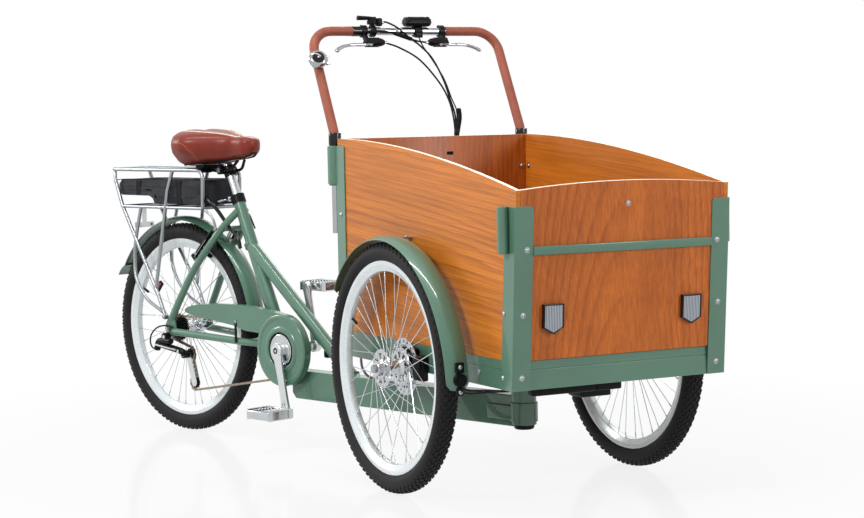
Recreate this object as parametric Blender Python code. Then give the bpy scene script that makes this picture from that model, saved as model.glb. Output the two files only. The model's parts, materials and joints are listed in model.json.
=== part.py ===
"""Front-box cargo tricycle with pedal drive, built from its separate pieces.

Metres, +Z up. +X is forward along the cargo box and +Y is the rider's left.
The box and both front wheels steer together about one upright pivot. Pieces of
the steering part and of the rear frame are drawn in two frames of their own,
both with their origin on the ground under the pivot, and the rear frame is
turned by STEER_ANGLE, as the tricycle stands with its front turned right.
"""
import math

import bmesh
import bpy
from mathutils import Matrix, Vector

CLEAR = 0.0003            # gap between pieces that touch
RUNNING = 0.0009          # gap of a turning piece round its axle
STEER_ANGLE = math.radians(17.04)

# Wheels, all three alike in tyre and rim
WHEEL_RADIUS = 0.305
TYRE_WIDTH = 0.050
RIM_RADIUS = 0.260
RIM_DEPTH = 0.0265
RIM_WIDTH = 0.032
RIM_FLOOR_WIDTH = 0.018
WHEEL_STEPS = 32
SPOKES = 36
SPOKE_RADIUS = 0.0012
SPOKE_TURN = math.radians(48)
TRACK = 0.688             # between the front tyres' middles
AXLE_SETBACK = 0.043      # front axle behind the pivot
REAR_REACH = 1.332        # rear axle behind the pivot
AXLE_RADIUS = 0.0060

# Hubs
FLANGE_RADIUS = 0.047
FLANGE_THICKNESS = 0.004
FRONT_FLANGE_OFFSET = 0.026
REAR_FLANGE_RADIUS = 0.036
REAR_FLANGE_OFFSET = 0.024
HUB_BARREL_RADIUS = 0.016
DISC_RADIUS = 0.070
DISC_THICKNESS = 0.002
DISC_OFFSET = 0.035

# Cargo box
BOX_HALF_WIDTH = 0.289
BOX_REAR = -0.448
BOX_FRONT_FOOT = 0.439
BOX_LEAN = math.atan2(0.028, 0.413)
RAIL_BOTTOM = 0.295
RAIL_HEIGHT = 0.066
RAIL_WIDTH = 0.030
RAIL_GROOVE = 0.0015
GROOVE_HEIGHT = 0.044
CROSS_HEIGHT = 0.030
PLY = 0.012
ANGLE_WALL = 0.003
ANGLE_LEG = 0.048
FRONT_POST_TOP = 0.708
REAR_POST_TOP = 0.837
PANEL_FRONT_TOP = 0.744
PANEL_REAR_TOP = 0.8555
PANEL_ARCH = 0.0135
SOCKET_LENGTH = 0.105
SOCKET_RADIUS = 0.0125
SOCKET_BORE = 0.0095
FRONT_BAR_HEIGHT = 0.020
FRONT_BAR_DROP = 0.090
REFLECTOR_WIDTH = 0.053
REFLECTOR_HEIGHT = 0.069
REFLECTOR_DEPTH = 0.010
REFLECTOR_SPREAD = 0.187
REFLECTOR_RISE = 0.124

# Handlebar
BAR_RADIUS = 0.0110
BAR_SPREAD = 0.281
BAR_SETBACK = 0.0195      # upright's axis behind the rear posts
BAR_FOOT = 0.610
BAR_KNEE = 0.862
BAR_TOP = 1.140
BAR_LEAN = math.radians(27)
BAR_CORNER = 0.062
BAR_SOCKET_RADIUS = 0.0205
BAR_SOCKET_LENGTH = 0.099
COLLAR_RADIUS = 0.0165
COLLAR_HEIGHT = 0.018
WRAP_RADIUS = 0.0127
RIGHT_WRAP_END = -0.158
LEFT_WRAP_END = 0.124
LEVER_REACH = 0.040       # brake lever's pivot from the bar's axis
LEVER_LENGTH = 0.112
RIGHT_LEVER_Y = -0.112
LEFT_LEVER_Y = 0.101
DISPLAY_SIZE = (0.040, 0.080, 0.027)
DISPLAY_Y = 0.040
SHIFTER_Y = -0.096
BELL_HEIGHT = 0.086       # bell's band, measured down from the bar's top
BELL_STANDOFF = 0.0185
BELL_PIN = (-0.012, -0.0265, -0.0026)
BELL_EYE_HALF = 0.0018

# Steering head and lower beam
HEAD_RADIUS = 0.031
HEAD_TOP = 0.2885
HEAD_BORE = 0.0200
STEM_RADIUS = 0.0190
HEAD_SLEEVE_RADIUS = 0.0345
HEAD_FOOT = 0.130
HEAD_FOOT_RADIUS = 0.0255
BEAM_BOTTOM = 0.137
BEAM_TOP = 0.2155
BEAM_WIDTH = 0.050
BEAM_REAR = 0.487 - REAR_REACH
MAIN_TUBE_TOP = 0.560
MAIN_TUBE_FOOT = 0.720 - REAR_REACH
BUMPER_RADIUS = 0.0115

# Rear frame
SEAT_TUBE_RADIUS = 0.0170
SEAT_CLAMP = (0.2405 - REAR_REACH, 0.692)
SEAT_TUBE_SLOPE = math.atan2(0.1428, 0.3182)
MAIN_TUBE_RADIUS = 0.0180
STAY_RADIUS = 0.0105
STAY_BOW = 0.018
STAY_TOP_DROP = 0.040
STAY_TOP_SPREAD = 0.012
CHAIN_STAY_SPREAD = 0.027
DROPOUT_THICKNESS = 0.006
DROPOUT_SPREAD = 0.068
CRANK_REACH = 0.481        # crank's axis ahead of the rear axle
CRANK_AXIS = (CRANK_REACH - REAR_REACH, 0.2725)
SHELL_RADIUS = 0.022
SHELL_HALF_WIDTH = 0.036

# Drive
CRANK_LENGTH = 0.168
CRANK_SPREAD = 0.072
CRANK_DOWN_ANGLE = math.radians(11.3)
SPINDLE_RADIUS = 0.0085
CHAIN_LINE = 0.047
CHAIN_WIDTH = 0.007
CHAIN_HEIGHT = 0.0080
CHAINRING_RADIUS = 0.077
SPROCKET_RADIUS = 0.0345
JOCKEY_RADIUS = 0.0210
UPPER_JOCKEY = (0.064 - REAR_REACH, 0.232)
LOWER_JOCKEY = (0.089 - REAR_REACH, 0.150)
PEDAL_LENGTH = 0.092
PEDAL_WIDTH = 0.092
PEDAL_HEIGHT = 0.030
CASE_RADIUS = 0.100
CASE_HOLE_RADIUS = 0.050
CASE_OUTER_FACE = 0.0585
CASE_DEPTH = 0.022
CASE_WALL = 0.0025
CASE_ARM_LENGTH = 0.424
CASE_ARM_RISE = 0.1165

# Rim brake
BRAKE_SPREAD = 0.0565
PAD_RADIUS = 0.2540       # pads' middle from the wheel's axis
PAD_RISE = 0.020
PAD_HEIGHT = 0.0084
PAD_GAP = 0.0026          # pad to rim, brake open
BRAKE_BOSS_FACE = 0.0085  # arm's boss ahead of its middle

# Fenders
FENDER_WIDTH = 0.060
FRONT_FENDER_RADIUS = 0.342
REAR_FENDER_RADIUS = 0.337
FENDER_WALL = 0.0022
FENDER_CROWN = 0.010
REAR_FENDER_END = 150
REAR_FENDER_START = 8
FRONT_FENDER_START = -3
FRONT_FENDER_END = 129

FENDER_STAY_RADIUS = 0.0042

# Seat, rack and battery
SEATPOST_RADIUS = 0.0135
SEATPOST_TOP = 0.782
SEATPOST_INSERT = 0.120
QUICK_RELEASE_HALF = 0.006
SADDLE_LENGTH = 0.264
SADDLE_HALF_WIDTH = 0.120
SADDLE_NOSE = 0.327 - REAR_REACH
SADDLE_TOP = 0.887
SADDLE_SKIRT = 0.774
RACK_TOP = 0.768
RACK_TUBE = 0.0055
RACK_HALF_WIDTH = 0.068
RACK_REAR = -0.266 - REAR_REACH
RACK_FRONT = 0.167 - REAR_REACH
TRAY_HEIGHT = 0.664
BATTERY_REAR = RACK_REAR + 0.014
BATTERY_FRONT = RACK_FRONT - 0.001
BATTERY_HALF_WIDTH = 0.056
BATTERY_TOP = 0.7385

# Colour, roughness and metal share of each finish
FINISHES = {
    "green": ((0.105, 0.235, 0.155), 0.32, 0.0),
    "cherry": ((0.56, 0.22, 0.055), 0.42, 0.0),
    "chrome": ((0.80, 0.80, 0.80), 0.15, 1.0),
    "silver": ((0.72, 0.73, 0.74), 0.30, 1.0),
    "white": ((0.78, 0.80, 0.80), 0.35, 0.0),
    "rubber": ((0.025, 0.023, 0.024), 0.80, 0.0),
    "black": ((0.022, 0.022, 0.024), 0.45, 0.0),
    "tan": ((0.42, 0.13, 0.075), 0.60, 0.0),
    "seat_brown": ((0.30, 0.055, 0.025), 0.40, 0.0),
    "bronze": ((0.42, 0.33, 0.22), 0.35, 1.0),
    "lens": ((0.70, 0.72, 0.74), 0.20, 0.0),
}

RAIL_TOP = RAIL_BOTTOM + RAIL_HEIGHT
PANEL_OUTER = BOX_HALF_WIDTH - ANGLE_WALL - CLEAR
PANEL_INNER = PANEL_OUTER - PLY
BAR_X = BOX_REAR - BAR_SETBACK
BAR_TOP_X = BAR_X - math.tan(BAR_LEAN) * (BAR_TOP - BAR_KNEE)


def clear_scene():
    """Start from an empty scene."""
    for item in list(bpy.data.objects):
        bpy.data.objects.remove(item, do_unlink=True)


def placed(bm, matrix):
    """Move everything in a bmesh by a matrix."""
    bmesh.ops.transform(bm, matrix=matrix, verts=bm.verts)
    return bm


def shift(x, y, z):
    """Matrix of a plain move."""
    return Matrix.Translation((x, y, z))


def sweep(outline, frames):
    """Closed solid: a flat outline, in each frame's XY plane, drawn through the frames in turn."""
    bm = bmesh.new()
    verts = [bm.verts.new((u, v, 0.0)) for u, v in outline]
    bm.faces.new(verts)
    bmesh.ops.transform(bm, matrix=frames[0], verts=verts)
    edges = list(bm.edges)
    for before, after in zip(frames, frames[1:]):
        made = bmesh.ops.extrude_edge_only(bm, edges=edges)["geom"]
        edges = [item for item in made if isinstance(item, bmesh.types.BMEdge)]
        rim = [item for item in made if isinstance(item, bmesh.types.BMVert)]
        ring_edges = [edge for edge in edges if all(vert in rim for vert in edge.verts)]
        bmesh.ops.transform(bm, matrix=after @ before.inverted(), verts=rim)
        edges = ring_edges
    bmesh.ops.holes_fill(bm, edges=edges, sides=0)
    bmesh.ops.recalc_face_normals(bm, faces=bm.faces)
    return bm


def circle(radius, sides, flat=1.0):
    """Outline of a circle, or an ellipse flattened along its second axis."""
    turns = [2 * math.pi * (i + 0.5) / sides for i in range(sides)]
    return [(radius * math.cos(a), radius * flat * math.sin(a)) for a in turns]


def path_frames(points, scales=None):
    """Frames along a path, each ring square to the path and mitred at its bends."""
    points = [Vector(point) for point in points]
    scales = scales or [1.0] * len(points)
    steps = [(b - a).normalized() for a, b in zip(points, points[1:])]
    tangents = [steps[0]] + [(a + b).normalized() for a, b in zip(steps, steps[1:])] + [steps[-1]]
    side = tangents[0].orthogonal().normalized()
    if abs(tangents[0].y) < 0.9:
        side = Vector((0, 1, 0))
    frames = []
    for point, tangent, scale in zip(points, tangents, scales):
        side = (side - tangent * side.dot(tangent)).normalized()
        up = tangent.cross(side)
        basis = Matrix((side * scale, up * scale, tangent)).transposed().to_4x4()
        basis.translation = point
        frames.append(basis)
    return frames


def tube(points, radius, sides=10, flat=1.0, scales=None):
    """Solid round bar along a path."""
    return sweep(circle(radius, sides, flat), path_frames(points, scales))


def rounded(points, radius, steps=4):
    """A path with its inner corners turned into arcs."""
    points = [Vector(point) for point in points]
    path = [points[0]]
    for before, corner, after in zip(points, points[1:], points[2:]):
        a = (before - corner).normalized()
        b = (after - corner).normalized()
        half = a.angle(b) / 2
        reach = radius / math.tan(half)
        middle = corner + (a + b).normalized() * (radius / math.sin(half))
        start = corner + a * reach - middle
        turn = math.pi - 2 * half
        axis = start.cross(corner + b * reach - middle).normalized()
        path += [middle + Matrix.Rotation(turn * i / steps, 3, axis) @ start for i in range(steps + 1)]
    return path + [points[-1]]


def turned(profile, steps, closed=True):
    """Solid of revolution about Y from (radius, y) points; an open profile starts and ends on Y."""
    bm = bmesh.new()
    verts = [bm.verts.new((radius, y, 0.0)) for radius, y in profile]
    pairs = list(zip(verts, verts[1:]))
    if closed:
        pairs.append((verts[-1], verts[0]))
    edges = [bm.edges.new(pair) for pair in pairs]
    bmesh.ops.spin(bm, geom=verts + edges, cent=(0, 0, 0), axis=(0, 1, 0), dvec=(0, 0, 0),
                   angle=2 * math.pi, steps=steps, use_merge=True)
    bmesh.ops.remove_doubles(bm, verts=bm.verts, dist=0.000001)
    bmesh.ops.recalc_face_normals(bm, faces=bm.faces)
    return bm


def rod(start, end, radius, sides=12):
    """Straight round bar between two points."""
    return tube([start, end], radius, sides)


def block(low, high, bevel=0.0, segments=1):
    """Box between two corners, its edges rounded where bevel is given."""
    bm = bmesh.new()
    bmesh.ops.create_cube(bm, size=1.0)
    low = Vector(low)
    high = Vector(high)
    size = Matrix.Diagonal((*(high - low), 1.0))
    placed(bm, Matrix.Translation((low + high) / 2) @ size)
    if bevel:
        bmesh.ops.bevel(bm, geom=bm.edges, offset=bevel, segments=segments, profile=0.5,
                        affect="EDGES", material=-1)
    return bm


def plate(outline, low_y, high_y):
    """Flat plate from an outline of (x, z) points, between two depths along Y."""
    turn = Matrix.Rotation(math.pi / 2, 4, "X")
    return sweep(outline, [shift(0, low_y, 0) @ turn, shift(0, high_y, 0) @ turn])


def arc(centre, radius, start, end, steps):
    """Points of an arc in degrees, in a flat outline."""
    turns = [math.radians(start + (end - start) * i / steps) for i in range(steps + 1)]
    return [(centre[0] + radius * math.cos(a), centre[1] + radius * math.sin(a)) for a in turns]


def scratch(bm):
    """Object that a union or a cut works on."""
    mesh = bpy.data.meshes.new("scratch")
    bm.to_mesh(mesh)
    bm.free()
    item = bpy.data.objects.new("scratch", mesh)
    bpy.context.scene.collection.objects.link(item)
    return item


def fused(parts, cuts=()):
    """One closed shape from overlapping parts, with the cuts taken out."""
    base = scratch(parts[0])
    tools = [(scratch(part), "UNION") for part in parts[1:]]
    tools += [(scratch(cut), "DIFFERENCE") for cut in cuts]
    for tool, operation in tools:
        modifier = base.modifiers.new(operation.lower(), "BOOLEAN")
        modifier.operation = operation
        modifier.object = tool
    bpy.context.view_layer.update()
    graph = bpy.context.evaluated_depsgraph_get()
    mesh = bpy.data.meshes.new_from_object(base.evaluated_get(graph))
    bm = bmesh.new()
    bm.from_mesh(mesh)
    bmesh.ops.remove_doubles(bm, verts=bm.verts, dist=0.00001)
    bmesh.ops.dissolve_degenerate(bm, edges=bm.edges, dist=0.00001)
    for item in [base] + [tool for tool, operation in tools]:
        bpy.data.objects.remove(item, do_unlink=True)
    bpy.data.meshes.remove(mesh)
    return bm


def several(shapes):
    """Shapes that don't touch, kept together for one union or cut."""
    bm = bmesh.new()
    for shape in shapes:
        mesh = bpy.data.meshes.new("part")
        shape.to_mesh(mesh)
        shape.free()
        bm.from_mesh(mesh)
        bpy.data.meshes.remove(mesh)
    return bm


def mirrored(bm):
    """The same shape on the other side of the XZ plane."""
    placed(bm, Matrix.Diagonal((1, -1, 1, 1)))
    bmesh.ops.reverse_faces(bm, faces=bm.faces)
    return bm


def handed(side, bm):
    """A shape drawn for the left side, mirrored for the right where side is -1."""
    return bm if side > 0 else mirrored(bm)


def finish(name, kind):
    """The piece's own material."""
    colour, roughness, metal = FINISHES[kind]
    material = bpy.data.materials.new(name + "_finish")
    material.use_nodes = True
    shader = material.node_tree.nodes["Principled BSDF"]
    shader.inputs["Base Color"].default_value = (*colour, 1.0)
    shader.inputs["Roughness"].default_value = roughness
    shader.inputs["Metallic"].default_value = metal
    return material


def axis_point(name, parent, location, turn=0.0):
    """Empty that a group of pieces hangs on, at its joint's axis."""
    item = bpy.data.objects.new(name, None)
    item.empty_display_size = 0.05
    item.parent = parent
    item.location = location
    item.rotation_euler = (0, 0, turn)
    bpy.context.scene.collection.objects.link(item)
    return item


def piece(name, bm, kind, parent, smooth=True):
    """A named sub-part, drawn in its parent's frame."""
    mesh = bpy.data.meshes.new(name)
    bm.to_mesh(mesh)
    bm.free()
    item = bpy.data.objects.new(name, mesh)
    item.parent = parent
    mesh.materials.append(finish(name, kind))
    bpy.context.scene.collection.objects.link(item)
    if smooth:
        mesh.shade_smooth()
        mesh.set_sharp_from_angle(angle=math.radians(35))
    return item


def front_x(z):
    """Forward reach of the box's leaning front at a height."""
    return BOX_FRONT_FOOT + math.tan(BOX_LEAN) * (z - RAIL_BOTTOM)


def front_plane():
    """Frame of the leaning front: X out of it, Z up along it, from the foot of the posts."""
    return shift(BOX_FRONT_FOOT, 0, RAIL_BOTTOM) @ Matrix.Rotation(BOX_LEAN, 4, "Y")


# Wheels

def tyre():
    """Tyre with a round crown, closed along the rim."""
    half = TYRE_WIDTH / 2
    bead = RIM_RADIUS + CLEAR
    wall = WHEEL_RADIUS - RIM_RADIUS
    side = [(half * 0.60, bead), (half, RIM_RADIUS + wall * 0.46), (half * 0.66, RIM_RADIUS + wall * 0.89)]
    profile = [(radius, y) for y, radius in side]
    profile += [(WHEEL_RADIUS, 0.0)]
    profile += [(radius, -y) for y, radius in reversed(side)]
    return turned(profile, WHEEL_STEPS)


def rim():
    """Box-section rim."""
    half = RIM_WIDTH / 2
    floor = RIM_RADIUS - RIM_DEPTH
    side = [(RIM_RADIUS, half), (RIM_RADIUS - RIM_DEPTH * 0.4, half), (floor, RIM_FLOOR_WIDTH / 2)]
    return turned(side + [(radius, -y) for radius, y in reversed(side)], WHEEL_STEPS)


def spokes(flange_radius, offsets):
    """Spokes from both flanges to the rim, those of each flange leaning one way round."""
    reach = (RIM_RADIUS - RIM_DEPTH) * math.cos(math.pi / WHEEL_STEPS) - CLEAR
    root = flange_radius - SPOKE_RADIUS * 3.5
    rods = []
    for i in range(SPOKES):
        turn = 2 * math.pi * (i + 0.5) / SPOKES
        side = 1 if i % 2 else -1
        start = turn - side * SPOKE_TURN
        y = offsets[i % 2]
        rods.append(tube([(root * math.cos(start), y, root * math.sin(start)),
                          (reach * math.cos(turn), side * SPOKE_RADIUS * 2, reach * math.sin(turn))],
                         SPOKE_RADIUS, 3))
    return several(rods)


def front_hub():
    """Large-flange hub with its brake disc on the inner side, drawn for the left wheel."""
    bore = AXLE_RADIUS + RUNNING
    outer = FRONT_FLANGE_OFFSET + FLANGE_THICKNESS / 2
    inner = FRONT_FLANGE_OFFSET - FLANGE_THICKNESS / 2
    disc = DISC_OFFSET
    half_disc = DISC_THICKNESS / 2
    profile = [(bore, -disc - 0.0062), (0.020, -disc - 0.0062), (0.020, -disc - half_disc),
               (DISC_RADIUS, -disc - half_disc), (DISC_RADIUS, -disc + half_disc), (0.018, -disc + half_disc),
               (0.018, -outer), (FLANGE_RADIUS, -outer), (FLANGE_RADIUS, -inner), (0.021, -inner + 0.002),
               (HUB_BARREL_RADIUS, 0.0), (0.021, inner - 0.002), (FLANGE_RADIUS, inner),
               (FLANGE_RADIUS, outer), (0.022, outer + 0.002), (0.018, outer + 0.016),
               (bore, outer + 0.016)]
    offsets = (-FRONT_FLANGE_OFFSET, FRONT_FLANGE_OFFSET)
    return fused([turned(profile, 12), spokes(FLANGE_RADIUS, offsets)])


def rear_hub():
    """Rear hub between its sprockets and the left dropout."""
    bore = AXLE_RADIUS + RUNNING
    offset = REAR_FLANGE_OFFSET
    outer = offset + FLANGE_THICKNESS / 2
    inner = offset - FLANGE_THICKNESS / 2
    profile = [(bore, -outer - 0.002), (0.017, -outer - 0.002), (0.017, -outer), (REAR_FLANGE_RADIUS, -outer),
               (REAR_FLANGE_RADIUS, -inner), (0.020, -inner + 0.003), (0.020, inner - 0.003),
               (REAR_FLANGE_RADIUS, inner), (REAR_FLANGE_RADIUS, outer), (0.020, outer + 0.002),
               (0.016, DROPOUT_SPREAD - 0.0120), (0.012, DROPOUT_SPREAD - 0.0115), (0.012, DROPOUT_SPREAD - 0.0045),
               (bore, DROPOUT_SPREAD - 0.0045)]
    return fused([turned(profile, 12), spokes(REAR_FLANGE_RADIUS, (-offset, offset))])


def wheel(prefix, axis, hub):
    """A wheel's three pieces on its axis."""
    piece(prefix + "_tyre", tyre(), "rubber", axis)
    piece(prefix + "_rim", rim(), "white", axis)
    piece(prefix + "_hub_and_spokes", hub, "silver", axis)


# Cargo box

def bottom_frame():
    """Rails round the box's foot, cross members and the crown over the steering head."""
    reach = PANEL_OUTER
    front = BOX_FRONT_FOOT - ANGLE_WALL - CLEAR
    rear = BOX_REAR + ANGLE_WALL + CLEAR
    inset = RAIL_WIDTH
    outer = block((rear, -reach, RAIL_BOTTOM), (front, reach, RAIL_TOP))
    hollow = block((rear + inset, -reach + inset, RAIL_BOTTOM - 0.01),
                   (front - inset, reach - inset, RAIL_TOP + 0.01))
    groove_low = RAIL_BOTTOM + GROOVE_HEIGHT
    grooves = [block((front - RAIL_GROOVE, -0.7 * reach, groove_low), (front + 0.01, 0.7 * reach, groove_low + 0.0025)),
               block((rear + 0.1, reach - RAIL_GROOVE, groove_low), (front - 0.1, reach + 0.01, groove_low + 0.0025)),
               block((rear + 0.1, -reach - 0.01, groove_low), (front - 0.1, -reach + RAIL_GROOVE, groove_low + 0.0025))]
    ring = fused([outer], [hollow] + grooves)
    top = RAIL_BOTTOM + CROSS_HEIGHT
    bite = inset - 0.005
    crosses = [block((x - 0.02, -reach + bite, RAIL_BOTTOM + 0.003), (x + 0.02, reach - bite, top))
               for x in (BOX_REAR * 0.6, BOX_FRONT_FOOT * 0.65)]
    spine = block((rear + bite, -0.045, RAIL_BOTTOM + 0.002), (front - bite, 0.045, top - 0.002))
    return fused([ring] + crosses + [spine])


def side_panel():
    """Left side panel with its arched top edge."""
    rear = BOX_REAR + ANGLE_WALL + CLEAR
    foot = RAIL_TOP + CLEAR
    inset = ANGLE_WALL + CLEAR
    front_foot = front_x(foot) - inset
    front_top = front_x(PANEL_FRONT_TOP) - inset
    outline = [(rear, foot), (front_foot, foot)]
    steps = 10
    for i in range(steps + 1):
        share = i / steps
        drop = (PANEL_REAR_TOP - PANEL_FRONT_TOP) * (1 - share) ** 1.8
        outline.append((front_top + (rear - front_top) * share, PANEL_REAR_TOP - drop))
    return plate(outline, PANEL_OUTER, PANEL_INNER)


def front_panel():
    """Leaning front panel between the sides, its top edge slightly arched."""
    half = PANEL_INNER - CLEAR
    foot = (RAIL_TOP + CLEAR - RAIL_BOTTOM) / math.cos(BOX_LEAN)
    top = (PANEL_FRONT_TOP - RAIL_BOTTOM) / math.cos(BOX_LEAN)
    outline = [(half, foot)]
    steps = 8
    for i in range(steps + 1):
        share = 2 * i / steps - 1
        outline.append((-half * share, top + PANEL_ARCH * (1 - share * share)))
    outline.append((-half, foot))
    back = -ANGLE_WALL - CLEAR
    stand = Matrix(((0, 0, 1, 0), (1, 0, 0, 0), (0, 1, 0, 0), (0, 0, 0, 1)))
    frames = [front_plane() @ shift(x, 0, 0) @ stand for x in (back, back - PLY)]
    return sweep(outline, frames)


def rear_panel():
    """Upright rear panel between the sides."""
    half = PANEL_INNER - CLEAR
    back = BOX_REAR + ANGLE_WALL + CLEAR
    return block((back, -half, RAIL_TOP + CLEAR), (back + PLY, half, PANEL_REAR_TOP))


def floor_panel():
    """Floor board on the cross members, inside the rails."""
    inset = RAIL_WIDTH + CLEAR + ANGLE_WALL + CLEAR
    low = RAIL_BOTTOM + CROSS_HEIGHT + CLEAR
    half = PANEL_OUTER - RAIL_WIDTH - CLEAR
    return block((BOX_REAR + inset, -half, low), (BOX_FRONT_FOOT - inset, half, low + PLY))


def angle_outline(direction):
    """Section of an angle iron whose outer corner is at the origin, legs running inward."""
    leg = ANGLE_LEG
    wall = ANGLE_WALL
    points = [(0, 0), (-leg, 0), (-leg, -wall), (-wall, -wall), (-wall, -leg), (0, -leg)]
    return [(x * direction, y) for x, y in points]


def socket_tube(x, y, low, high, radius, bore):
    """Upright round socket: its body and the hole through it."""
    body = rod((x, y, low), (x, y, high), radius, 12)
    hole = rod((x, y, low - 0.02), (x, y, high + 0.02), bore, 12)
    return body, hole


def front_post():
    """Left front corner post with the socket for a canopy pole on its outer side."""
    foot = shift(BOX_FRONT_FOOT, BOX_HALF_WIDTH, RAIL_BOTTOM)
    top = shift(front_x(FRONT_POST_TOP), BOX_HALF_WIDTH, FRONT_POST_TOP)
    angle = sweep(angle_outline(1), [foot, top])
    x = front_x(FRONT_POST_TOP) - ANGLE_LEG * 0.80
    y = BOX_HALF_WIDTH + SOCKET_RADIUS - 0.001
    body, hole = socket_tube(x, y, FRONT_POST_TOP - SOCKET_LENGTH, FRONT_POST_TOP, SOCKET_RADIUS, SOCKET_BORE)
    return fused([angle, body], [hole])


def rear_post():
    """Left rear corner post with the handlebar's socket behind it."""
    foot = shift(BOX_REAR, BOX_HALF_WIDTH, RAIL_BOTTOM)
    top = shift(BOX_REAR, BOX_HALF_WIDTH, REAR_POST_TOP)
    angle = sweep(angle_outline(-1), [foot, top])
    body, hole = socket_tube(BAR_X, BAR_SPREAD, REAR_POST_TOP - BAR_SOCKET_LENGTH, REAR_POST_TOP,
                             BAR_SOCKET_RADIUS, BAR_RADIUS + 0.0006)
    return fused([angle, body], [hole])


def front_bar():
    """Flat bar across the front, between the posts."""
    half = BOX_HALF_WIDTH - ANGLE_LEG - CLEAR
    top = (FRONT_POST_TOP - FRONT_BAR_DROP - RAIL_BOTTOM) / math.cos(BOX_LEAN)
    bar = block((-ANGLE_WALL, -half, top - FRONT_BAR_HEIGHT), (ANGLE_WALL, half, top), 0.001)
    return placed(bar, front_plane())


def reflector(y):
    """Shield-shaped front reflector."""
    half = REFLECTOR_WIDTH / 2
    high = REFLECTOR_RISE + REFLECTOR_HEIGHT
    shoulder = REFLECTOR_RISE + REFLECTOR_HEIGHT * 0.22
    outline = [(y - half, shoulder), (y - half, high), (y + half, high), (y + half, shoulder), (y, REFLECTOR_RISE)]
    stand = Matrix(((0, 0, 1, 0), (1, 0, 0, 0), (0, 1, 0, 0), (0, 0, 0, 1)))
    start = -ANGLE_WALL
    frames = [front_plane() @ shift(x, 0, 0) @ stand for x in (start, start + REFLECTOR_DEPTH)]
    return sweep(outline, frames)


# Handlebar and its controls

def handlebar_path():
    """Centre line of the handlebar, from the right foot over the top to the left foot."""
    y = BAR_SPREAD
    corners = [(BAR_X, -y, BAR_FOOT), (BAR_X, -y, BAR_KNEE), (BAR_TOP_X, -y, BAR_TOP),
               (BAR_TOP_X, y, BAR_TOP), (BAR_X, y, BAR_KNEE), (BAR_X, y, BAR_FOOT)]
    path = rounded(corners, BAR_CORNER, 3)
    return path


def bar_frames():
    """Frames along the handlebar, with rings added where a leather wrap ends."""
    path = handlebar_path()
    marks = []
    for before, after in zip(path, path[1:]):
        marks.append(before)
        for y in (RIGHT_WRAP_END, LEFT_WRAP_END):
            if before.y < y < after.y:
                marks.append(before.lerp(after, (y - before.y) / (after.y - before.y)))
    marks.append(path[-1])
    return path_frames(marks)


def handlebar():
    """Arched tube with a collar above each socket."""
    parts = [sweep(circle(BAR_RADIUS, 10), bar_frames())]
    for y in (-BAR_SPREAD, BAR_SPREAD):
        low = REAR_POST_TOP + CLEAR
        parts.append(rod((BAR_X, y, low), (BAR_X, y, low + COLLAR_HEIGHT), COLLAR_RADIUS, 14))
    return fused(parts)


def wrap(side):
    """Leather wrap round one upright and its bend."""
    frames = bar_frames()
    if side < 0:
        last = next(i for i, frame in enumerate(frames) if abs(frame.translation.y - RIGHT_WRAP_END) < 1e-6)
        run = frames[3:last + 1]
    else:
        first = next(i for i, frame in enumerate(frames) if abs(frame.translation.y - LEFT_WRAP_END) < 1e-6)
        run = frames[first:len(frames) - 3]
    outer = sweep(circle(WRAP_RADIUS, 10), run)
    longer = [run[0] @ shift(0, 0, -0.01)] + run + [run[-1] @ shift(0, 0, 0.01)]
    return fused([outer], [sweep(circle(BAR_RADIUS + CLEAR, 10), longer)])


def lever_frame(y):
    """Frame at a brake lever's pivot: X points at the bar, Z is the pivot's axis."""
    place = Vector((BAR_TOP_X + LEVER_REACH * 0.62, y, BAR_TOP - LEVER_REACH * 0.78))
    to_bar = (Vector((BAR_TOP_X, y, BAR_TOP)) - place).normalized()
    along = Vector((0, 1, 0))
    axis = to_bar.cross(along)
    frame = Matrix((to_bar, along, axis)).transposed().to_4x4()
    frame.translation = place
    return frame


def lever_mount(side, y):
    """Clamp round the bar and the housing that holds the lever's pivot; drawn for the left."""
    frame = lever_frame(0.0)
    clamp = rod((BAR_TOP_X, 0.004, BAR_TOP), (BAR_TOP_X, 0.019, BAR_TOP), BAR_RADIUS + 0.006, 12)
    hole = rod((BAR_TOP_X, -0.05, BAR_TOP), (BAR_TOP_X, 0.05, BAR_TOP), BAR_RADIUS + CLEAR, 14)
    neck = placed(block((0.0, 0.005, -0.006), (LEVER_REACH * 0.72, 0.018, 0.006)), frame)
    housing = placed(block((-0.009, -0.040, -0.0105), (0.010, 0.019, 0.0105), 0.003), frame)
    slot = placed(block((-0.012, -0.0115, -0.0048), (0.0125, 0.025, 0.0048)), frame)
    pin = placed(tube([(0, 0, -0.009), (0, 0, 0.009)], 0.0028, 10), frame)
    body = fused([clamp, neck, housing], [hole, slot])
    return placed(handed(side, fused([body, pin])), shift(0, y, 0))


def brake_lever(side):
    """Two-finger blade with a rolled tip, drawn for the left about its pivot."""
    reach = LEVER_LENGTH
    path = [(0.0, 0.006, 0), (-0.008, 0.026, 0), (-0.008, reach * 0.45, 0), (-0.010, reach * 0.70, 0),
            (-0.022, reach * 0.92, 0), (-0.030, reach, 0)]
    blade = sweep(circle(0.0065, 8, 0.5), path_frames(path, [0.9, 0.9, 0.85, 0.85, 0.80, 0.9]))
    eye = tube([(0, 0, -0.0043), (0, 0, 0.0043)], 0.0080, 12)
    hole = tube([(0, 0, -0.02), (0, 0, 0.02)], 0.0031, 10)
    return handed(side, fused([eye, blade], [hole]))


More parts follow.
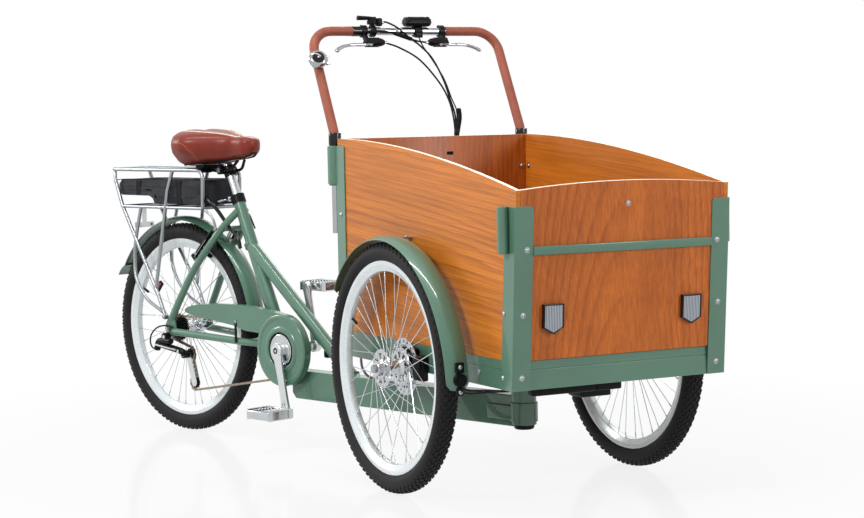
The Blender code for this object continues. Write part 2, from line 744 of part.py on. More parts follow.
def display():
    """Rounded display case on its clamp over the bar."""
    x, y, z = DISPLAY_SIZE
    low = BAR_TOP + BAR_RADIUS + 0.001
    case = block((BAR_TOP_X - x / 2, -y / 2, low), (BAR_TOP_X + x / 2, y / 2, low + z), 0.008, 2)
    clamp = rod((BAR_TOP_X, -0.011, BAR_TOP), (BAR_TOP_X, 0.011, BAR_TOP), BAR_RADIUS + 0.005, 14)
    hole = rod((BAR_TOP_X, -0.05, BAR_TOP), (BAR_TOP_X, 0.05, BAR_TOP), BAR_RADIUS + CLEAR, 14)
    return placed(fused([case, clamp], [hole]), shift(0, DISPLAY_Y, 0))


def shifter_body():
    """Thumb shifter's clamp and drum on top of the bar."""
    clamp = rod((BAR_TOP_X, SHIFTER_Y - 0.007, BAR_TOP), (BAR_TOP_X, SHIFTER_Y + 0.007, BAR_TOP), BAR_RADIUS + 0.005, 14)
    hole = rod((BAR_TOP_X, -0.15, BAR_TOP), (BAR_TOP_X, -0.05, BAR_TOP), BAR_RADIUS + CLEAR, 14)
    foot = block((BAR_TOP_X - 0.006, SHIFTER_Y - 0.006, BAR_TOP + 0.013), (BAR_TOP_X + 0.006, SHIFTER_Y + 0.006, BAR_TOP + 0.020))
    drum = rod((BAR_TOP_X, SHIFTER_Y, BAR_TOP + 0.018), (BAR_TOP_X, SHIFTER_Y, BAR_TOP + 0.029), 0.014, 16)
    stop = block((BAR_TOP_X - 0.006, SHIFTER_Y + 0.004, BAR_TOP + 0.0195), (BAR_TOP_X + 0.006, SHIFTER_Y + 0.024, BAR_TOP + 0.028))
    bolt = rod((BAR_TOP_X + 0.002, SHIFTER_Y, BAR_TOP - 0.010), (BAR_TOP_X + 0.006, SHIFTER_Y, BAR_TOP - 0.026), 0.004, 8)
    return fused([clamp, foot, drum, stop, bolt], [hole])


def shifter_lever():
    """Thumb lever that turns on the drum's top, drawn about its own axis."""
    cap = tube([(0, 0, 0), (0, 0, 0.009)], 0.012, 16)
    arm = tube([(0, 0, 0.0058), (0.004, -0.022, 0.0062), (0.004, -0.046, 0.0085)], 0.0050, 8, 0.65)
    return fused([cap, arm])


def bell_frame():
    """Frame at the middle of the bell, its Z axis out of the dome, square to the leaned upright."""
    z = BAR_TOP - BELL_HEIGHT
    x = BAR_X - math.tan(BAR_LEAN) * (z - BAR_KNEE)
    out = Vector((math.cos(BAR_LEAN), -0.30, math.sin(BAR_LEAN))).normalized()
    side = Vector((-math.sin(BAR_LEAN), 0, math.cos(BAR_LEAN)))
    frame = Matrix((side, out.cross(side), out)).transposed().to_4x4()
    frame.translation = Vector((x, -BAR_SPREAD, z)) + out * BELL_STANDOFF
    return frame


def bell():
    """Bell: a domed cup on a clamp round the leather wrap."""
    profile = [(0.0, 0.0), (0.0225, 0.0), (0.0255, 0.003), (0.0250, 0.009), (0.0215, 0.015), (0.0, 0.0175)]
    cup = placed(turned(profile, 16, closed=False), Matrix.Rotation(math.pi / 2, 4, "X"))
    foot = tube([(0, 0, -0.006), (0, 0, 0.002)], 0.008, 12)
    band = tube([(-0.006, 0, -BELL_STANDOFF), (0.006, 0, -BELL_STANDOFF)], WRAP_RADIUS + 0.0030, 12)
    hole = tube([(-0.02, 0, -BELL_STANDOFF), (0.02, 0, -BELL_STANDOFF)], WRAP_RADIUS + 0.0007, 12)
    pin_x, pin_y, pin_z = BELL_PIN
    seat = pin_z - BELL_EYE_HALF - CLEAR
    ear = block((pin_x - 0.004, pin_y - 0.0045, seat - 0.0015), (-0.004, -0.0045, seat))
    return placed(fused([cup, foot, band, ear], [hole]), bell_frame())


def bell_lever():
    """Thumb lever of the bell, drawn about its pin beside the cup."""
    eye = tube([(0, 0, -BELL_EYE_HALF), (0, 0, BELL_EYE_HALF)], 0.0042, 10)
    arm = tube([(0.002, 0, 0), (0.012, -0.002, 0.001), (0.020, -0.008, 0.003)], 0.0030, 6, 0.5)
    return fused([eye, arm])


def cable_run(points, radius, sides=6):
    """A cable along a smooth curve through its route's points."""
    points = [Vector(point) for point in points]
    padded = [points[0] * 2 - points[1]] + points + [points[-1] * 2 - points[-2]]
    path = []
    for a, b, c, d in zip(padded, padded[1:], padded[2:], padded[3:]):
        for t in (0.0, 0.5):
            path.append(0.5 * (2 * b + (c - a) * t + (2 * a - 5 * b + 4 * c - d) * t * t + (3 * b - 3 * c + d - a) * t ** 3))
    path.append(points[-1])
    return tube(path, radius, sides)


CABLE_X = BOX_REAR - 0.016
CONDUIT_Y = 0.078


def cable_harness():
    """Brake, shift and display cables gathered into the conduit behind the rear panel."""
    y = CONDUIT_Y
    lever_x, lever_y, lever_z = lever_frame(0.0).translation
    right_lever = [(lever_x, RIGHT_LEVER_Y + 0.0408, lever_z), (-0.577, -0.029, 1.0936), (-0.562, 0.023, 1.0606),
                   (-0.543, 0.070, 1.0004), (-0.522, 0.088, 0.9512), (-0.500, 0.0895, 0.9025),
                   (-0.478, y + 0.004, 0.860), (CABLE_X, y - 0.001, 0.830)]
    left_lever = [(lever_x, LEFT_LEVER_Y - 0.0408, lever_z), (-0.5845, 0.044, 1.1018), (-0.572, 0.0532, 1.0742),
                  (-0.556, 0.0805, 1.0222), (-0.535, 0.0989, 0.9702), (-0.508, 0.104, 0.920),
                  (-0.486, y + 0.014, 0.880), (CABLE_X, y + 0.001, 0.830)]
    shift_cable = [(-0.609, SHIFTER_Y + 0.0254, 1.1640), (-0.603, -0.054, 1.1635), (-0.590, -0.028, 1.1480),
                   (-0.586, 0.004, 1.1220), (-0.580, 0.0335, 1.1000), (-0.568, 0.0632, 1.0660),
                   (-0.550, 0.0860, 1.0100), (-0.532, 0.0960, 0.9567), (-0.507, 0.0990, 0.905),
                   (CABLE_X - 0.0015, y + 0.0008, 0.828)]
    conduit = [(-0.5060, 0.108, 0.9263), (-0.494, 0.1035, 0.9021), (-0.476, y + 0.009, 0.8680),
               (CABLE_X, y, 0.835), (CABLE_X, y, 0.60), (CABLE_X, y, 0.34)]
    parts = [cable_run(conduit, 0.0075, 7)]
    parts += [cable_run(route, 0.0024, 4) for route in (right_lever, left_lever, shift_cable)]
    return fused(parts)


# Running gear under the box

def axle_carrier():
    """Steering stem on its plate under the box, with the motor's controller ahead of it."""
    under = RAIL_BOTTOM + 0.002 - CLEAR
    plate_low = HEAD_TOP + CLEAR
    foot = HEAD_FOOT + 0.028
    stem = rod((0, 0, foot), (0, 0, plate_low + 0.003), STEM_RADIUS, 18)
    top = block((-0.075, -0.044, plate_low), (BOX_FRONT_FOOT - 0.078, 0.044, under))
    low = HEAD_TOP - 0.036
    controller = block((BOX_FRONT_FOOT - 0.148, -0.052, low), (BOX_FRONT_FOOT - 0.088, 0.030, under - 0.0004), 0.003)
    beam_x = BOX_FRONT_FOOT - 0.070
    cross = block((beam_x - 0.015, -0.200, low + 0.018), (beam_x + 0.013, 0.040, RAIL_BOTTOM - CLEAR - 0.0004), 0.002)
    return fused([top, stem, controller, cross])


def brake_caliper():
    """Left axle block with its stub axle, and the caliper over the brake disc."""
    x = -AXLE_SETBACK
    wheel_y = TRACK / 2
    face = PANEL_OUTER + CLEAR
    disc_y = wheel_y - DISC_OFFSET
    block_outer = disc_y - 0.0072
    axle_end = wheel_y + FRONT_FLANGE_OFFSET + 0.020
    carrier = block((x - 0.030, face, WHEEL_RADIUS - 0.027), (x + 0.036, block_outer, WHEEL_RADIUS + 0.045), 0.002)
    axle = rod((x, block_outer - 0.005, WHEEL_RADIUS), (x, axle_end, WHEEL_RADIUS), AXLE_RADIUS, 12)
    nut = rod((x, axle_end - 0.0013, WHEEL_RADIUS), (x, axle_end + 0.006, WHEEL_RADIUS), 0.0105, 6)
    grip = x + DISC_RADIUS
    body = block((grip - 0.021, face + 0.002, WHEEL_RADIUS - 0.029), (grip + 0.016, disc_y + 0.0055, WHEEL_RADIUS + 0.033),
                 0.003)
    arm = block((x + 0.020, face + 0.001, WHEEL_RADIUS - 0.020), (grip - 0.010, block_outer - 0.001, WHEEL_RADIUS + 0.020))
    slot = turned([(0.030, disc_y - 0.002), (DISC_RADIUS + 0.003, disc_y - 0.002),
                   (DISC_RADIUS + 0.003, disc_y + 0.002), (0.030, disc_y + 0.002)], 18)
    placed(slot, shift(x, 0, WHEEL_RADIUS))
    return fused([carrier, axle, nut, arm, body], [slot])


def fender_band(radius, start, end, steps):
    """Crowned band round a wheel between two angles in degrees."""
    half = FENDER_WIDTH / 2
    wall = FENDER_WALL
    outer = [(-half, -FENDER_CROWN), (-half * 0.55, -FENDER_CROWN * 0.25), (0, 0),
             (half * 0.55, -FENDER_CROWN * 0.25), (half, -FENDER_CROWN)]
    inner = [(y * (1 - wall / half), depth - wall) for y, depth in reversed(outer)]
    frames = []
    for i in range(steps + 1):
        angle = math.radians(start + (end - start) * i / steps)
        out = Vector((math.cos(angle), 0, math.sin(angle)))
        frame = Matrix((Vector((0, 1, 0)), out, Vector((0, 1, 0)).cross(out))).transposed().to_4x4()
        frame.translation = out * radius
        frames.append(frame)
    return sweep(outer + inner, frames)


def front_fender():
    """Left front fender with its stays to the box."""
    band = fender_band(FRONT_FENDER_RADIUS, FRONT_FENDER_START, FRONT_FENDER_END, 12)
    placed(band, shift(-AXLE_SETBACK, TRACK / 2, WHEEL_RADIUS))
    x = -AXLE_SETBACK
    inner = PANEL_OUTER + CLEAR
    high = WHEEL_RADIUS + FRONT_FENDER_RADIUS - 0.004
    top_tab = block((x - 0.012, inner, high - 0.006), (x + 0.012, TRACK / 2, high - 0.002))
    low_x = x + FRONT_FENDER_RADIUS - 0.002
    under = RAIL_BOTTOM - CLEAR - FENDER_STAY_RADIUS
    y = TRACK / 2
    stay = tube([(low_x, y + 0.004, under + 0.012), (low_x + 0.020, y - 0.006, under), (low_x + 0.095, BOX_HALF_WIDTH - 0.020, under)],
                FENDER_STAY_RADIUS, 6)
    bracket = block((low_x - 0.002, y - 0.012, WHEEL_RADIUS - 0.009), (low_x + 0.007, y + 0.012, WHEEL_RADIUS + 0.047), 0.001)
    return fused([band, top_tab, bracket, stay])


# Rear frame

def seat_tube_point(z):
    """Point of the seat tube's axis at a height."""
    x, top = SEAT_CLAMP
    return (x + math.tan(SEAT_TUBE_SLOPE) * (top - z), 0, z)


def seat_stay(side):
    """Centre line of one seat stay, from the seat tube to the dropout."""
    x, y, z = seat_tube_point(SEAT_CLAMP[1] - STAY_TOP_DROP)
    top = Vector((x, side * STAY_TOP_SPREAD, z))
    low = Vector((-REAR_REACH + 0.009, side * DROPOUT_SPREAD, WHEEL_RADIUS + 0.028))
    path = [top]
    for share, spread, bow in ((0.18, 0.59, 0.25), (0.50, 0.81, 1.0), (0.78, 0.94, 0.55)):
        point = top.lerp(low, share)
        path.append(Vector((point.x - STAY_BOW * bow, side * DROPOUT_SPREAD * spread, point.z)))
    return path + [low]


def chain_stay(side):
    """Centre line of one chain stay, drawn in beside the chainring, from the crank shell to the dropout."""
    crank_x, crank_z = CRANK_AXIS
    near = Vector((crank_x - 0.012, side * CHAIN_STAY_SPREAD, crank_z + 0.004))
    far = Vector((-REAR_REACH + 0.021, side * DROPOUT_SPREAD, WHEEL_RADIUS - 0.009))
    path = [near]
    for share, y in ((0.19, CHAIN_STAY_SPREAD + 0.0035), (0.34, 0.66 * DROPOUT_SPREAD), (0.85, 0.93 * DROPOUT_SPREAD)):
        point = near.lerp(far, share)
        path.append(Vector((point.x, side * y, point.z)))
    return path + [far]


def dropout(side):
    """Plate that holds the rear axle, where the stays meet."""
    x = -REAR_REACH
    z = WHEEL_RADIUS
    half = DROPOUT_THICKNESS / 2
    outline = [(x - 0.016, z - 0.013), (x + 0.026, z - 0.019), (x + 0.028, z - 0.003), (x + 0.018, z + 0.036),
               (x + 0.001, z + 0.034), (x - 0.018, z + 0.008)]
    return plate(outline, side * DROPOUT_SPREAD - half, side * DROPOUT_SPREAD + half)


def stay_bridge():
    """Middle of the bridge between the seat stays, over the wheel."""
    point = seat_stay(1)[1]
    return Vector((point.x + 0.006, 0, point.z + 0.005)), point.y


def steering_head():
    """Steering head's tube, sleeve and foot, with the gusset block on the beam."""
    height = HEAD_FOOT + 0.066
    return [rod((0, 0, HEAD_FOOT + 0.012), (0, 0, HEAD_TOP), HEAD_RADIUS, 18),
            rod((0, 0, HEAD_FOOT + 0.020), (0, 0, height), HEAD_SLEEVE_RADIUS, 18),
            rod((0, 0, HEAD_FOOT), (0, 0, HEAD_FOOT + 0.026), HEAD_FOOT_RADIUS, 18),
            block((-0.097, -0.032, BEAM_BOTTOM + 0.0165), (0.0, 0.032, BEAM_TOP - 0.025), 0.002)]


def rear_frame():
    """Welded rear frame: steering head, lower beam, main, seat and stay tubes, and the rear axle."""
    half_beam = BEAM_WIDTH / 2
    crank_x, crank_z = CRANK_AXIS
    axle_x = -REAR_REACH
    clamp_z = SEAT_CLAMP[1]
    seat = [seat_tube_point(crank_z + (clamp_z - crank_z) * share) for share in (1.0, 0.78, 0.59, 0.43, 0.26, 0.10)]
    seat.append((crank_x - 0.033, 0, crank_z - 0.025))
    seat.append((BEAM_REAR - 0.017, 0, BEAM_TOP - 0.020))
    seat_frames = path_frames(seat)
    for frame, width in zip(seat_frames, (1.0, 1.0, 1.08, 1.25, 1.35, 1.35, 1.35, 1.35)):
        for row in range(3):
            frame[row][1] *= width
    parts = [block((BEAM_REAR, -half_beam, BEAM_BOTTOM), (-0.004, half_beam, BEAM_TOP), 0.003)]
    parts += steering_head()
    parts.append(sweep(circle(SEAT_TUBE_RADIUS, 12), seat_frames))
    main_top = Vector(seat_tube_point(MAIN_TUBE_TOP)) - Vector((0.010, 0, 0))
    main_foot = Vector((MAIN_TUBE_FOOT, 0, BEAM_TOP - 0.014))
    parts.append(rod(main_top, main_foot, MAIN_TUBE_RADIUS, 12))
    slope = (main_foot - main_top).normalized()
    below = Vector((slope.z, 0, -slope.x)) * (MAIN_TUBE_RADIUS + BUMPER_RADIUS * 0.30)
    bumper = main_foot - slope * 0.124 + below
    parts.append(rod(bumper - Vector((0.001, 0, 0.009)), bumper + Vector((0.002, 0, 0.014)), BUMPER_RADIUS, 8))
    parts.append(rod((crank_x, -SHELL_HALF_WIDTH, crank_z), (crank_x, SHELL_HALF_WIDTH, crank_z), SHELL_RADIUS, 14))
    parts.append(block((crank_x - 0.030, -0.016, BEAM_TOP - 0.010), (crank_x + 0.020, 0.016, crank_z - 0.012)))
    parts.append(rod(seat_tube_point(clamp_z - 0.020), seat_tube_point(clamp_z + 0.002), SEAT_TUBE_RADIUS + 0.0035, 12))
    pin = Vector(quick_release_pin())
    ear_face = pin.y + QUICK_RELEASE_HALF + CLEAR
    parts.append(block((pin.x - 0.006, ear_face, pin.z - 0.007), (pin.x + 0.020, ear_face + 0.009, pin.z + 0.007)))
    for side in (-1, 1):
        parts.append(tube(seat_stay(side), STAY_RADIUS, 8))
        parts.append(tube(chain_stay(side), STAY_RADIUS, 8))
        parts.append(dropout(side))
        boss = rim_brake_frame(side)
        parts.append(rod(boss @ Vector((0.0185, 0, 0)), boss @ Vector((BRAKE_BOSS_FACE + CLEAR, 0, 0)), 0.0070, 8))
    bridge, half_bridge = stay_bridge()
    across = Vector((0, half_bridge - 0.002, 0))
    parts.append(rod(bridge - across, bridge + across, 0.0075, 8))
    brace = chain_stay(1)[2]
    parts.append(rod((brace.x, -brace.y, brace.z), brace, 0.0080, 8))
    axle_end = DROPOUT_SPREAD + 0.014
    parts.append(rod((axle_x, -axle_end, WHEEL_RADIUS), (axle_x, axle_end, WHEEL_RADIUS), AXLE_RADIUS, 10))
    seat_low = seat_tube_point(SEATPOST_TOP - SEATPOST_INSERT - 0.11)
    cuts = [rod((0, 0, HEAD_FOOT + 0.025), (0, 0, HEAD_TOP + 0.02), HEAD_BORE, 18),
            rod((crank_x, -0.06, crank_z), (crank_x, 0.06, crank_z), SPINDLE_RADIUS + RUNNING, 14),
            rod(seat_low, seat_tube_point(SEATPOST_TOP), SEATPOST_RADIUS + CLEAR, 12)]
    return fused(parts, cuts)


def rear_fender():
    """Rear fender with its tail flap, and the tab to the stay bridge."""
    hub = Vector((-REAR_REACH, 0, WHEEL_RADIUS))
    band = fender_band(REAR_FENDER_RADIUS, REAR_FENDER_START, REAR_FENDER_END, 13)
    placed(band, Matrix.Translation(hub))
    tail = math.radians(REAR_FENDER_END)
    end = hub + Vector((math.cos(tail), 0, math.sin(tail))) * (REAR_FENDER_RADIUS - 0.006)
    half = FENDER_WIDTH / 2 - 0.002
    flap = sweep([(-0.002, -half), (0.002, -half), (0.002, half), (-0.002, half)],
                 [Matrix.Translation(end + Vector((0.005, 0, 0.008))), Matrix.Translation(end + Vector((-0.030, 0, -0.020)))])
    bridge = stay_bridge()[0]
    out = (bridge - hub).normalized()
    tab = rod(hub + out * (REAR_FENDER_RADIUS - 0.0035), bridge - out * (0.0075 + CLEAR), 0.006, 8)
    return fused([band, flap, tab])


def rack():
    """Luggage rack: top rails, battery tray, legs and the lamp bracket."""
    half = RACK_HALF_WIDTH
    top = RACK_TOP
    front = RACK_FRONT
    rear = RACK_REAR
    tray = TRAY_HEIGHT - RACK_TUBE - CLEAR
    foot_x = -REAR_REACH - 0.010
    foot_y = DROPOUT_SPREAD + DROPOUT_THICKNESS / 2 + CLEAR + 0.0052
    foot_z = WHEEL_RADIUS + 0.034
    loop = [(front, -half, tray), (front + 0.004, -half, top - 0.012), (front - 0.012, -half, top), (rear + 0.03, -half, top),
            (rear, -half + 0.03, top - 0.002), (rear, half - 0.03, top - 0.002), (rear + 0.03, half, top),
            (front - 0.012, half, top), (front + 0.004, half, top - 0.012), (front, half, tray)]
    parts = [tube(loop, RACK_TUBE, 5)]
    inner_front = front - 0.062
    for x in (inner_front, (inner_front + rear) / 2):
        parts.append(rod((x, -half, top), (x, half, top), RACK_TUBE * 0.9, 5))
    for y in (-0.35 * half, 0.35 * half):
        parts.append(rod((rear, y, top - 0.001), (inner_front, y, top), RACK_TUBE * 0.8, 5))
    tray_rear = rear + 0.053
    for side in (-1, 1):
        parts.append(rod((tray_rear, side * half, tray), (front + 0.001, side * half, tray), RACK_TUBE * 0.9, 5))
    slat = RACK_TUBE * 0.8
    bed = TRAY_HEIGHT - CLEAR - slat * math.cos(math.pi / 8)
    for x in (tray_rear + 0.013, (tray_rear + front) / 2, front - 0.050, front):
        parts.append(rod((x, -half, bed), (x, half, bed), slat, 8))
    bridge, half_bridge = stay_bridge()
    for side in (-1, 1):
        y = side * half
        out = side * foot_y
        rear_leg = [(rear + 0.012, y * 0.92, top), (rear + 0.020, y, top - 0.030), (tray_rear, y, tray),
                    (foot_x - 0.030, out, foot_z + 0.062), (foot_x, out, foot_z)]
        middle_leg = [(rear + 0.296, y * 0.98, top - 0.001), (rear + 0.272, y, tray + 0.05), (foot_x - 0.040, out, foot_z + 0.085)]
        bent_leg = [(tray_rear + 0.090, y, tray), (foot_x - 0.142, y, foot_z + 0.225), (foot_x - 0.150, y, foot_z + 0.165),
                    (foot_x - 0.138, side * 0.073, foot_z + 0.105), (foot_x - 0.088, out, foot_z + 0.050),
                    (foot_x - 0.012, out, foot_z + 0.014)]
        parts.append(tube(rear_leg, RACK_TUBE, 5))
        parts.append(tube(middle_leg, RACK_TUBE, 5))
        parts.append(tube(bent_leg, RACK_TUBE * 0.95, 5))
        ear_y = half_bridge + STAY_RADIUS + 0.0040
        ear = seat_stay(side)[1]
        brace = [(front - 0.002, y * 0.93, tray - 0.001), (front + 0.030, side * (ear_y + 0.004), (tray + ear.z) / 2 + 0.006),
                 (ear.x - 0.002, side * ear_y, ear.z + 0.006)]
        parts.append(tube(brace, 0.0036, 5))
        parts.append(rod((foot_x, out - side * 0.0052, foot_z), (foot_x, out + side * 0.006, foot_z), 0.008, 7))
    plate_outline = [(-0.035, -0.008), (0.035, -0.008), (0.035, 0.008), (0.008, 0.008), (0.008, 0.062),
                     (-0.008, 0.062), (-0.008, 0.008), (-0.035, 0.008)]
    turn = Matrix(((0, 0, 1, 0), (1, 0, 0, 0), (0, 1, 0, 0), (0, 0, 0, 1)))
    lamp_x = tray_rear + 0.012
    bracket = sweep(plate_outline, [shift(lamp_x, 0, tray - 0.058) @ turn, shift(lamp_x + 0.003, 0, tray - 0.058) @ turn])
    return fused(parts + [bracket])


def battery_pack():
    """Battery in its soft cover, deeper towards the front, its corners drawn in."""
    low = TRAY_HEIGHT
    mid = low + 0.026
    outline = [(BATTERY_FRONT - 0.006, low), (BATTERY_FRONT, low + 0.012), (BATTERY_FRONT, BATTERY_TOP - 0.012),
               (BATTERY_FRONT - 0.010, BATTERY_TOP), (BATTERY_FRONT - 0.134, BATTERY_TOP + 0.0015), (BATTERY_REAR + 0.012, BATTERY_TOP),
               (BATTERY_REAR, BATTERY_TOP - 0.012), (BATTERY_REAR + 0.006, mid + 0.004), (BATTERY_REAR + 0.016, mid),
               (BATTERY_FRONT - 0.254, mid), (BATTERY_FRONT - 0.234, low)]
    turn = Matrix.Rotation(math.pi / 2, 4, "X")
    half = BATTERY_HALF_WIDTH
    frames = []
    for y, scale in ((-half, 0.972), (-half + 0.006, 1.0), (half - 0.006, 1.0), (half, 0.972)):
        middle = Vector(((BATTERY_REAR + BATTERY_FRONT) / 2, 0, (low + BATTERY_TOP) / 2))
        grow = Matrix.Translation(middle) @ Matrix.Diagonal((scale, 1, scale * 0.99, 1)) @ Matrix.Translation(-middle)
        frames.append(shift(0, y, 0) @ grow @ turn)
    return sweep(outline, frames)


# Saddle

def saddle_half_width(share):
    """Half width of the saddle from its rear (0) to its nose (1)."""
    rear = math.sqrt(max(0.0, 1 - ((share - 0.24) / 0.24) ** 2)) if share < 0.24 else 1.0
    blend = max(0.0, min(1.0, (share - 0.24) / 0.50))
    smooth = blend * blend * (3 - 2 * blend)
    width = SADDLE_HALF_WIDTH * (0.80 + 0.20 * rear) * (1 - smooth) + 0.030 * smooth
    nose = math.sqrt(max(0.0, 1 - ((share - 0.86) / 0.14) ** 2)) if share > 0.86 else 1.0
    tail = math.sqrt(max(0.0, 1 - ((0.10 - share) / 0.10) ** 2)) if share < 0.10 else 1.0
    return width * nose * tail


def saddle_under(share):
    """Height of the saddle's underside from its rear (0) to its nose (1)."""
    return SADDLE_SKIRT + 0.032 * share + 0.016 * max(0.0, (share - 0.80) / 0.20) ** 2


def saddle():
    """Padded saddle: a crowned pad with a drawn-in skirt and a shallow channel."""
    bm = bmesh.new()
    stations = [0.0, 0.02, 0.06, 0.13, 0.22, 0.34, 0.46, 0.58, 0.70, 0.82, 0.92, 0.975, 1.0]
    around = 18
    rear_x = SADDLE_NOSE - SADDLE_LENGTH
    rings = []
    for share in stations:
        x = rear_x + SADDLE_LENGTH * share
        half = saddle_half_width(share)
        nose = max(0.0, (share - 0.80) / 0.20) ** 2
        top = SADDLE_TOP - 0.030 * min(1.0, share / 0.75) ** 1.4 - 0.012 * nose
        low = saddle_under(share)
        if share in (0.0, 1.0):
            rings.append([bm.verts.new((x, 0, low + (top - low) * 0.45))])
            continue
        ring = []
        fade = min(1.0, share / 0.10, (1 - share) / 0.06)
        for i in range(around):
            angle = 2 * math.pi * i / around
            across = math.sin(angle)
            up = math.cos(angle)
            draw_in = 1.0 if up > -0.3 else 0.86 + 0.10 * share
            y = half * math.copysign(abs(across) ** 0.75, across) * draw_in
            middle = (top + low) / 2
            rise = (top - low) / 2 * (0.55 + 0.45 * fade)
            z = middle + rise * math.copysign(abs(up) ** 0.6, up)
            if up > 0.9:
                z -= 0.009 * fade * (1 - 0.6 * share)
            ring.append(bm.verts.new((x, y, z)))
        rings.append(ring)
    for before, after in zip(rings, rings[1:]):
        for i in range(around):
            j = (i + 1) % around
            if len(before) == 1:
                bm.faces.new((before[0], after[j], after[i]))
            elif len(after) == 1:
                bm.faces.new((before[i], before[j], after[0]))
            else:
                bm.faces.new((before[i], before[j], after[j], after[i]))
    bmesh.ops.recalc_face_normals(bm, faces=bm.faces)
    return bm


def saddle_base():
    """Saddle's rails, springs and clamp under the pad."""
    rear_x = SADDLE_NOSE - SADDLE_LENGTH
    top = saddle_under(0.060 / SADDLE_LENGTH) - CLEAR
    x, y, z = seat_tube_point(SEATPOST_TOP)
    rail_x = x + 0.062
    rail_z = saddle_under((rail_x - rear_x) / SADDLE_LENGTH) - 0.0042 - CLEAR
    level = SEATPOST_TOP - 0.016
    parts = [block((rear_x + 0.060, -0.056, top - 0.012), (rear_x + 0.090, 0.056, top))]
    for side in (-1, 1):
        rail = [(rear_x + 0.070, side * 0.036, top - 0.006), (rear_x + 0.090, side * 0.023, level),
                (x + 0.030, side * 0.021, level), (rail_x, side * 0.012, rail_z)]
        parts.append(tube(rail, 0.0042, 6))
        parts.append(tube([(rear_x + 0.074, side * 0.046, top - 0.020), (rear_x + 0.074, side * 0.046, top - 0.004)], 0.012, 7))
        parts.append(block((rear_x + 0.066, side * 0.036 - 0.015, top - 0.020), (rear_x + 0.094, side * 0.036 + 0.015, top - 0.014)))
    parts.append(rod((x - 0.004, -0.031, level), (x - 0.004, 0.031, level), 0.012, 10))
    post_end = seat_tube_point(SEATPOST_TOP - 0.006)
    hole = rod(seat_tube_point(SEATPOST_TOP - 0.060), seat_tube_point(SEATPOST_TOP + 0.001), SEATPOST_RADIUS + CLEAR, 12)
    collar = rod(seat_tube_point(SEATPOST_TOP - 0.034), post_end, SEATPOST_RADIUS + 0.004, 12)
    return fused(parts + [collar], [hole])


def seatpost():
    """Seatpost, down inside the seat tube."""
    return rod(seat_tube_point(SEATPOST_TOP - SEATPOST_INSERT - 0.10), seat_tube_point(SEATPOST_TOP), SEATPOST_RADIUS, 12)


def quick_release_pin():
    """Middle of the clamp lever's hub, behind the seat collar."""
    x, y, z = seat_tube_point(SEAT_CLAMP[1] + 0.009)
    return (x - SEAT_TUBE_RADIUS - 0.0112, -0.004, z - 0.018)


def quick_release():
    """Clamp lever beside the seat collar's ear, drawn about its pin."""
    hub = tube([(0, -QUICK_RELEASE_HALF, 0), (0, QUICK_RELEASE_HALF, 0)], 0.0065, 10)
    arm = tube([(-0.003, 0, 0.0), (-0.018, -0.006, -0.003), (-0.029, -0.018, -0.007)], 0.0055, 6, 0.6)
    return fused([hub, arm])


# Drive

def belt(circles, steps):
    """Centre line of a chain round circles of (x, z, radius, sense), sense +1 turning from X to Z."""
    spans = []
    for a, b in zip(circles, circles[1:] + circles[:1]):
        d = Vector((b[0] - a[0], b[1] - a[1]))
        heading = math.atan2(d.y, d.x) - math.asin((b[3] * b[2] - a[3] * a[2]) / d.length)
        spans.append(heading)
    path = []
    for i, (x, z, radius, sense) in enumerate(circles):
        enter = spans[i - 1]
        leave = spans[i]
        turn = (leave - enter) % (2 * math.pi)
        if sense < 0:
            turn -= 2 * math.pi
        count = max(2, round(abs(turn) / (2 * math.pi) * steps))
        for k in range(count + 1):
            heading = enter + turn * k / count
            path.append((x + sense * radius * math.sin(heading), z - sense * radius * math.cos(heading)))
    return path


def chain():
    """Chain as one closed band round the chainring, sprocket and jockey wheels."""
    circles = [(-REAR_REACH, WHEEL_RADIUS, SPROCKET_RADIUS, -1), (*CRANK_AXIS, CHAINRING_RADIUS, -1),
               (*LOWER_JOCKEY, JOCKEY_RADIUS, -1), (*UPPER_JOCKEY, JOCKEY_RADIUS, 1)]
    line = belt(circles, 26)
    bm = bmesh.new()
    loops = []
    count = len(line)
    for offset in (-CHAIN_HEIGHT / 2, CHAIN_HEIGHT / 2):
        verts = []
        for i, point in enumerate(line):
            before = Vector(line[i - 1])
            here = Vector(point)
            after = Vector(line[(i + 1) % count])
            along = ((here - before).normalized() + (after - here).normalized()).normalized()
            place = here + Vector((-along.y, along.x)) * offset
            verts.append(bm.verts.new((place.x, -CHAIN_LINE - CHAIN_WIDTH / 2, place.y)))
        loops.append(verts)
    edges = []
    for verts in loops:
        edges += [bm.edges.new((a, b)) for a, b in zip(verts, verts[1:] + verts[:1])]
    faces = bmesh.ops.bridge_loops(bm, edges=edges)["faces"]
    made = bmesh.ops.extrude_face_region(bm, geom=faces)["geom"]
    moved = [item for item in made if isinstance(item, bmesh.types.BMVert)]
    bmesh.ops.translate(bm, verts=moved, vec=(0, CHAIN_WIDTH, 0))
    bmesh.ops.recalc_face_normals(bm, faces=bm.faces)
    return bm


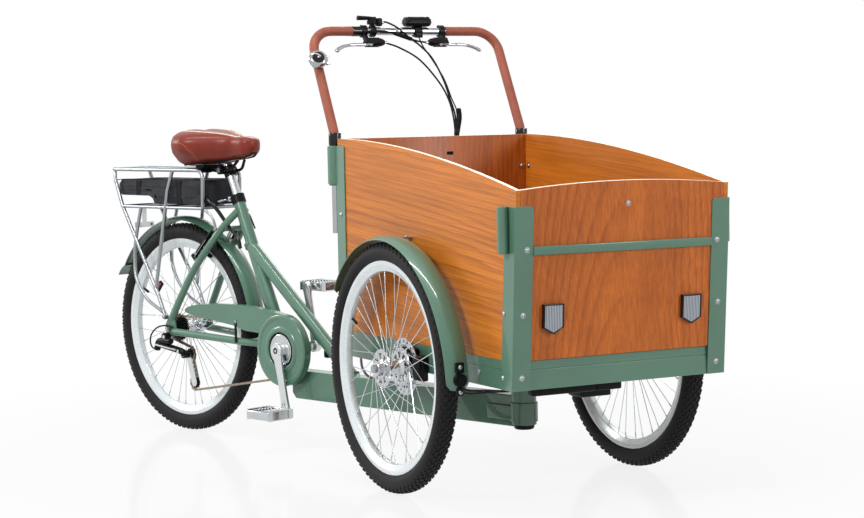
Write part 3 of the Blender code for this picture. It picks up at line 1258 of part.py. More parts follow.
def chain_guard():
    """Chain case: a flat outer face with a hole round the crank, and a rim over the chain."""
    x, z = CRANK_AXIS
    top = z + CASE_ARM_RISE
    tip = x - CASE_ARM_LENGTH
    wall = CASE_WALL
    arm_top = [(x - 0.023, top - 0.0125), (x - 0.098, top - 0.005), (x - 0.190, top), (tip + 0.070, top - 0.008),
               (tip + 0.022, top - 0.016), (tip, top - 0.029)]
    arm_low = [(tip + 0.030, top - 0.040), (tip + 0.110, top - 0.049), (x - 0.151, top - 0.072)]
    outline = arc(CRANK_AXIS, CASE_RADIUS, -205, 75, 24) + arm_top + arm_low
    outer = plate(outline, -CASE_OUTER_FACE, -CASE_OUTER_FACE + CASE_DEPTH)
    pocket_top = [(px, pz - wall) for px, pz in arm_top[:5]] + [(tip + wall, top - 0.0295)]
    pocket = arc(CRANK_AXIS, CASE_RADIUS - wall, -112, 75, 18) + pocket_top
    pocket += [(tip - 0.05, z), (x - 2 * CASE_RADIUS, z - 1.5 * CASE_RADIUS), (x - 0.055, z - 1.5 * CASE_RADIUS)]
    inside = plate(pocket, -CASE_OUTER_FACE + wall, 0.01)
    hole = rod((x, -0.12, z), (x, 0.0, z), CASE_HOLE_RADIUS, 24)
    shell = fused([outer], [inside, hole])
    stay_point = chain_stay(-1)[2].lerp(chain_stay(-1)[3], 0.12)
    high = Vector((stay_point.x, 0, top - 0.050))
    foot_y = stay_point.y - STAY_RADIUS - CLEAR
    stay = rod((high.x, -CASE_OUTER_FACE + wall / 2, high.z), (high.x, foot_y - 0.0015, high.z), 0.0045, 8)
    leg = block((high.x - 0.005, foot_y - 0.0025, stay_point.z - 0.004), (high.x + 0.005, foot_y, high.z + 0.005))
    return fused([shell, stay, leg])


def crankset():
    """Right crank arm, spider and chainring on the spindle, drawn about the crank's axis."""
    radius = CHAINRING_RADIUS - CHAIN_HEIGHT / 2 - 0.0010
    ring = turned([(0.0, -CHAIN_LINE - 0.0015), (radius, -CHAIN_LINE - 0.0015), (radius, -CHAIN_LINE + 0.0015),
                   (0.0, -CHAIN_LINE + 0.0015)], 26, closed=False)
    spindle = rod((0, -CRANK_SPREAD, 0), (0, CRANK_SPREAD - 0.008, 0), SPINDLE_RADIUS, 16)
    boss = rod((0, -CHAIN_LINE, 0), (0, -CRANK_SPREAD - 0.005, 0), 0.016, 16)
    dish = rod((0, -CHAIN_LINE - 0.001, 0), (0, -CASE_OUTER_FACE - 0.0015, 0), CASE_HOLE_RADIUS - 0.006, 20)
    return fused([ring, dish, boss, spindle, crank_arm(-1)])


def crank_arm(side):
    """One crank arm in the frame of the crank's axis: right arm down, left arm up."""
    down = Vector((math.sin(CRANK_DOWN_ANGLE), 0, -math.cos(CRANK_DOWN_ANGLE)))
    out = down if side < 0 else -down
    y = side * CRANK_SPREAD
    end = out * CRANK_LENGTH
    arm = sweep(circle(0.0135, 8, 0.50), arm_frames(out, y))
    eye = rod((end.x, y - 0.0065, end.z), (end.x, y + 0.0065, end.z), 0.0135, 12)
    hole = rod((end.x, y - 0.02, end.z), (end.x, y + 0.02, end.z), 0.0052, 10)
    return fused([arm, eye], [hole])


def arm_frames(out, y):
    """Frames down a crank arm, which narrows towards the pedal."""
    frames = []
    across = Vector((0, 1, 0)).cross(out)
    for share, width in ((0.0, 1.0), (0.35, 0.92), (0.97, 0.80)):
        basis = Matrix((across * width, Vector((0, 1, 0)) * width, out)).transposed().to_4x4()
        basis.translation = out * CRANK_LENGTH * share + Vector((0, y, 0))
        frames.append(basis)
    return frames


def left_crank():
    """Left crank arm with a socket for the spindle's end."""
    boss = rod((0, CRANK_SPREAD - 0.012, 0), (0, CRANK_SPREAD + 0.008, 0), 0.0165, 16)
    socket = rod((0, CRANK_SPREAD - 0.02, 0), (0, CRANK_SPREAD - 0.0077, 0), SPINDLE_RADIUS + CLEAR, 16)
    return fused([boss, crank_arm(1)], [socket])


def pedal(side):
    """Open-frame pedal with its axle stub in the crank's eye, drawn about the pedal's axis."""
    near = 0.013
    far = near + PEDAL_WIDTH
    half = PEDAL_LENGTH / 2
    high = PEDAL_HEIGHT / 2
    frame = block((-half, near, -high), (half, far, high), 0.004)
    holes = [block((-half + 0.009, near + 0.010, -0.03), (-0.011, far - 0.010, 0.03)),
             block((0.011, near + 0.010, -0.03), (half - 0.009, far - 0.010, 0.03))]
    stub = tube([(0, -0.006, 0), (0, near + 0.004, 0)], 0.0045, 10)
    return handed(side, fused([frame, stub], holes))


def cassette():
    """Sprocket cluster beside the rear hub."""
    bore = AXLE_RADIUS + RUNNING
    working = SPROCKET_RADIUS - CHAIN_HEIGHT / 2 - 0.001
    line = CHAIN_LINE
    profile = [(bore, -0.0640), (0.014, -0.0640), (0.014, -line - 0.006), (0.0235, -line - 0.006), (0.0235, -line - 0.0048),
               (0.018, -line - 0.0048), (0.018, -line - 0.0015), (working, -line - 0.0015), (working, -line + 0.0015),
               (0.020, -line + 0.0015), (0.020, -line + 0.0048), (0.036, -line + 0.0048), (0.036, -line + 0.007),
               (0.022, -line + 0.007), (0.022, -line + 0.0115), (0.042, -line + 0.0115), (0.042, -line + 0.0140),
               (0.022, -line + 0.0140), (0.022, -0.0288), (bore, -0.0288)]
    return turned(profile, 12)


def jockey():
    """Jockey wheel, drawn about its own axis."""
    radius = JOCKEY_RADIUS - CHAIN_HEIGHT / 2 - 0.0008
    return turned([(0.0036, -0.0025), (radius, -0.0022), (radius, 0.0022), (0.0036, 0.0025)], 12)


def cage_outline(radius):
    """Outline round both jockey wheels' axes."""
    low = Vector(LOWER_JOCKEY)
    high = Vector(UPPER_JOCKEY)
    lean = math.degrees(math.atan2(high.y - low.y, high.x - low.x))
    return arc(high, radius, lean - 90, lean + 90, 5) + arc(low, radius, lean + 90, lean + 270, 5)


def derailleur():
    """Rear derailleur: its body under the dropout and the cage round the jockey wheels."""
    y = -CHAIN_LINE
    parts = [plate(cage_outline(0.010), y - 0.0080, y - 0.0060), plate(cage_outline(0.009), y + 0.0060, y + 0.0080)]
    for x, z in (UPPER_JOCKEY, LOWER_JOCKEY):
        parts.append(rod((x, y - 0.0095, z), (x, y + 0.0095, z), 0.0030, 8))
    hanger = Vector((-REAR_REACH - 0.004, -DROPOUT_SPREAD - DROPOUT_THICKNESS / 2 - CLEAR, WHEEL_RADIUS - 0.024))
    high_x, high_z = UPPER_JOCKEY
    parts.append(tube([hanger + Vector((0.026, -0.0125, -0.012)), hanger + Vector((-0.030, -0.0125, -0.016)),
                       hanger + Vector((-0.040, -0.0125, -0.040))], 0.0108, 8))
    parts.append(tube([hanger + Vector((-0.024, -0.0125, -0.024)), (high_x - 0.010, y - 0.026, high_z + 0.010),
                       (high_x, y - 0.020, high_z)], 0.0115, 8))
    parts.append(rod((high_x, y - 0.026, high_z), (high_x, y - 0.007, high_z), 0.011, 10))
    parts.append(rod(hanger, hanger + Vector((0, -0.018, 0)), 0.0115, 10))
    return fused(parts)


def brake_spot(side):
    """Point on a seat stay where its brake boss stands."""
    high, low = seat_stay(side)[1:3]
    hub = Vector((-REAR_REACH, 0, WHEEL_RADIUS))
    share = 0.0
    while (Vector((0, 1, 0)).cross(low.lerp(high, share) - hub)).length < PAD_RADIUS - PAD_RISE:
        share += 0.01
    return low.lerp(high, share)


def rim_brake_frame(side):
    """Frame at a rim brake's pivot: X is the pivot's axis, Z runs up along the stay."""
    high, low = seat_stay(side)[1:3]
    along = Vector((high.x - low.x, 0, high.z - low.z)).normalized()
    ahead = Vector((along.z, 0, -along.x))
    frame = Matrix((ahead, along.cross(ahead), along)).transposed().to_4x4()
    spot = brake_spot(side)
    frame.translation = Vector((spot.x, side * BRAKE_SPREAD, spot.z)) - ahead * (STAY_RADIUS + 0.0095)
    return frame


def rim_brake_arm(side):
    """Linear-pull brake arm with its pad, drawn for the left about its pivot."""
    arm = tube([(0, 0, 0), (-0.001, -0.003, 0.045), (-0.001, -0.012, 0.104)], 0.0075, 8, 0.75)
    boss = tube([(-0.009, 0, 0), (BRAKE_BOSS_FACE, 0, 0)], 0.0085, 12)
    hub = rim_brake_frame(1).inverted() @ Vector((-REAR_REACH, 0, WHEEL_RADIUS))
    rise = hub.z + math.sqrt(PAD_RADIUS ** 2 - hub.x ** 2)
    tilt = Matrix.Rotation(math.atan2(-hub.x, rise - hub.z), 4, "Y")
    face = RIM_WIDTH / 2 + PAD_GAP - BRAKE_SPREAD
    half = PAD_HEIGHT / 2
    pad = placed(block((-0.026, face, -half), (0.026, face + 0.011, half), 0.002), shift(0, 0, rise) @ tilt)
    post = tube([(0.0, face + 0.009, rise), (0.0, 0.003, rise)], 0.0042, 8)
    return handed(side, fused([arm, boss, pad, post]))


def build_front(front):
    """Everything that steers, apart from the wheels."""
    piece("bottom_frame", bottom_frame(), "green", front)
    piece("floor_panel", floor_panel(), "cherry", front)
    piece("front_panel", front_panel(), "cherry", front)
    piece("rear_panel", rear_panel(), "cherry", front)
    piece("front_bar", front_bar(), "green", front)
    piece("handlebar", handlebar(), "chrome", front)
    piece("display_unit", display(), "black", front)
    piece("shifter_body", shifter_body(), "black", front)
    piece("bell", bell(), "chrome", front)
    piece("cable_harness", cable_harness(), "black", front)
    piece("axle_carrier", axle_carrier(), "black", front)
    for side, word in ((-1, "right"), (1, "left")):
        piece(word + "_panel", handed(side, side_panel()), "cherry", front)
        piece("front_post_" + word, handed(side, front_post()), "green", front)
        piece("rear_post_" + word, handed(side, rear_post()), "green", front)
        piece("reflector_" + word, reflector(side * REFLECTOR_SPREAD), "lens", front)
        piece("grip_wrap_" + word, wrap(side), "tan", front)
        piece("brake_caliper_" + word, handed(side, brake_caliper()), "black", front)
        piece("front_fender_" + word, handed(side, front_fender()), "green", front)


def build_controls(front):
    """Levers on the handlebar, each on its pivot."""
    for side, word, y in ((-1, "right", RIGHT_LEVER_Y), (1, "left", LEFT_LEVER_Y)):
        piece("brake_lever_mount_" + word, lever_mount(side, y), "black", front)
        pivot = axis_point("brake_lever_axis_" + word, front, (0, 0, 0))
        pivot.matrix_local = lever_frame(y)
        piece("brake_lever_" + word, brake_lever(side), "silver", pivot)
    pivot = axis_point("shifter_axis", front, (BAR_TOP_X, SHIFTER_Y, BAR_TOP + 0.029 + CLEAR))
    piece("shifter_lever", shifter_lever(), "black", pivot)
    pivot = axis_point("bell_lever_axis", front, (0, 0, 0))
    pivot.matrix_local = bell_frame() @ shift(*BELL_PIN)
    piece("bell_lever", bell_lever(), "silver", pivot)


def build_rear(rear):
    """The rear frame and what is fixed to it."""
    piece("rear_frame", rear_frame(), "green", rear)
    piece("rear_fender", rear_fender(), "green", rear)
    piece("rack", rack(), "silver", rear)
    piece("battery_pack", battery_pack(), "black", rear)
    piece("chain_guard", chain_guard(), "green", rear)
    piece("chain", chain(), "bronze", rear)
    piece("rear_derailleur", derailleur(), "black", rear)
    post = axis_point("seatpost_axis", rear, (0, 0, 0))
    piece("seatpost", seatpost(), "silver", post)
    piece("saddle", saddle(), "seat_brown", post)
    piece("saddle_base", saddle_base(), "black", post)
    pin = axis_point("quick_release_axis", rear, quick_release_pin())
    piece("quick_release_lever", quick_release(), "silver", pin)
    for side, word in ((-1, "right"), (1, "left")):
        pivot = axis_point("rim_brake_axis_" + word, rear, (0, 0, 0))
        pivot.matrix_local = rim_brake_frame(side)
        piece("rim_brake_arm_" + word, rim_brake_arm(side), "black", pivot)


def build_drive(rear):
    """Cranks, pedals, sprockets and jockey wheels, each on its axis."""
    crank_x, crank_z = CRANK_AXIS
    crank = axis_point("crank_axis", rear, (crank_x, 0, crank_z))
    piece("crankset", crankset(), "silver", crank)
    piece("left_crank", left_crank(), "silver", crank)
    down = Vector((math.sin(CRANK_DOWN_ANGLE), 0, -math.cos(CRANK_DOWN_ANGLE))) * CRANK_LENGTH
    for side, word in ((-1, "right"), (1, "left")):
        spot = down if side < 0 else -down
        eye = axis_point("pedal_axis_" + word, crank, (spot.x, side * CRANK_SPREAD, spot.z))
        piece("pedal_" + word, pedal(side), "silver", eye)
    hub = axis_point("cassette_axis", rear, (-REAR_REACH, 0, WHEEL_RADIUS))
    piece("cassette", cassette(), "black", hub)
    for word, (x, z) in (("upper", UPPER_JOCKEY), ("lower", LOWER_JOCKEY)):
        centre = axis_point(word + "_jockey_axis", rear, (x, -CHAIN_LINE, z))
        piece(word + "_jockey_wheel", jockey(), "black", centre)


def stand_on_middle(root):
    """Put the world's origin at the middle of the footprint, on the ground."""
    bpy.context.view_layer.update()
    corners = []
    for item in bpy.context.scene.objects:
        if item.type == "MESH":
            corners += [item.matrix_world @ vert.co for vert in item.data.vertices]
    middle_x = (min(c.x for c in corners) + max(c.x for c in corners)) / 2
    middle_y = (min(c.y for c in corners) + max(c.y for c in corners)) / 2
    root.location = (-middle_x, -middle_y, 0)
    bpy.context.view_layer.update()


def main():
    """Build the whole tricycle."""
    clear_scene()
    root = axis_point("tricycle", None, (0, 0, 0))
    front = axis_point("steering_axis", root, (0, 0, 0))
    rear = axis_point("rear_frame_axis", root, (0, 0, 0), STEER_ANGLE)
    build_front(front)
    build_controls(front)
    for side, word in ((-1, "right"), (1, "left")):
        axis = axis_point("front_wheel_axis_" + word, front, (-AXLE_SETBACK, side * TRACK / 2, WHEEL_RADIUS))
        wheel("front_" + word, axis, handed(side, front_hub()))
    build_rear(rear)
    axis = axis_point("rear_wheel_axis", rear, (-REAR_REACH, 0, WHEEL_RADIUS))
    wheel("rear", axis, rear_hub())
    build_drive(rear)
    stand_on_middle(root)


main()
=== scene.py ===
"""Front-box cargo tricycle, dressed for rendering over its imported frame."""
import json
import math

import bmesh
import bpy
from bpy.props import FloatProperty, FloatVectorProperty, IntProperty, PointerProperty
from mathutils import Matrix, Vector


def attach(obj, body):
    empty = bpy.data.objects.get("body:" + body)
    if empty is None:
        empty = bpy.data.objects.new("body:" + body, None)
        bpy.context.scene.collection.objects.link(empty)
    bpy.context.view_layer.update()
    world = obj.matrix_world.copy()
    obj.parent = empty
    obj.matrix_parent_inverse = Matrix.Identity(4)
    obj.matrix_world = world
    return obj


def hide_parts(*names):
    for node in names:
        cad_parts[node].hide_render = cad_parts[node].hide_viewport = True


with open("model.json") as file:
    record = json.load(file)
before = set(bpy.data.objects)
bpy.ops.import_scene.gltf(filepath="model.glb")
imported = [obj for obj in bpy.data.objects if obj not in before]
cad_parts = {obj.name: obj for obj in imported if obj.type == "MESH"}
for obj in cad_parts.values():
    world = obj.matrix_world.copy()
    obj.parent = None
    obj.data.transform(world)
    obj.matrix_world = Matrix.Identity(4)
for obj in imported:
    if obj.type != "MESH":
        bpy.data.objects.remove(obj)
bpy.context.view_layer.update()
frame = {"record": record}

bl_info = {
    "name": "Cargo Tricycle",
    "version": (1, 0, 0),
    "blender": (4, 5, 0),
    "location": "View3D > Sidebar > Tricycle",
    "description": "Builds the detailed pieces of a front-box cargo tricycle over its frame",
    "category": "Add Mesh",
}


def joint(name):
    """A joint of the record by its name."""
    return next(item for item in frame["record"]["behaviour"]["joints"] if item["name"] == name)


# Frames that the pieces are drawn in: the box and front wheels, and the turned rear frame

PIVOT = Vector(joint("steering")["pos_m"])
ACROSS = joint("crank_spin")["axis"]
FRONT = Matrix.Translation((PIVOT.x, PIVOT.y, 0))
REAR = FRONT @ Matrix.Rotation(math.atan2(-ACROSS[0], ACROSS[1]), 4, "Z")

# Wheels
WHEEL_RADIUS = 0.305
TYRE_WIDTH = 0.050
RIM_RADIUS = 0.260
RIM_FLOOR = 0.2335
RIM_HALF_WIDTH = 0.0160
SPOKES = 36
SPOKE_TURN = math.radians(48)
TRACK = 0.688
AXLE_SETBACK = 0.043
REAR_REACH = 1.332
REAR_HUB = Vector((-REAR_REACH, 0, WHEEL_RADIUS))
AXLE_BORE = 0.0069
FRONT_FLANGE_RADIUS = 0.047
FRONT_FLANGE_OFFSET = 0.026
REAR_FLANGE_RADIUS = 0.036
REAR_FLANGE_OFFSET = 0.024
DISC_RADIUS = 0.070
DISC_OFFSET = 0.035

# Cargo box
BOX_HALF_WIDTH = 0.289
BOX_REAR = -0.448
BOX_FRONT_FOOT = 0.439
BOX_LEAN = math.atan2(0.028, 0.413)
RAIL_BOTTOM = 0.295
RAIL_TOP = 0.361
RAIL_WIDTH = 0.030
MEMBER_HEIGHT = 0.030
GROOVE_LOW = 0.339
PLY = 0.012
ANGLE_WALL = 0.003
ANGLE_LEG = 0.048
POST_TIP_RADIUS = 0.008
FRONT_POST_TOP = 0.708
REAR_POST_TOP = 0.837
PANEL_FRONT_TOP = 0.744
PANEL_REAR_TOP = 0.8555
PANEL_ARCH = 0.0135
PANEL_OUTER = 0.2857
PANEL_INNER = 0.2737
REFLECTOR_SPREAD = 0.187
REFLECTOR_RISE = 0.124

# Handlebar
BAR_RADIUS = 0.0110
CLAMP_BORE = BAR_RADIUS + 0.0002
BAR_SPREAD = 0.281
BAR_X = -0.4675
BAR_FOOT = 0.610
BAR_KNEE = 0.862
BAR_TOP = 1.140
BAR_LEAN = math.radians(27)
BAR_CORNER = 0.062
BAR_TOP_X = BAR_X - math.tan(BAR_LEAN) * (BAR_TOP - BAR_KNEE)
WRAP_RADIUS = 0.0127
RIGHT_WRAP_END = -0.158
LEFT_WRAP_END = 0.124
LEVER_REACH = 0.040
LEVER_LENGTH = 0.112
RIGHT_LEVER_Y = -0.112
LEFT_LEVER_Y = 0.101
DISPLAY_Y = 0.040
SHIFTER_Y = -0.096
BELL_HEIGHT = 0.086
BELL_STANDOFF = 0.0185
BELL_PIN = (-0.012, -0.0265, -0.0026)
CONDUIT_Y = 0.078
RIB_STEP = 0.0012
CABLE_EXIT = 0.0403

# Steering head, beam and rear frame
HEAD_TOP = 0.2885
HEAD_FOOT = 0.130
BEAM_BOTTOM = 0.137
BEAM_TOP = 0.2155
BEAM_REAR = 0.487 - REAR_REACH
MAIN_TUBE_TOP = 0.560
MAIN_TUBE_FOOT = 0.720 - REAR_REACH
MAIN_TUBE_RADIUS = 0.0180
BUMPER_RADIUS = 0.0115
SEAT_TUBE_RADIUS = 0.0170
SEAT_CLAMP = (0.2405 - REAR_REACH, 0.692)
SEAT_TUBE_SLOPE = math.atan2(0.1428, 0.3182)
STAY_RADIUS = 0.0105
DROPOUT_SPREAD = 0.068
CHAIN_STAY_SPREAD = 0.027
CRANK_AXIS = (0.481 - REAR_REACH, 0.2725)

# Drive and rim brake
CRANK_LENGTH = 0.168
CRANK_SPREAD = 0.072
CRANK_TURN = math.radians(11.3)
CRANK_DOWN = Vector((math.sin(CRANK_TURN), 0, -math.cos(CRANK_TURN)))
CHAIN_LINE = 0.047
LINK_PAIR = 0.0254
CHAINRING_TEETH = 38
CHAINRING_RADIUS = 0.077
SPROCKET_RADIUS = 0.0345
JOCKEY_RADIUS = 0.0210
UPPER_JOCKEY = (0.064 - REAR_REACH, 0.232)
LOWER_JOCKEY = (0.089 - REAR_REACH, 0.150)
CASE_RADIUS = 0.100
CASE_HOLE_RADIUS = 0.050
CASE_OUTER_FACE = 0.0585
CASE_DEPTH = 0.022
CASE_ARM_LENGTH = 0.424
CASE_ARM_RISE = 0.1165
BRAKE_SPREAD = 0.0565
PAD_RADIUS = 0.2540
PAD_CLEARANCE = 0.0026
BRAKE_STANDOFF = 0.0095

# Fenders, seat, rack and battery
FENDER_WIDTH = 0.060
FENDER_CROWN = 0.010
FRONT_FENDER_RADIUS = 0.321
FRONT_FENDER_SPAN = (-3, 148)
FENDER_FLARE = 0.021
REAR_FENDER_RADIUS = 0.326
REAR_FENDER_SPAN = (8, 150)
SEATPOST_RADIUS = 0.0135
SEATPOST_TOP = 0.782
SADDLE_LENGTH = 0.264
SADDLE_HALF_WIDTH = 0.120
SADDLE_NOSE = 0.327 - REAR_REACH
SADDLE_TOP = 0.887
SADDLE_SKIRT = 0.774
RACK_TOP = 0.768
RACK_TUBE = 0.0055
RACK_HALF_WIDTH = 0.068
RACK_REAR = -0.266 - REAR_REACH
RACK_FRONT = 0.167 - REAR_REACH
TRAY_HEIGHT = 0.664
TRAY_REAR = RACK_REAR + 0.053
BATTERY_REAR = RACK_REAR + 0.014
BATTERY_FRONT = RACK_FRONT - 0.001
BATTERY_HALF_WIDTH = 0.056
BATTERY_TOP = 0.7385

# Turns that several shapes share: Y to Z, and an outline's axes to Y and Z
UPRIGHT = Matrix.Rotation(math.pi / 2, 4, "X")
CROSSWISE = Matrix(((0, 0, 1, 0), (1, 0, 0, 0), (0, 1, 0, 0), (0, 0, 0, 1)))

# Clearance between neighbouring solids, and how far the rails and boards sit inside the posts' corners
GAP = 0.0003
INSET = ANGLE_WALL + GAP
RACK_TRAY = TRAY_HEIGHT - RACK_TUBE - GAP


def linear(code):
    """Linear colour of an sRGB hex code."""
    parts = [int(code[i:i + 2], 16) / 255 for i in (0, 2, 4)]
    return tuple(v / 12.92 if v <= 0.04045 else ((v + 0.055) / 1.055) ** 2.4 for v in parts) + (1.0,)


def colour(label, words, code):
    """Colour property with its default."""
    return FloatVectorProperty(name=label, description=words, subtype="COLOR", size=4, min=0.0, max=1.0,
                               default=linear(code))


def length(label, words, value, least, most):
    """Length property with its default and limits."""
    return FloatProperty(name=label, description=words, default=value, min=least, max=most, unit="LENGTH")


class TricycleColours(bpy.types.PropertyGroup):
    """Colours of the tricycle's finishes."""
    paint: colour("Paint", "Powder coat of the frame, posts and fenders", "547b66")
    wood: colour("Wood", "Varnished ply of the box, between its darker lines", "c46a24")
    wood_line: colour("Wood line", "Darker growth lines of the ply's face", "9a481b")
    side_wood: colour("Side wood", "Ply of the two side panels", "cf7c26")
    ply_edge: colour("Ply edge", "Cut edges of the panels", "e9dcc6")
    wrap: colour("Wrap", "Leather round the handlebar", "985442")
    saddle: colour("Saddle", "Leather of the saddle", "7d2a1a")
    rim: colour("Rim", "Pale coat of the wheel rims", "dfe5e6")
    cover: colour("Cover", "Woven cover of the battery", "22232a")


class TricycleSizes(bpy.types.PropertyGroup):
    """Sizes of the tricycle's fine detail."""
    tread_depth: length("Tread depth", "Height of the tyre's blocks", 0.0028, 0.0005, 0.004)
    tread_count: IntProperty(name="Tread pitches", description="Rows of tyre blocks round a wheel",
                             default=92, min=24, max=160)
    spoke_radius: length("Spoke radius", "Half the thickness of a spoke", 0.0011, 0.0006, 0.002)
    edge: length("Edge radius", "Rounding of sheet and bar edges", 0.0012, 0.0002, 0.003)
    grain: length("Grain spacing", "Distance between the ply's growth lines", 0.016, 0.004, 0.05)
    stitch: length("Stitch length", "Length of a stitch on the saddle", 0.005, 0.002, 0.01)


# Shapes

def placed(bm, matrix):
    """Move everything in a bmesh by a matrix."""
    bmesh.ops.transform(bm, matrix=matrix, verts=bm.verts)
    return bm


def shift(x, y, z):
    """Matrix of a plain move."""
    return Matrix.Translation((x, y, z))


def sideways(side):
    """Turn about Z that points a bolt's axis to the left (1), to the right (-1) or back (2)."""
    return Matrix.Rotation(side * math.pi / 2, 4, "Z")


def framed(x_axis, y_axis, z_axis, origin):
    """Frame with its three axes and its origin."""
    frame_here = Matrix((x_axis, y_axis, z_axis)).transposed().to_4x4()
    frame_here.translation = origin
    return frame_here


def extruded(bm, edges):
    """Extrude edges in place, and give their new verts and edges."""
    made = bmesh.ops.extrude_edge_only(bm, edges=edges)["geom"]
    verts = [item for item in made if isinstance(item, bmesh.types.BMVert)]
    held = set(verts)
    return verts, [item for item in made if isinstance(item, bmesh.types.BMEdge)
                   and held.issuperset(item.verts)]


def sweep(outline, frames):
    """Flat outline, in each frame's XY plane, drawn through the frames in turn."""
    bm = bmesh.new()
    verts = [bm.verts.new((u, v, 0.0)) for u, v in outline]
    bm.faces.new(verts)
    bmesh.ops.transform(bm, matrix=frames[0], verts=verts)
    edges = list(bm.edges)
    for before, after in zip(frames, frames[1:]):
        rim, edges = extruded(bm, edges)
        bmesh.ops.transform(bm, matrix=after @ before.inverted(), verts=rim)
    bmesh.ops.holes_fill(bm, edges=edges, sides=0)
    bmesh.ops.recalc_face_normals(bm, faces=bm.faces)
    return bm


def circle(radius, sides, flat=1.0):
    """Outline of a circle, or an ellipse flattened along its second axis."""
    turns = [2 * math.pi * (i + 0.5) / sides for i in range(sides)]
    return [(radius * math.cos(a), radius * flat * math.sin(a)) for a in turns]


def path_frames(points, scales=None):
    """Frames along a path, each ring square to the path and mitred at its bends."""
    points = [Vector(point) for point in points]
    scales = scales or [1.0] * len(points)
    steps = [(b - a).normalized() for a, b in zip(points, points[1:])]
    tangents = [steps[0]] + [(a + b).normalized() for a, b in zip(steps, steps[1:])] + [steps[-1]]
    side = tangents[0].orthogonal().normalized()
    if abs(tangents[0].y) < 0.9:
        side = Vector((0, 1, 0))
    frames = []
    for point, tangent, scale in zip(points, tangents, scales):
        side = (side - tangent * side.dot(tangent)).normalized()
        frames.append(framed(side * scale, tangent.cross(side) * scale, tangent, point))
    return frames


def tube(points, radius, sides, flat=1.0, scales=None):
    """Bar along a path, round or flattened, its thickness scaled point by point."""
    return sweep(circle(radius, sides, flat), path_frames(points, scales))


def rod(start, end, radius, sides=24):
    """Straight round bar between two points."""
    return tube([start, end], radius, sides)


def tapered(path, start, end):
    """Scales that run evenly from one end of a path to the other."""
    return [start + (end - start) * i / (len(path) - 1) for i in range(len(path))]


def spaced(points, step):
    """A path with further points between its own, about a step apart."""
    path = [points[0]]
    for before, after in zip(points, points[1:]):
        count = max(1, round((after - before).length / step))
        path += [before.lerp(after, (k + 1) / count) for k in range(count)]
    return path


def clamped(share):
    """A share held between 0 and 1."""
    return max(0.0, min(1.0, share))


def eased(share):
    """A share from 0 to 1 with a soft start and end."""
    return share * share * (3 - 2 * share)


def flowing(points, steps):
    """Smooth curve through a route's points."""
    points = [Vector(point) for point in points]
    padded = [points[0] * 2 - points[1]] + points + [points[-1] * 2 - points[-2]]
    path = []
    for a, b, c, d in zip(padded, padded[1:], padded[2:], padded[3:]):
        for k in range(steps):
            t = k / steps
            path.append(0.5 * (2 * b + (c - a) * t + (2 * a - 5 * b + 4 * c - d) * t * t
                               + (3 * b - 3 * c + d - a) * t ** 3))
    return path + [points[-1]]


def curved(outline, steps):
    """Smooth flat outline through (x, y) points."""
    return [(point.x, point.y) for point in flowing([(x, y, 0) for x, y in outline], steps)]


def rounded(points, radius, steps=10):
    """A path with its inner corners turned into arcs."""
    points = [Vector(point) for point in points]
    path = [points[0]]
    for before, corner, after in zip(points, points[1:], points[2:]):
        a = (before - corner).normalized()
        b = (after - corner).normalized()
        half = a.angle(b) / 2
        reach = radius / math.tan(half)
        middle = corner + (a + b).normalized() * (radius / math.sin(half))
        start = corner + a * reach - middle
        axis = start.cross(corner + b * reach - middle).normalized()
        turn = math.pi - 2 * half
        path += [middle + Matrix.Rotation(turn * i / steps, 3, axis) @ start for i in range(steps + 1)]
    return path + [points[-1]]


def turned(profile, steps, closed=True):
    """Solid of revolution about Y from (radius, y) points; an open profile starts and ends on Y."""
    bm = bmesh.new()
    verts = [bm.verts.new((radius, y, 0.0)) for radius, y in profile]
    pairs = list(zip(verts, verts[1:]))
    if closed:
        pairs.append((verts[-1], verts[0]))
    edges = [bm.edges.new(pair) for pair in pairs]
    bmesh.ops.spin(bm, geom=verts + edges, cent=(0, 0, 0), axis=(0, 1, 0), dvec=(0, 0, 0),
                   angle=2 * math.pi, steps=steps, use_merge=True)
    bmesh.ops.remove_doubles(bm, verts=bm.verts, dist=0.000001)
    bmesh.ops.recalc_face_normals(bm, faces=bm.faces)
    return bm


def softened(bore, radius, low, high, soft):
    """Profile of a ring between two depths, the rims of its outer face softened."""
    return [(bore, low), (radius - soft, low), (radius, low + soft), (radius, high - soft),
            (radius - soft, high), (bore, high)]


def block(low, high, bevel, segments=3):
    """Box between two corners, its edges rounded by the bevel."""
    bm = bmesh.new()
    bmesh.ops.create_cube(bm, size=1.0)
    low = Vector(low)
    high = Vector(high)
    placed(bm, Matrix.Translation((low + high) / 2) @ Matrix.Diagonal((*(high - low), 1.0)))
    bmesh.ops.bevel(bm, geom=bm.edges, offset=bevel, segments=segments, profile=0.5,
                    affect="EDGES", material=-1)
    return bm


def plate(outline, low_y, high_y):
    """Flat plate from an outline of (x, z) points, between two depths along Y."""
    return sweep(outline, [shift(0, y, 0) @ UPRIGHT for y in (low_y, high_y)])


def arc(centre, radius, start, end, steps):
    """Points of an arc in degrees, in a flat outline."""
    turns = [math.radians(start + (end - start) * i / steps) for i in range(steps + 1)]
    return [(centre[0] + radius * math.cos(a), centre[1] + radius * math.sin(a)) for a in turns]


def ringed(bm, count):
    """Copies of what a bmesh holds, set evenly round the Y axis."""
    geom = bm.verts[:] + bm.edges[:] + bm.faces[:]
    bmesh.ops.spin(bm, geom=geom, cent=(0, 0, 0), axis=(0, 1, 0), dvec=(0, 0, 0),
                   angle=2 * math.pi * (count - 1) / count, steps=count - 1, use_duplicate=True)
    return bm


def several(shapes):
    """Shapes kept together in one piece."""
    bm = bmesh.new()
    for shape in shapes:
        mesh = bpy.data.meshes.new("part")
        shape.to_mesh(mesh)
        shape.free()
        bm.from_mesh(mesh)
        bpy.data.meshes.remove(mesh)
    return bm


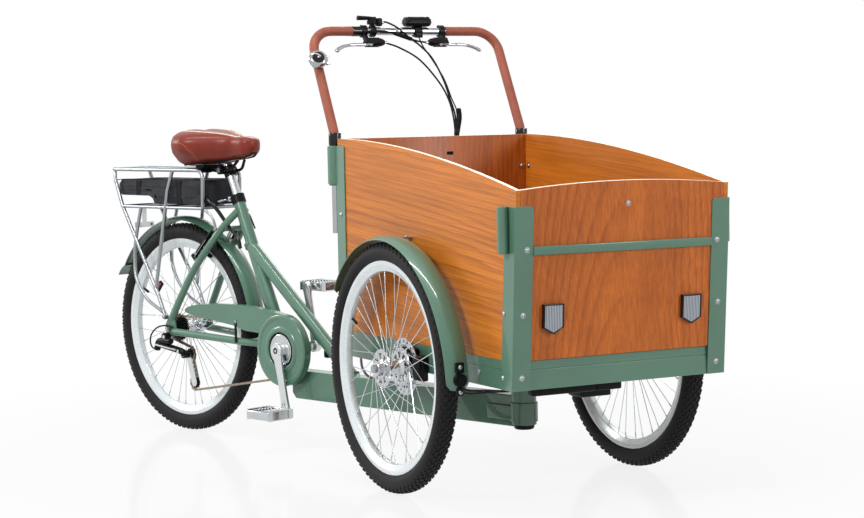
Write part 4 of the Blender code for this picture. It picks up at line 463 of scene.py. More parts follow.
def marked(bm, index):
    """Give every face of a shape one of its piece's finishes."""
    for face in bm.faces:
        face.material_index = index
    return bm


def carved(base, cutters):
    """A shape with other shapes cut out of it one after the other."""
    items = []
    for bm in (base, *cutters):
        mesh = bpy.data.meshes.new("carving")
        bm.to_mesh(mesh)
        bm.free()
        item = bpy.data.objects.new("carving", mesh)
        bpy.context.scene.collection.objects.link(item)
        items.append(item)
    for cutter in items[1:]:
        modifier = items[0].modifiers.new("cut", "BOOLEAN")
        modifier.operation = "DIFFERENCE"
        modifier.object = cutter
    bpy.context.view_layer.update()
    graph = bpy.context.evaluated_depsgraph_get()
    mesh = bpy.data.meshes.new_from_object(items[0].evaluated_get(graph))
    bm = bmesh.new()
    bm.from_mesh(mesh)
    bmesh.ops.remove_doubles(bm, verts=bm.verts, dist=0.00001)
    for item in items:
        bpy.data.objects.remove(item, do_unlink=True)
    bpy.data.meshes.remove(mesh)
    return bm


def mirrored(bm):
    """The same shape on the other side of the XZ plane."""
    placed(bm, Matrix.Diagonal((1, -1, 1, 1)))
    bmesh.ops.reverse_faces(bm, faces=bm.faces)
    return bm


def handed(side, bm):
    """A shape drawn for the left side, mirrored for the right where side is -1."""
    return bm if side > 0 else mirrored(bm)


def bolt(place, radius=0.0054, height=0.0040):
    """Domed bolt head on a washer, its axis along the frame's X."""
    profile = [(0.0, 0.0), (radius * 1.30, 0.0), (radius * 1.30, 0.0009), (radius, 0.0010),
               (radius, height * 0.40), (radius * 0.86, height * 0.74), (radius * 0.55, height * 0.95),
               (radius * 0.42, height), (radius * 0.36, height * 0.60), (0.0, height * 0.60)]
    bm = turned(profile, 18, closed=False)
    return placed(bm, place @ sideways(-1))


def piece(name, bm, finishes, body, nodes=(), place=FRONT, edge=0.0, angle=35):
    """Finished piece in its place, riding on its body and standing for its frame nodes."""
    placed(bm, place)
    mesh = bpy.data.meshes.new(name)
    bm.to_mesh(mesh)
    bm.free()
    item = bpy.data.objects.new(name, mesh)
    bpy.context.scene.collection.objects.link(item)
    for finish in finishes:
        mesh.materials.append(bpy.data.materials[finish])
    mesh.shade_smooth()
    mesh.set_sharp_from_angle(angle=math.radians(angle))
    if edge:
        modifier = item.modifiers.new("rounded_edges", "BEVEL")
        modifier.width = edge
        modifier.segments = 2
        modifier.limit_method = "ANGLE"
        modifier.angle_limit = math.radians(40)
        modifier.harden_normals = True
    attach(item, body)
    if nodes:
        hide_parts(*nodes)
    return item


# Finishes

def add(tree, kind, inputs=None, **settings):
    """Add a node with its settings; each input is a value or a socket to link from."""
    item = tree.nodes.new(kind)
    for key, value in settings.items():
        setattr(item, key, value)
    for key, value in (inputs or {}).items():
        if isinstance(value, bpy.types.NodeSocket):
            tree.links.new(value, item.inputs[key])
        else:
            item.inputs[key].default_value = value
    return item


def started(name, **sockets):
    """New material with its shader's own sockets set; spaces in socket names are underscores here."""
    material = bpy.data.materials.new(name)
    material.use_nodes = True
    tree = material.node_tree
    shader = tree.nodes["Principled BSDF"]
    for key, value in sockets.items():
        shader.inputs[key.replace("_", " ")].default_value = value
    return tree, shader


def in_place(tree, scale=(1, 1, 1), rotation=(0, 0, 0), location=(0, 0, 0)):
    """Object coordinates, moved, turned and scaled."""
    coordinates = add(tree, "ShaderNodeTexCoord")
    return add(tree, "ShaderNodeMapping", {"Vector": coordinates.outputs["Object"], "Scale": scale,
                                           "Rotation": rotation, "Location": location}).outputs["Vector"]


def grain(tree, scale, detail=3.0, vector=None, roughness=0.5):
    """Noise value at a scale per metre."""
    links = {"Scale": scale, "Detail": detail, "Roughness": roughness}
    links["Vector"] = vector or add(tree, "ShaderNodeTexCoord").outputs["Object"]
    return add(tree, "ShaderNodeTexNoise", links).outputs["Fac"]


def ramp(tree, value, stops):
    """Colour ramp over (position, colour) stops."""
    item = add(tree, "ShaderNodeValToRGB", {"Fac": value})
    elements = item.color_ramp.elements
    while len(elements) < len(stops):
        elements.new(0.5)
    for element, (position, tint) in zip(elements, stops):
        element.position = position
        element.color = tint
    return item.outputs["Color"]


def shade(tint, factor):
    """A colour made darker or lighter by a factor."""
    return tuple(min(1.0, part * factor) for part in tint[:3]) + (1.0,)


def roughened(tree, shader, value, low, high):
    """Vary the roughness between two values."""
    spread = add(tree, "ShaderNodeMapRange", {"Value": value, "To Min": low, "To Max": high})
    tree.links.new(spread.outputs["Result"], shader.inputs["Roughness"])


def bumped(tree, shader, value, strength, distance):
    """Relief from a value."""
    relief = add(tree, "ShaderNodeBump", {"Height": value, "Strength": strength, "Distance": distance})
    tree.links.new(relief.outputs["Normal"], shader.inputs["Normal"])


def coloured(tree, shader, value, tint, low, high):
    """Vary the base colour about its tint."""
    tree.links.new(ramp(tree, value, [(0.3, shade(tint, low)), (0.7, shade(tint, high))]),
                   shader.inputs["Base Color"])


def powder_coat(colours):
    """Sage powder-coated steel: semi-gloss with a faint orange peel and crisp highlights."""
    tree, shader = started("powder_coated_steel", Coat_Weight=0.60, Coat_Roughness=0.035, Roughness=0.34,
                           Specular_IOR_Level=0.32)
    coloured(tree, shader, grain(tree, 5.0), tuple(colours.paint), 0.93, 1.07)
    peel = grain(tree, 420.0, 2.0)
    roughened(tree, shader, peel, 0.30, 0.40)
    bumped(tree, shader, peel, 0.10, 0.0003)


def ply_face(name, tint, line, rotation, stretch, figure, spacing, sway=0.10):
    """Varnished cherry ply: growth lines that come and go, with streaks and pores along the grain."""
    tree, shader = started(name, Coat_Weight=0.10, Coat_Roughness=0.20, Roughness=0.42,
                           Specular_IOR_Level=0.28)
    board = in_place(tree, rotation=rotation, location=figure)
    drift = add(tree, "ShaderNodeMapping", {"Vector": board, "Scale": stretch}).outputs["Vector"]
    wander = grain(tree, 6.0, 5.0, drift, 0.55)
    spread = add(tree, "ShaderNodeMath", {0: wander, 1: sway}, operation="MULTIPLY").outputs["Value"]
    pushed = add(tree, "ShaderNodeVectorMath", {0: board, 1: spread}, operation="ADD").outputs["Vector"]
    rings = add(tree, "ShaderNodeTexWave", {"Vector": pushed, "Scale": 0.314 / spacing, "Distortion": 0.5,
                                            "Detail": 2.0, "Detail Scale": 0.5},
                wave_type="RINGS", rings_direction="Z", wave_profile="SAW").outputs["Fac"]
    soft = tuple(0.45 * a + 0.55 * b for a, b in zip(tint, line))
    growth = ramp(tree, rings,
                  [(0.0, shade(tint, 1.04)), (0.50, tint), (0.90, soft), (1.0, shade(tint, 1.0))])
    patches = add(tree, "ShaderNodeMapRange",
                  {"Value": grain(tree, 4.5, 3.0, drift), "From Min": 0.40, "From Max": 0.62,
                   "To Min": 0.10, "To Max": 0.95}).outputs["Result"]
    base = add(tree, "ShaderNodeMix", {"Factor": patches, 6: tint, 7: growth}, data_type="RGBA").outputs[2]
    layers = [(1.0, (240, 240, 4.5), [(0.34, (0.83, 0.79, 0.74, 1.0)), (0.60, (1.05, 1.04, 1.03, 1.0))]),
              (0.5, (900, 900, 22), [(0.30, (0.72, 0.68, 0.64, 1.0)), (0.52, (1.0, 1.0, 1.0, 1.0))]),
              (1.0, (17, 17, 1.1), [(0.32, (0.82, 0.77, 0.72, 1.0)), (0.66, (1.10, 1.09, 1.07, 1.0))])]
    for strength, spans, stops in layers:
        laid = add(tree, "ShaderNodeMapping", {"Vector": board, "Scale": spans}).outputs["Vector"]
        value = grain(tree, 1.0, 3.0, laid)
        base = add(tree, "ShaderNodeMix", {"Factor": strength, 6: base, 7: ramp(tree, value, stops)},
                   data_type="RGBA", blend_type="MULTIPLY").outputs[2]
    tree.links.new(base, shader.inputs["Base Color"])
    roughened(tree, shader, value, 0.36, 0.48)
    bumped(tree, shader, rings, 0.05, 0.0003)


def ply_edge(name, tint, axis):
    """Cut ply edge: pale layers of veneer with thin darker glue lines."""
    tree, shader = started(name, Roughness=0.55, Coat_Weight=0.15)
    layers = add(tree, "ShaderNodeTexWave", {"Vector": in_place(tree), "Scale": 95.0, "Distortion": 0.6},
                 wave_type="BANDS", bands_direction=axis).outputs["Fac"]
    tree.links.new(ramp(tree, layers, [(0.0, shade(tint, 0.62)), (0.22, tint), (1.0, shade(tint, 1.05))]),
                   shader.inputs["Base Color"])
    bumped(tree, shader, grain(tree, 900.0), 0.15, 0.0003)


def metal(name, code, rough, coarse=700.0, relief=0.03):
    """Bare or plated metal: its fine finishing marks break up the reflection a little."""
    tree, shader = started(name, Metallic=1.0, Roughness=rough)
    marks = grain(tree, coarse, 2.0, in_place(tree))
    coloured(tree, shader, grain(tree, 18.0), linear(code), 0.94, 1.04)
    roughened(tree, shader, marks, rough * 0.75, rough * 1.30)
    bumped(tree, shader, marks, relief, 0.0002)


def moulded(name, code, rough, coarse=1400.0, relief=0.12, coat=0.0):
    """Moulded plastic, painted metal or rubber: a fine even texture over a deep colour."""
    tree, shader = started(name, Roughness=rough, Coat_Weight=coat, Coat_Roughness=0.12,
                           Specular_IOR_Level=0.12)
    texture = grain(tree, coarse, 2.0)
    coloured(tree, shader, grain(tree, 30.0), linear(code), 0.88, 1.12)
    roughened(tree, shader, texture, rough * 0.85, min(1.0, rough * 1.15))
    bumped(tree, shader, texture, relief, 0.0003)


def leather(name, tint, rough, pores, relief, coat):
    """Leather: small cells of grain with softer creases."""
    tree, shader = started(name, Roughness=rough, Coat_Weight=coat, Coat_Roughness=0.28,
                           Specular_IOR_Level=0.18)
    cells = add(tree, "ShaderNodeTexVoronoi", {"Vector": in_place(tree), "Scale": pores},
                feature="DISTANCE_TO_EDGE")
    crease = grain(tree, 55.0, 5.0)
    height = add(tree, "ShaderNodeMath", {0: cells.outputs["Distance"], 1: crease},
                 operation="ADD").outputs["Value"]
    coloured(tree, shader, grain(tree, 26.0, 4.0), tint, 0.86, 1.12)
    roughened(tree, shader, crease, rough * 0.85, rough * 1.2)
    bumped(tree, shader, height, relief, 0.0008)


def woven(name, tint):
    """Woven synthetic cover: crossed threads under a millimetre apart, with a soft sheen."""
    tree, shader = started(name, Roughness=0.72, Sheen_Weight=0.10, Specular_IOR_Level=0.25)
    where = in_place(tree, rotation=(0, 0, 0.3))
    warp = add(tree, "ShaderNodeTexWave", {"Vector": where, "Scale": 320.0},
               bands_direction="X").outputs["Fac"]
    weft = add(tree, "ShaderNodeTexWave", {"Vector": where, "Scale": 320.0},
               bands_direction="Z").outputs["Fac"]
    cloth = add(tree, "ShaderNodeMath", {0: warp, 1: weft}, operation="MULTIPLY").outputs["Value"]
    coloured(tree, shader, grain(tree, 40.0, 4.0), tint, 0.80, 1.20)
    bumped(tree, shader, cloth, 0.30, 0.0004)


def rubber_tread(name, code):
    """Tyre rubber: matt black with a fine moulded texture and a bloom of dust-grey variation."""
    tree, shader = started(name, Roughness=0.66, Specular_IOR_Level=0.26)
    coloured(tree, shader, grain(tree, 60.0, 4.0), linear(code), 0.85, 1.20)
    fine = grain(tree, 800.0, 3.0)
    roughened(tree, shader, fine, 0.58, 0.78)
    bumped(tree, shader, fine, 0.20, 0.0004)


def lens(name, code, ribs, axis):
    """Moulded reflector lens over a pale foil: close ribs in relief, banded with painted highlight and
    painted shade.
    """
    tree, shader = started(name, Roughness=0.20, Coat_Weight=0.35, Coat_Roughness=0.04, Metallic=0.45)
    lines = add(tree, "ShaderNodeTexWave", {"Vector": in_place(tree), "Scale": 0.314 / ribs},
                wave_type="BANDS", bands_direction=axis).outputs["Fac"]
    tint = linear(code)
    # Dark and bright bands over the ribs: painted shade and painted highlight
    tree.links.new(ramp(tree, lines, [(0.0, shade(tint, 0.35)), (0.5, tint), (1.0, shade(tint, 1.7))]),
                   shader.inputs["Base Color"])
    bumped(tree, shader, lines, 0.6, 0.0006)


def pale_rim(tint):
    """Pale coated alloy rim: smooth, with a faint variation of tone and a fine texture."""
    tree, shader = started("pale_coated_alloy", Roughness=0.26, Coat_Weight=0.4,
                           Coat_Roughness=0.1, Metallic=0.25)
    coloured(tree, shader, grain(tree, 25.0), tint, 0.95, 1.03)
    fine = grain(tree, 600.0)
    roughened(tree, shader, fine, 0.22, 0.34)
    bumped(tree, shader, fine, 0.04, 0.0002)


def mix_finishes(colours, sizes):
    """Every finish of the tricycle."""
    wood = tuple(colours.wood)
    line = tuple(colours.wood_line)
    side = tuple(colours.side_wood)
    powder_coat(colours)
    centre = tuple(-part for part in PIVOT)
    ply_face("varnished_ply_front", wood, line, (0, math.radians(5), 0), (1.0, 1.0, 0.16),
             (centre[0] - 0.405, centre[1] - 0.015, 0), sizes.grain, 0.055)
    # Rear board and floor: the front's ply darkened to 0.72, painted shade for the boards inside the box
    ply_face("varnished_ply_rear_painted_shade", shade(wood, 0.72), shade(line, 0.72), (0, math.radians(-4), 0),
             (1.0, 1.0, 0.16), (centre[0] + 0.47, centre[1] + 0.03, 0), sizes.grain)
    ply_face("varnished_ply_side", side, line, (0, math.radians(90 - 5), 0), (1.0, 1.0, 0.085),
             (0.10, 0.16, 0.50), sizes.grain * 1.25, 0.15)
    ply_edge("cut_ply_edge_side", tuple(colours.ply_edge), "Y")
    ply_edge("cut_ply_edge_cross", tuple(colours.ply_edge), "X")
    metal("chromed_steel", "abaeb2", 0.08)
    metal("polished_alloy", "c6cacd", 0.18)
    metal("satin_alloy", "d4d8d8", 0.30, 900.0, 0.06)
    metal("zinc_plated_steel", "a6aaae", 0.26, 1200.0, 0.05)
    metal("silver_rack_tube", "9a9fa2", 0.33, 900.0, 0.04)
    metal("dark_plated_steel", "4b4a48", 0.38, 900.0, 0.06)
    metal("bronze_chain_steel", "9d9181", 0.34, 1100.0, 0.10)
    pale_rim(tuple(colours.rim))
    rubber_tread("matt_tread_rubber", "131213")
    moulded("moulded_black_plastic", "0f0e11", 0.36)
    moulded("gloss_black_plastic", "0e0e10", 0.14, 900.0, 0.03, 0.45)
    moulded("black_coated_metal", "0b0b0c", 0.36, 800.0, 0.06, 0.04)
    moulded("black_cable_rubber", "131315", 0.46, 1100.0, 0.10)
    moulded("grey_cable_rubber", "8d9093", 0.50, 1100.0, 0.10)
    moulded("white_dot_enamel", "f0f0ee", 0.30, 700.0, 0.03, 0.4)
    moulded("cream_piping", "e2d6bf", 0.52, 900.0, 0.2)
    moulded("stitch_thread", "b0694a", 0.70, 2200.0, 0.4)
    # Flat black for the openings of slots and holes: painted shade
    moulded("painted_hole_shade", "0f0f10", 0.75)
    moulded("amber_reflector", "8a3d12", 0.15, 500.0, 0.3, 0.7)
    leather("terracotta_leather", tuple(colours.wrap), 0.46, 900.0, 0.22, 0.08)
    leather("oxblood_leather", tuple(colours.saddle), 0.36, 700.0, 0.22, 0.28)
    woven("woven_battery_cover", tuple(colours.cover))
    lens("ribbed_clear_lens", "8f959c", 0.0042, "Y")


# Wheels

def tyre(sizes):
    """Tyre with round side walls and rows of small blocks over its crown."""
    crown = WHEEL_RADIUS - sizes.tread_depth
    wall = [(RIM_RADIUS - 0.0002, 0.0150), (0.2660, 0.0206), (0.2740, 0.0243), (0.2805, TYRE_WIDTH / 2),
            (0.2870, 0.0240), (0.2930, 0.0212), (0.2978, 0.0160), (crown - 0.0012, 0.0095), (crown, 0.0)]
    half = curved(wall, 3)
    carcass = turned(half + [(radius, -y) for radius, y in reversed(half[:-1])], 120)
    pitch = 2 * math.pi / sizes.tread_count
    blocks = []
    for y, radius, tilt, size, stagger in ((0.0038, crown - 0.0001, 4, (0.0050, 0.0064, 0.0120), 0.0),
                                           (0.0112, crown - 0.0015, 14, (0.0052, 0.0058, 0.0098), 0.5),
                                           (0.0180, 0.2968, 38, (0.0044, 0.0062, 0.0088), 0.1),
                                           (0.0222, 0.2918, 62, (0.0030, 0.0052, 0.0060), 0.6)):
        for side in (-1, 1):
            half_size = Vector(size) / 2
            stud = block(-half_size, half_size, 0.0009, 1)
            turn = Matrix.Rotation((stagger + (0.5 if side < 0 else 0.0)) * pitch, 4, "Y")
            lean = Matrix.Rotation(side * math.radians(tilt), 4, "Z")
            reach = shift(radius + sizes.tread_depth - half_size.x, side * y, 0)
            if tilt > 30:
                reach = shift(radius, side * y, 0)
            blocks.append(placed(stud, turn @ reach @ lean))
    tread = ringed(several(blocks), sizes.tread_count)
    over = [vert for vert in tread.verts if math.hypot(vert.co.x, vert.co.z) > WHEEL_RADIUS]
    for vert in over:
        vert.co *= WHEEL_RADIUS / math.hypot(vert.co.x, vert.co.z)
    return several([carcass, tread])


def rim():
    """Double-walled rim with its brake track and valve."""
    side = [(RIM_RADIUS, 0.0152), (RIM_RADIUS - 0.0008, RIM_HALF_WIDTH), (0.2494, RIM_HALF_WIDTH),
            (0.2484, 0.0154), (0.2440, 0.0128), (0.2385, 0.0104), (0.2350, 0.0086), (0.2338, 0.0060),
            (RIM_FLOOR, 0.0)]
    profile = side + [(radius, -y) for radius, y in reversed(side[:-1])]
    valve = [rod((-0.2250, 0, 0.1090), (-0.1985, 0, 0.0962), 0.0030, 12)]
    valve.append(rod((-0.2010, 0, 0.0974), (-0.1900, 0, 0.0921), 0.0040, 12))
    return several([turned(profile, 144)] + [marked(bm, 1) for bm in valve])


def spokes(sizes, flange_radius, offsets):
    """Round spokes with their nipples, those of each flange leaning one way round."""
    root = flange_radius - 0.0042
    rods = []
    for i in range(SPOKES):
        turn = 2 * math.pi * (i + 0.5) / SPOKES
        side = 1 if i % 2 else -1
        start = turn - side * SPOKE_TURN
        end = Vector((RIM_FLOOR * math.cos(turn), side * 0.0026, RIM_FLOOR * math.sin(turn)))
        foot = Vector((root * math.cos(start), offsets[i % 2], root * math.sin(start)))
        along = (foot - end).normalized()
        rods.append(tube([foot, end], sizes.spoke_radius, 8))
        rods.append(tube([end - along * 0.001, end + along * 0.013], 0.0020, 8))
    return rods


def flange(radius, y, thickness, arms, inner):
    """Hub flange with wedge-shaped openings between its arms."""
    half = thickness / 2
    ring = turned(softened(radius - 0.0095, radius, y - half, y + half, thickness * 0.22), 72)
    arm = block((inner - 0.002, y - half * 0.9, -0.0052),
                (radius - 0.007, y + half * 0.9, 0.0052), 0.0008, 2)
    lobe = rod((radius - 0.0042, y - half * 1.25, 0), (radius - 0.0042, y + half * 1.25, 0), 0.0030, 12)
    return [ring, ringed(arm, arms), ringed(lobe, SPOKES // 2)]


def front_hub(sizes):
    """Large-flange hub with its brake disc on the inner side, drawn for the left wheel."""
    profile = [(AXLE_BORE, -0.0412), (0.0190, -0.0412), (0.0200, -0.0402), (0.0200, -0.0342),
               (0.0185, -0.0330), (0.0182, -0.0290), (0.0215, -0.0282), (0.0222, -0.0236), (0.0180, -0.0170),
               (0.0160, -0.0080), (0.0160, 0.0080), (0.0180, 0.0170), (0.0222, 0.0236), (0.0222, 0.0286),
               (0.0190, 0.0300), (0.0182, 0.0340), (0.0182, 0.0430), (0.0172, 0.0440), (AXLE_BORE, 0.0440)]
    shapes = [turned(profile, 64)]
    for y in (-FRONT_FLANGE_OFFSET, FRONT_FLANGE_OFFSET):
        shapes += flange(FRONT_FLANGE_RADIUS, y, 0.004, 9, 0.0215)
    shapes += spokes(sizes, FRONT_FLANGE_RADIUS, (-FRONT_FLANGE_OFFSET, FRONT_FLANGE_OFFSET))
    disc = [turned([(0.0530, -DISC_OFFSET - 0.0009), (DISC_RADIUS, -DISC_OFFSET - 0.0009),
                    (DISC_RADIUS, -DISC_OFFSET + 0.0009), (0.0530, -DISC_OFFSET + 0.0009)], 90)]
    arm = block((0.017, -DISC_OFFSET - 0.0008, -0.0045), (0.056, -DISC_OFFSET + 0.0008, 0.0045), 0.0005, 1)
    disc.append(ringed(placed(arm, Matrix.Rotation(0.12, 4, "Y")), 6))
    stud = rod((0.0615, -DISC_OFFSET - 0.0012, 0), (0.0615, -DISC_OFFSET + 0.0012, 0), 0.0030, 10)
    disc.append(marked(ringed(stud, 20), 1))
    return several(shapes + disc)


def rear_hub(sizes):
    """Rear hub between its sprockets and the left dropout."""
    profile = [(AXLE_BORE, -0.0280), (0.0170, -0.0280), (0.0200, -0.0262), (0.0205, -0.0210),
               (0.0175, -0.0150), (0.0165, 0.0), (0.0175, 0.0150), (0.0205, 0.0210), (0.0205, 0.0268),
               (0.0175, 0.0310), (0.0162, 0.0560), (0.0120, 0.0566), (0.0120, 0.0632), (AXLE_BORE, 0.0635)]
    shapes = [turned(profile, 64)]
    for y in (-REAR_FLANGE_OFFSET, REAR_FLANGE_OFFSET):
        shapes += flange(REAR_FLANGE_RADIUS, y, 0.004, 9, 0.0185)
    shapes += spokes(sizes, REAR_FLANGE_RADIUS, (-REAR_FLANGE_OFFSET, REAR_FLANGE_OFFSET))
    return several(shapes)


def build_wheels(sizes):
    """Three wheels on their axles, with a reflector in the rear spokes."""
    rear_axle = REAR @ Matrix.Translation(REAR_HUB)
    left_axle = FRONT @ shift(-AXLE_SETBACK, TRACK / 2, WHEEL_RADIUS)
    right_axle = FRONT @ shift(-AXLE_SETBACK, -TRACK / 2, WHEEL_RADIUS)
    for prefix, axle, side in (("front_left", left_axle, 1), ("front_right", right_axle, -1),
                               ("rear", rear_axle, 1)):
        body = prefix + "_wheel"
        hub = rear_hub(sizes) if prefix == "rear" else handed(side, front_hub(sizes))
        piece(prefix + "_tyre_treaded", tyre(sizes), ["matt_tread_rubber"], body, [prefix + "_tyre"],
              axle)
        piece(prefix + "_rim_spoked", rim(), ["pale_coated_alloy", "black_cable_rubber"], body,
              [prefix + "_rim"], axle)
        piece(prefix + "_hub_laced", hub, ["polished_alloy", "dark_plated_steel"], body,
              [prefix + "_hub_and_spokes"], axle)
    case = block((-0.0180, -0.0060, -0.0085), (0.0180, 0.0040, 0.0085), 0.003)
    face = marked(block((-0.0155, -0.0078, -0.0062), (0.0155, -0.0052, 0.0062), 0.0012), 1)
    spot = rear_axle @ Matrix.Rotation(math.radians(-139), 4, "Y") @ shift(0.170, -0.004, 0)
    turn = Matrix.Rotation(math.radians(90), 4, "Y")
    piece("spoke_reflector", several([case, face]),
          ["moulded_black_plastic", "amber_reflector"], "rear_wheel",
          place=spot @ turn)


# Cargo box

def front_x(z):
    """Forward reach of the box's leaning front at a height."""
    return BOX_FRONT_FOOT + math.tan(BOX_LEAN) * (z - RAIL_BOTTOM)


def front_rise(z):
    """Distance up the leaning front, from the foot of the posts to a height."""
    return (z - RAIL_BOTTOM) / math.cos(BOX_LEAN)


def front_plane():
    """Frame of the leaning front: X out of it, Z up along it, from the foot of the posts."""
    return shift(BOX_FRONT_FOOT, 0, RAIL_BOTTOM) @ Matrix.Rotation(BOX_LEAN, 4, "Y")


def rail(place, half):
    """Grooved rail with mitred ends, its outer face at the frame's X = 0."""
    outline = [(0, RAIL_BOTTOM), (0, GROOVE_LOW), (-0.0015, GROOVE_LOW), (-0.0015, GROOVE_LOW + 0.0025),
               (0, GROOVE_LOW + 0.0025), (0, RAIL_TOP), (-RAIL_WIDTH, RAIL_TOP), (-RAIL_WIDTH, RAIL_BOTTOM)]
    stand = Matrix(((1, 0, 0, 0), (0, 0, 1, 0), (0, 1, 0, 0), (0, 0, 0, 1)))
    bm = sweep(outline, [shift(0, -half, 0) @ stand, shift(0, half, 0) @ stand])
    for vert in bm.verts:
        vert.co.y = math.copysign(half + vert.co.x, vert.co.y)
    return placed(bm, place)


def bottom_frame():
    """Rails round the box's foot, cross members and the spine over the steering head."""
    front = BOX_FRONT_FOOT - INSET
    rear = BOX_REAR + INSET
    middle = (front + rear) / 2
    half = (front - rear) / 2
    rails = [rail(shift(front, 0, 0), PANEL_OUTER),
             rail(shift(rear, 0, 0) @ sideways(2), PANEL_OUTER),
             rail(shift(middle, PANEL_OUTER, 0) @ sideways(1), half),
             rail(shift(middle, -PANEL_OUTER, 0) @ sideways(-1), half)]
    bite = RAIL_WIDTH - 0.005
    reach = PANEL_OUTER - bite
    for x in (BOX_REAR * 0.6, BOX_FRONT_FOOT * 0.65):
        rails.append(block((x - 0.02, -reach, RAIL_BOTTOM + 0.003),
                           (x + 0.02, reach, RAIL_BOTTOM + MEMBER_HEIGHT), 0.002))
    rails.append(block((rear + bite, -0.045, RAIL_BOTTOM + 0.002),
                       (front - bite, 0.045, RAIL_BOTTOM + 0.028), 0.002))
    return several(rails)


def edged(bm, across):
    """Mark the faces along a panel's top that show its cut edge."""
    for face in bm.faces:
        if abs(face.normal.dot(across)) < 0.5 and face.normal.z > 0.3:
            face.material_index = 1
    return bm


def side_panel():
    """Left side panel with its arched top edge."""
    rear = BOX_REAR + INSET
    foot = RAIL_TOP + GAP
    front_top = front_x(PANEL_FRONT_TOP) - INSET
    outline = [(rear, foot), (front_x(foot) - INSET, foot)]
    steps = 48
    for i in range(steps + 1):
        share = i / steps
        drop = (PANEL_REAR_TOP - PANEL_FRONT_TOP) * (1 - share) ** 1.8
        outline.append((front_top + (rear - front_top) * share, PANEL_REAR_TOP - drop))
    return edged(plate(outline, PANEL_OUTER, PANEL_INNER), Vector((0, 1, 0)))


def across_front(outline, start, depth):
    """Plate in the leaning front's plane from (y, height) points, between two depths."""
    return sweep(outline, [front_plane() @ shift(x, 0, 0) @ CROSSWISE for x in (start, start + depth)])


def front_panel():
    """Leaning front panel between the sides, its top edge slightly arched."""
    half = PANEL_INNER - GAP
    foot = front_rise(RAIL_TOP + GAP)
    top = front_rise(PANEL_FRONT_TOP)
    outline = [(half, foot)]
    steps = 48
    for i in range(steps + 1):
        share = 2 * i / steps - 1
        outline.append((-half * share, top + PANEL_ARCH * (1 - share * share)))
    outline.append((-half, foot))
    return edged(across_front(outline, -INSET, -PLY), Vector((math.cos(BOX_LEAN), 0, -math.sin(BOX_LEAN))))


def angle_post(direction, foot, top):
    """Angle iron between two heights, the tops of its legs rounded at their tips."""
    points = [(0, 0), (-ANGLE_LEG, 0), (-ANGLE_LEG, -ANGLE_WALL), (-ANGLE_WALL, -ANGLE_WALL),
              (-ANGLE_WALL, -ANGLE_LEG), (0, -ANGLE_LEG)]
    bm = sweep([(x * direction, y) for x, y in points], [shift(*foot), shift(*top)])
    tips = []
    for edge in bm.edges:
        a, b = (vert.co - Vector(top) for vert in edge.verts)
        level = abs(a.z) < 0.0001 and abs(b.z) < 0.0001
        along_x = min(abs(a.x), abs(b.x)) > ANGLE_LEG - 0.0005
        along_y = min(abs(a.y), abs(b.y)) > ANGLE_LEG - 0.0005
        if level and (along_x or along_y):
            tips.append(edge)
    bmesh.ops.bevel(bm, geom=tips, offset=POST_TIP_RADIUS, segments=6, profile=0.5,
                    affect="EDGES", material=-1)
    return bm


def sleeve(x, y, low, high, radius, bore):
    """Upright tube with an open bore and softened ends."""
    profile = softened(bore, radius, 0, high - low, 0.0012)
    return placed(turned(profile, 40), shift(x, y, low) @ UPRIGHT)


def front_post():
    """Left front corner post with the sleeve for a canopy pole on its outer side."""
    foot = (BOX_FRONT_FOOT, BOX_HALF_WIDTH, RAIL_BOTTOM)
    top = (front_x(FRONT_POST_TOP), BOX_HALF_WIDTH, FRONT_POST_TOP)
    x = top[0] - ANGLE_LEG * 0.80
    return several([angle_post(1, foot, top),
                    sleeve(x, BOX_HALF_WIDTH + 0.0115, FRONT_POST_TOP - 0.105, FRONT_POST_TOP,
                           0.0125, 0.0095)])


def rear_post():
    """Left rear corner post with the handlebar's socket behind it."""
    foot = (BOX_REAR, BOX_HALF_WIDTH, RAIL_BOTTOM)
    top = (BOX_REAR, BOX_HALF_WIDTH, REAR_POST_TOP)
    socket = sleeve(BAR_X, BAR_SPREAD, REAR_POST_TOP - 0.099, REAR_POST_TOP, 0.0205, 0.0116)
    weld = sleeve(BAR_X, BAR_SPREAD, REAR_POST_TOP - 0.103, REAR_POST_TOP - 0.097, 0.0180, 0.0116)
    return several([angle_post(-1, foot, top), socket, weld])


def reflector(y):
    """Shield-shaped reflector: a black rim round a ribbed lens."""
    def shield(inset):
        half = 0.0265 - inset
        shoulder = REFLECTOR_RISE + 0.0152 + inset * 0.35
        high = REFLECTOR_RISE + 0.069 - inset
        return [(y - half, shoulder), (y - half, high), (y + half, high), (y + half, shoulder),
                (y, REFLECTOR_RISE + inset * 1.2)]
    rim_part = carved(across_front(shield(0.0), -ANGLE_WALL, 0.0100),
                      [across_front(shield(0.0035), 0.0030, 0.02)])
    face = marked(across_front(shield(0.0032), -0.0005, 0.0065), 1)
    return several([rim_part, face])


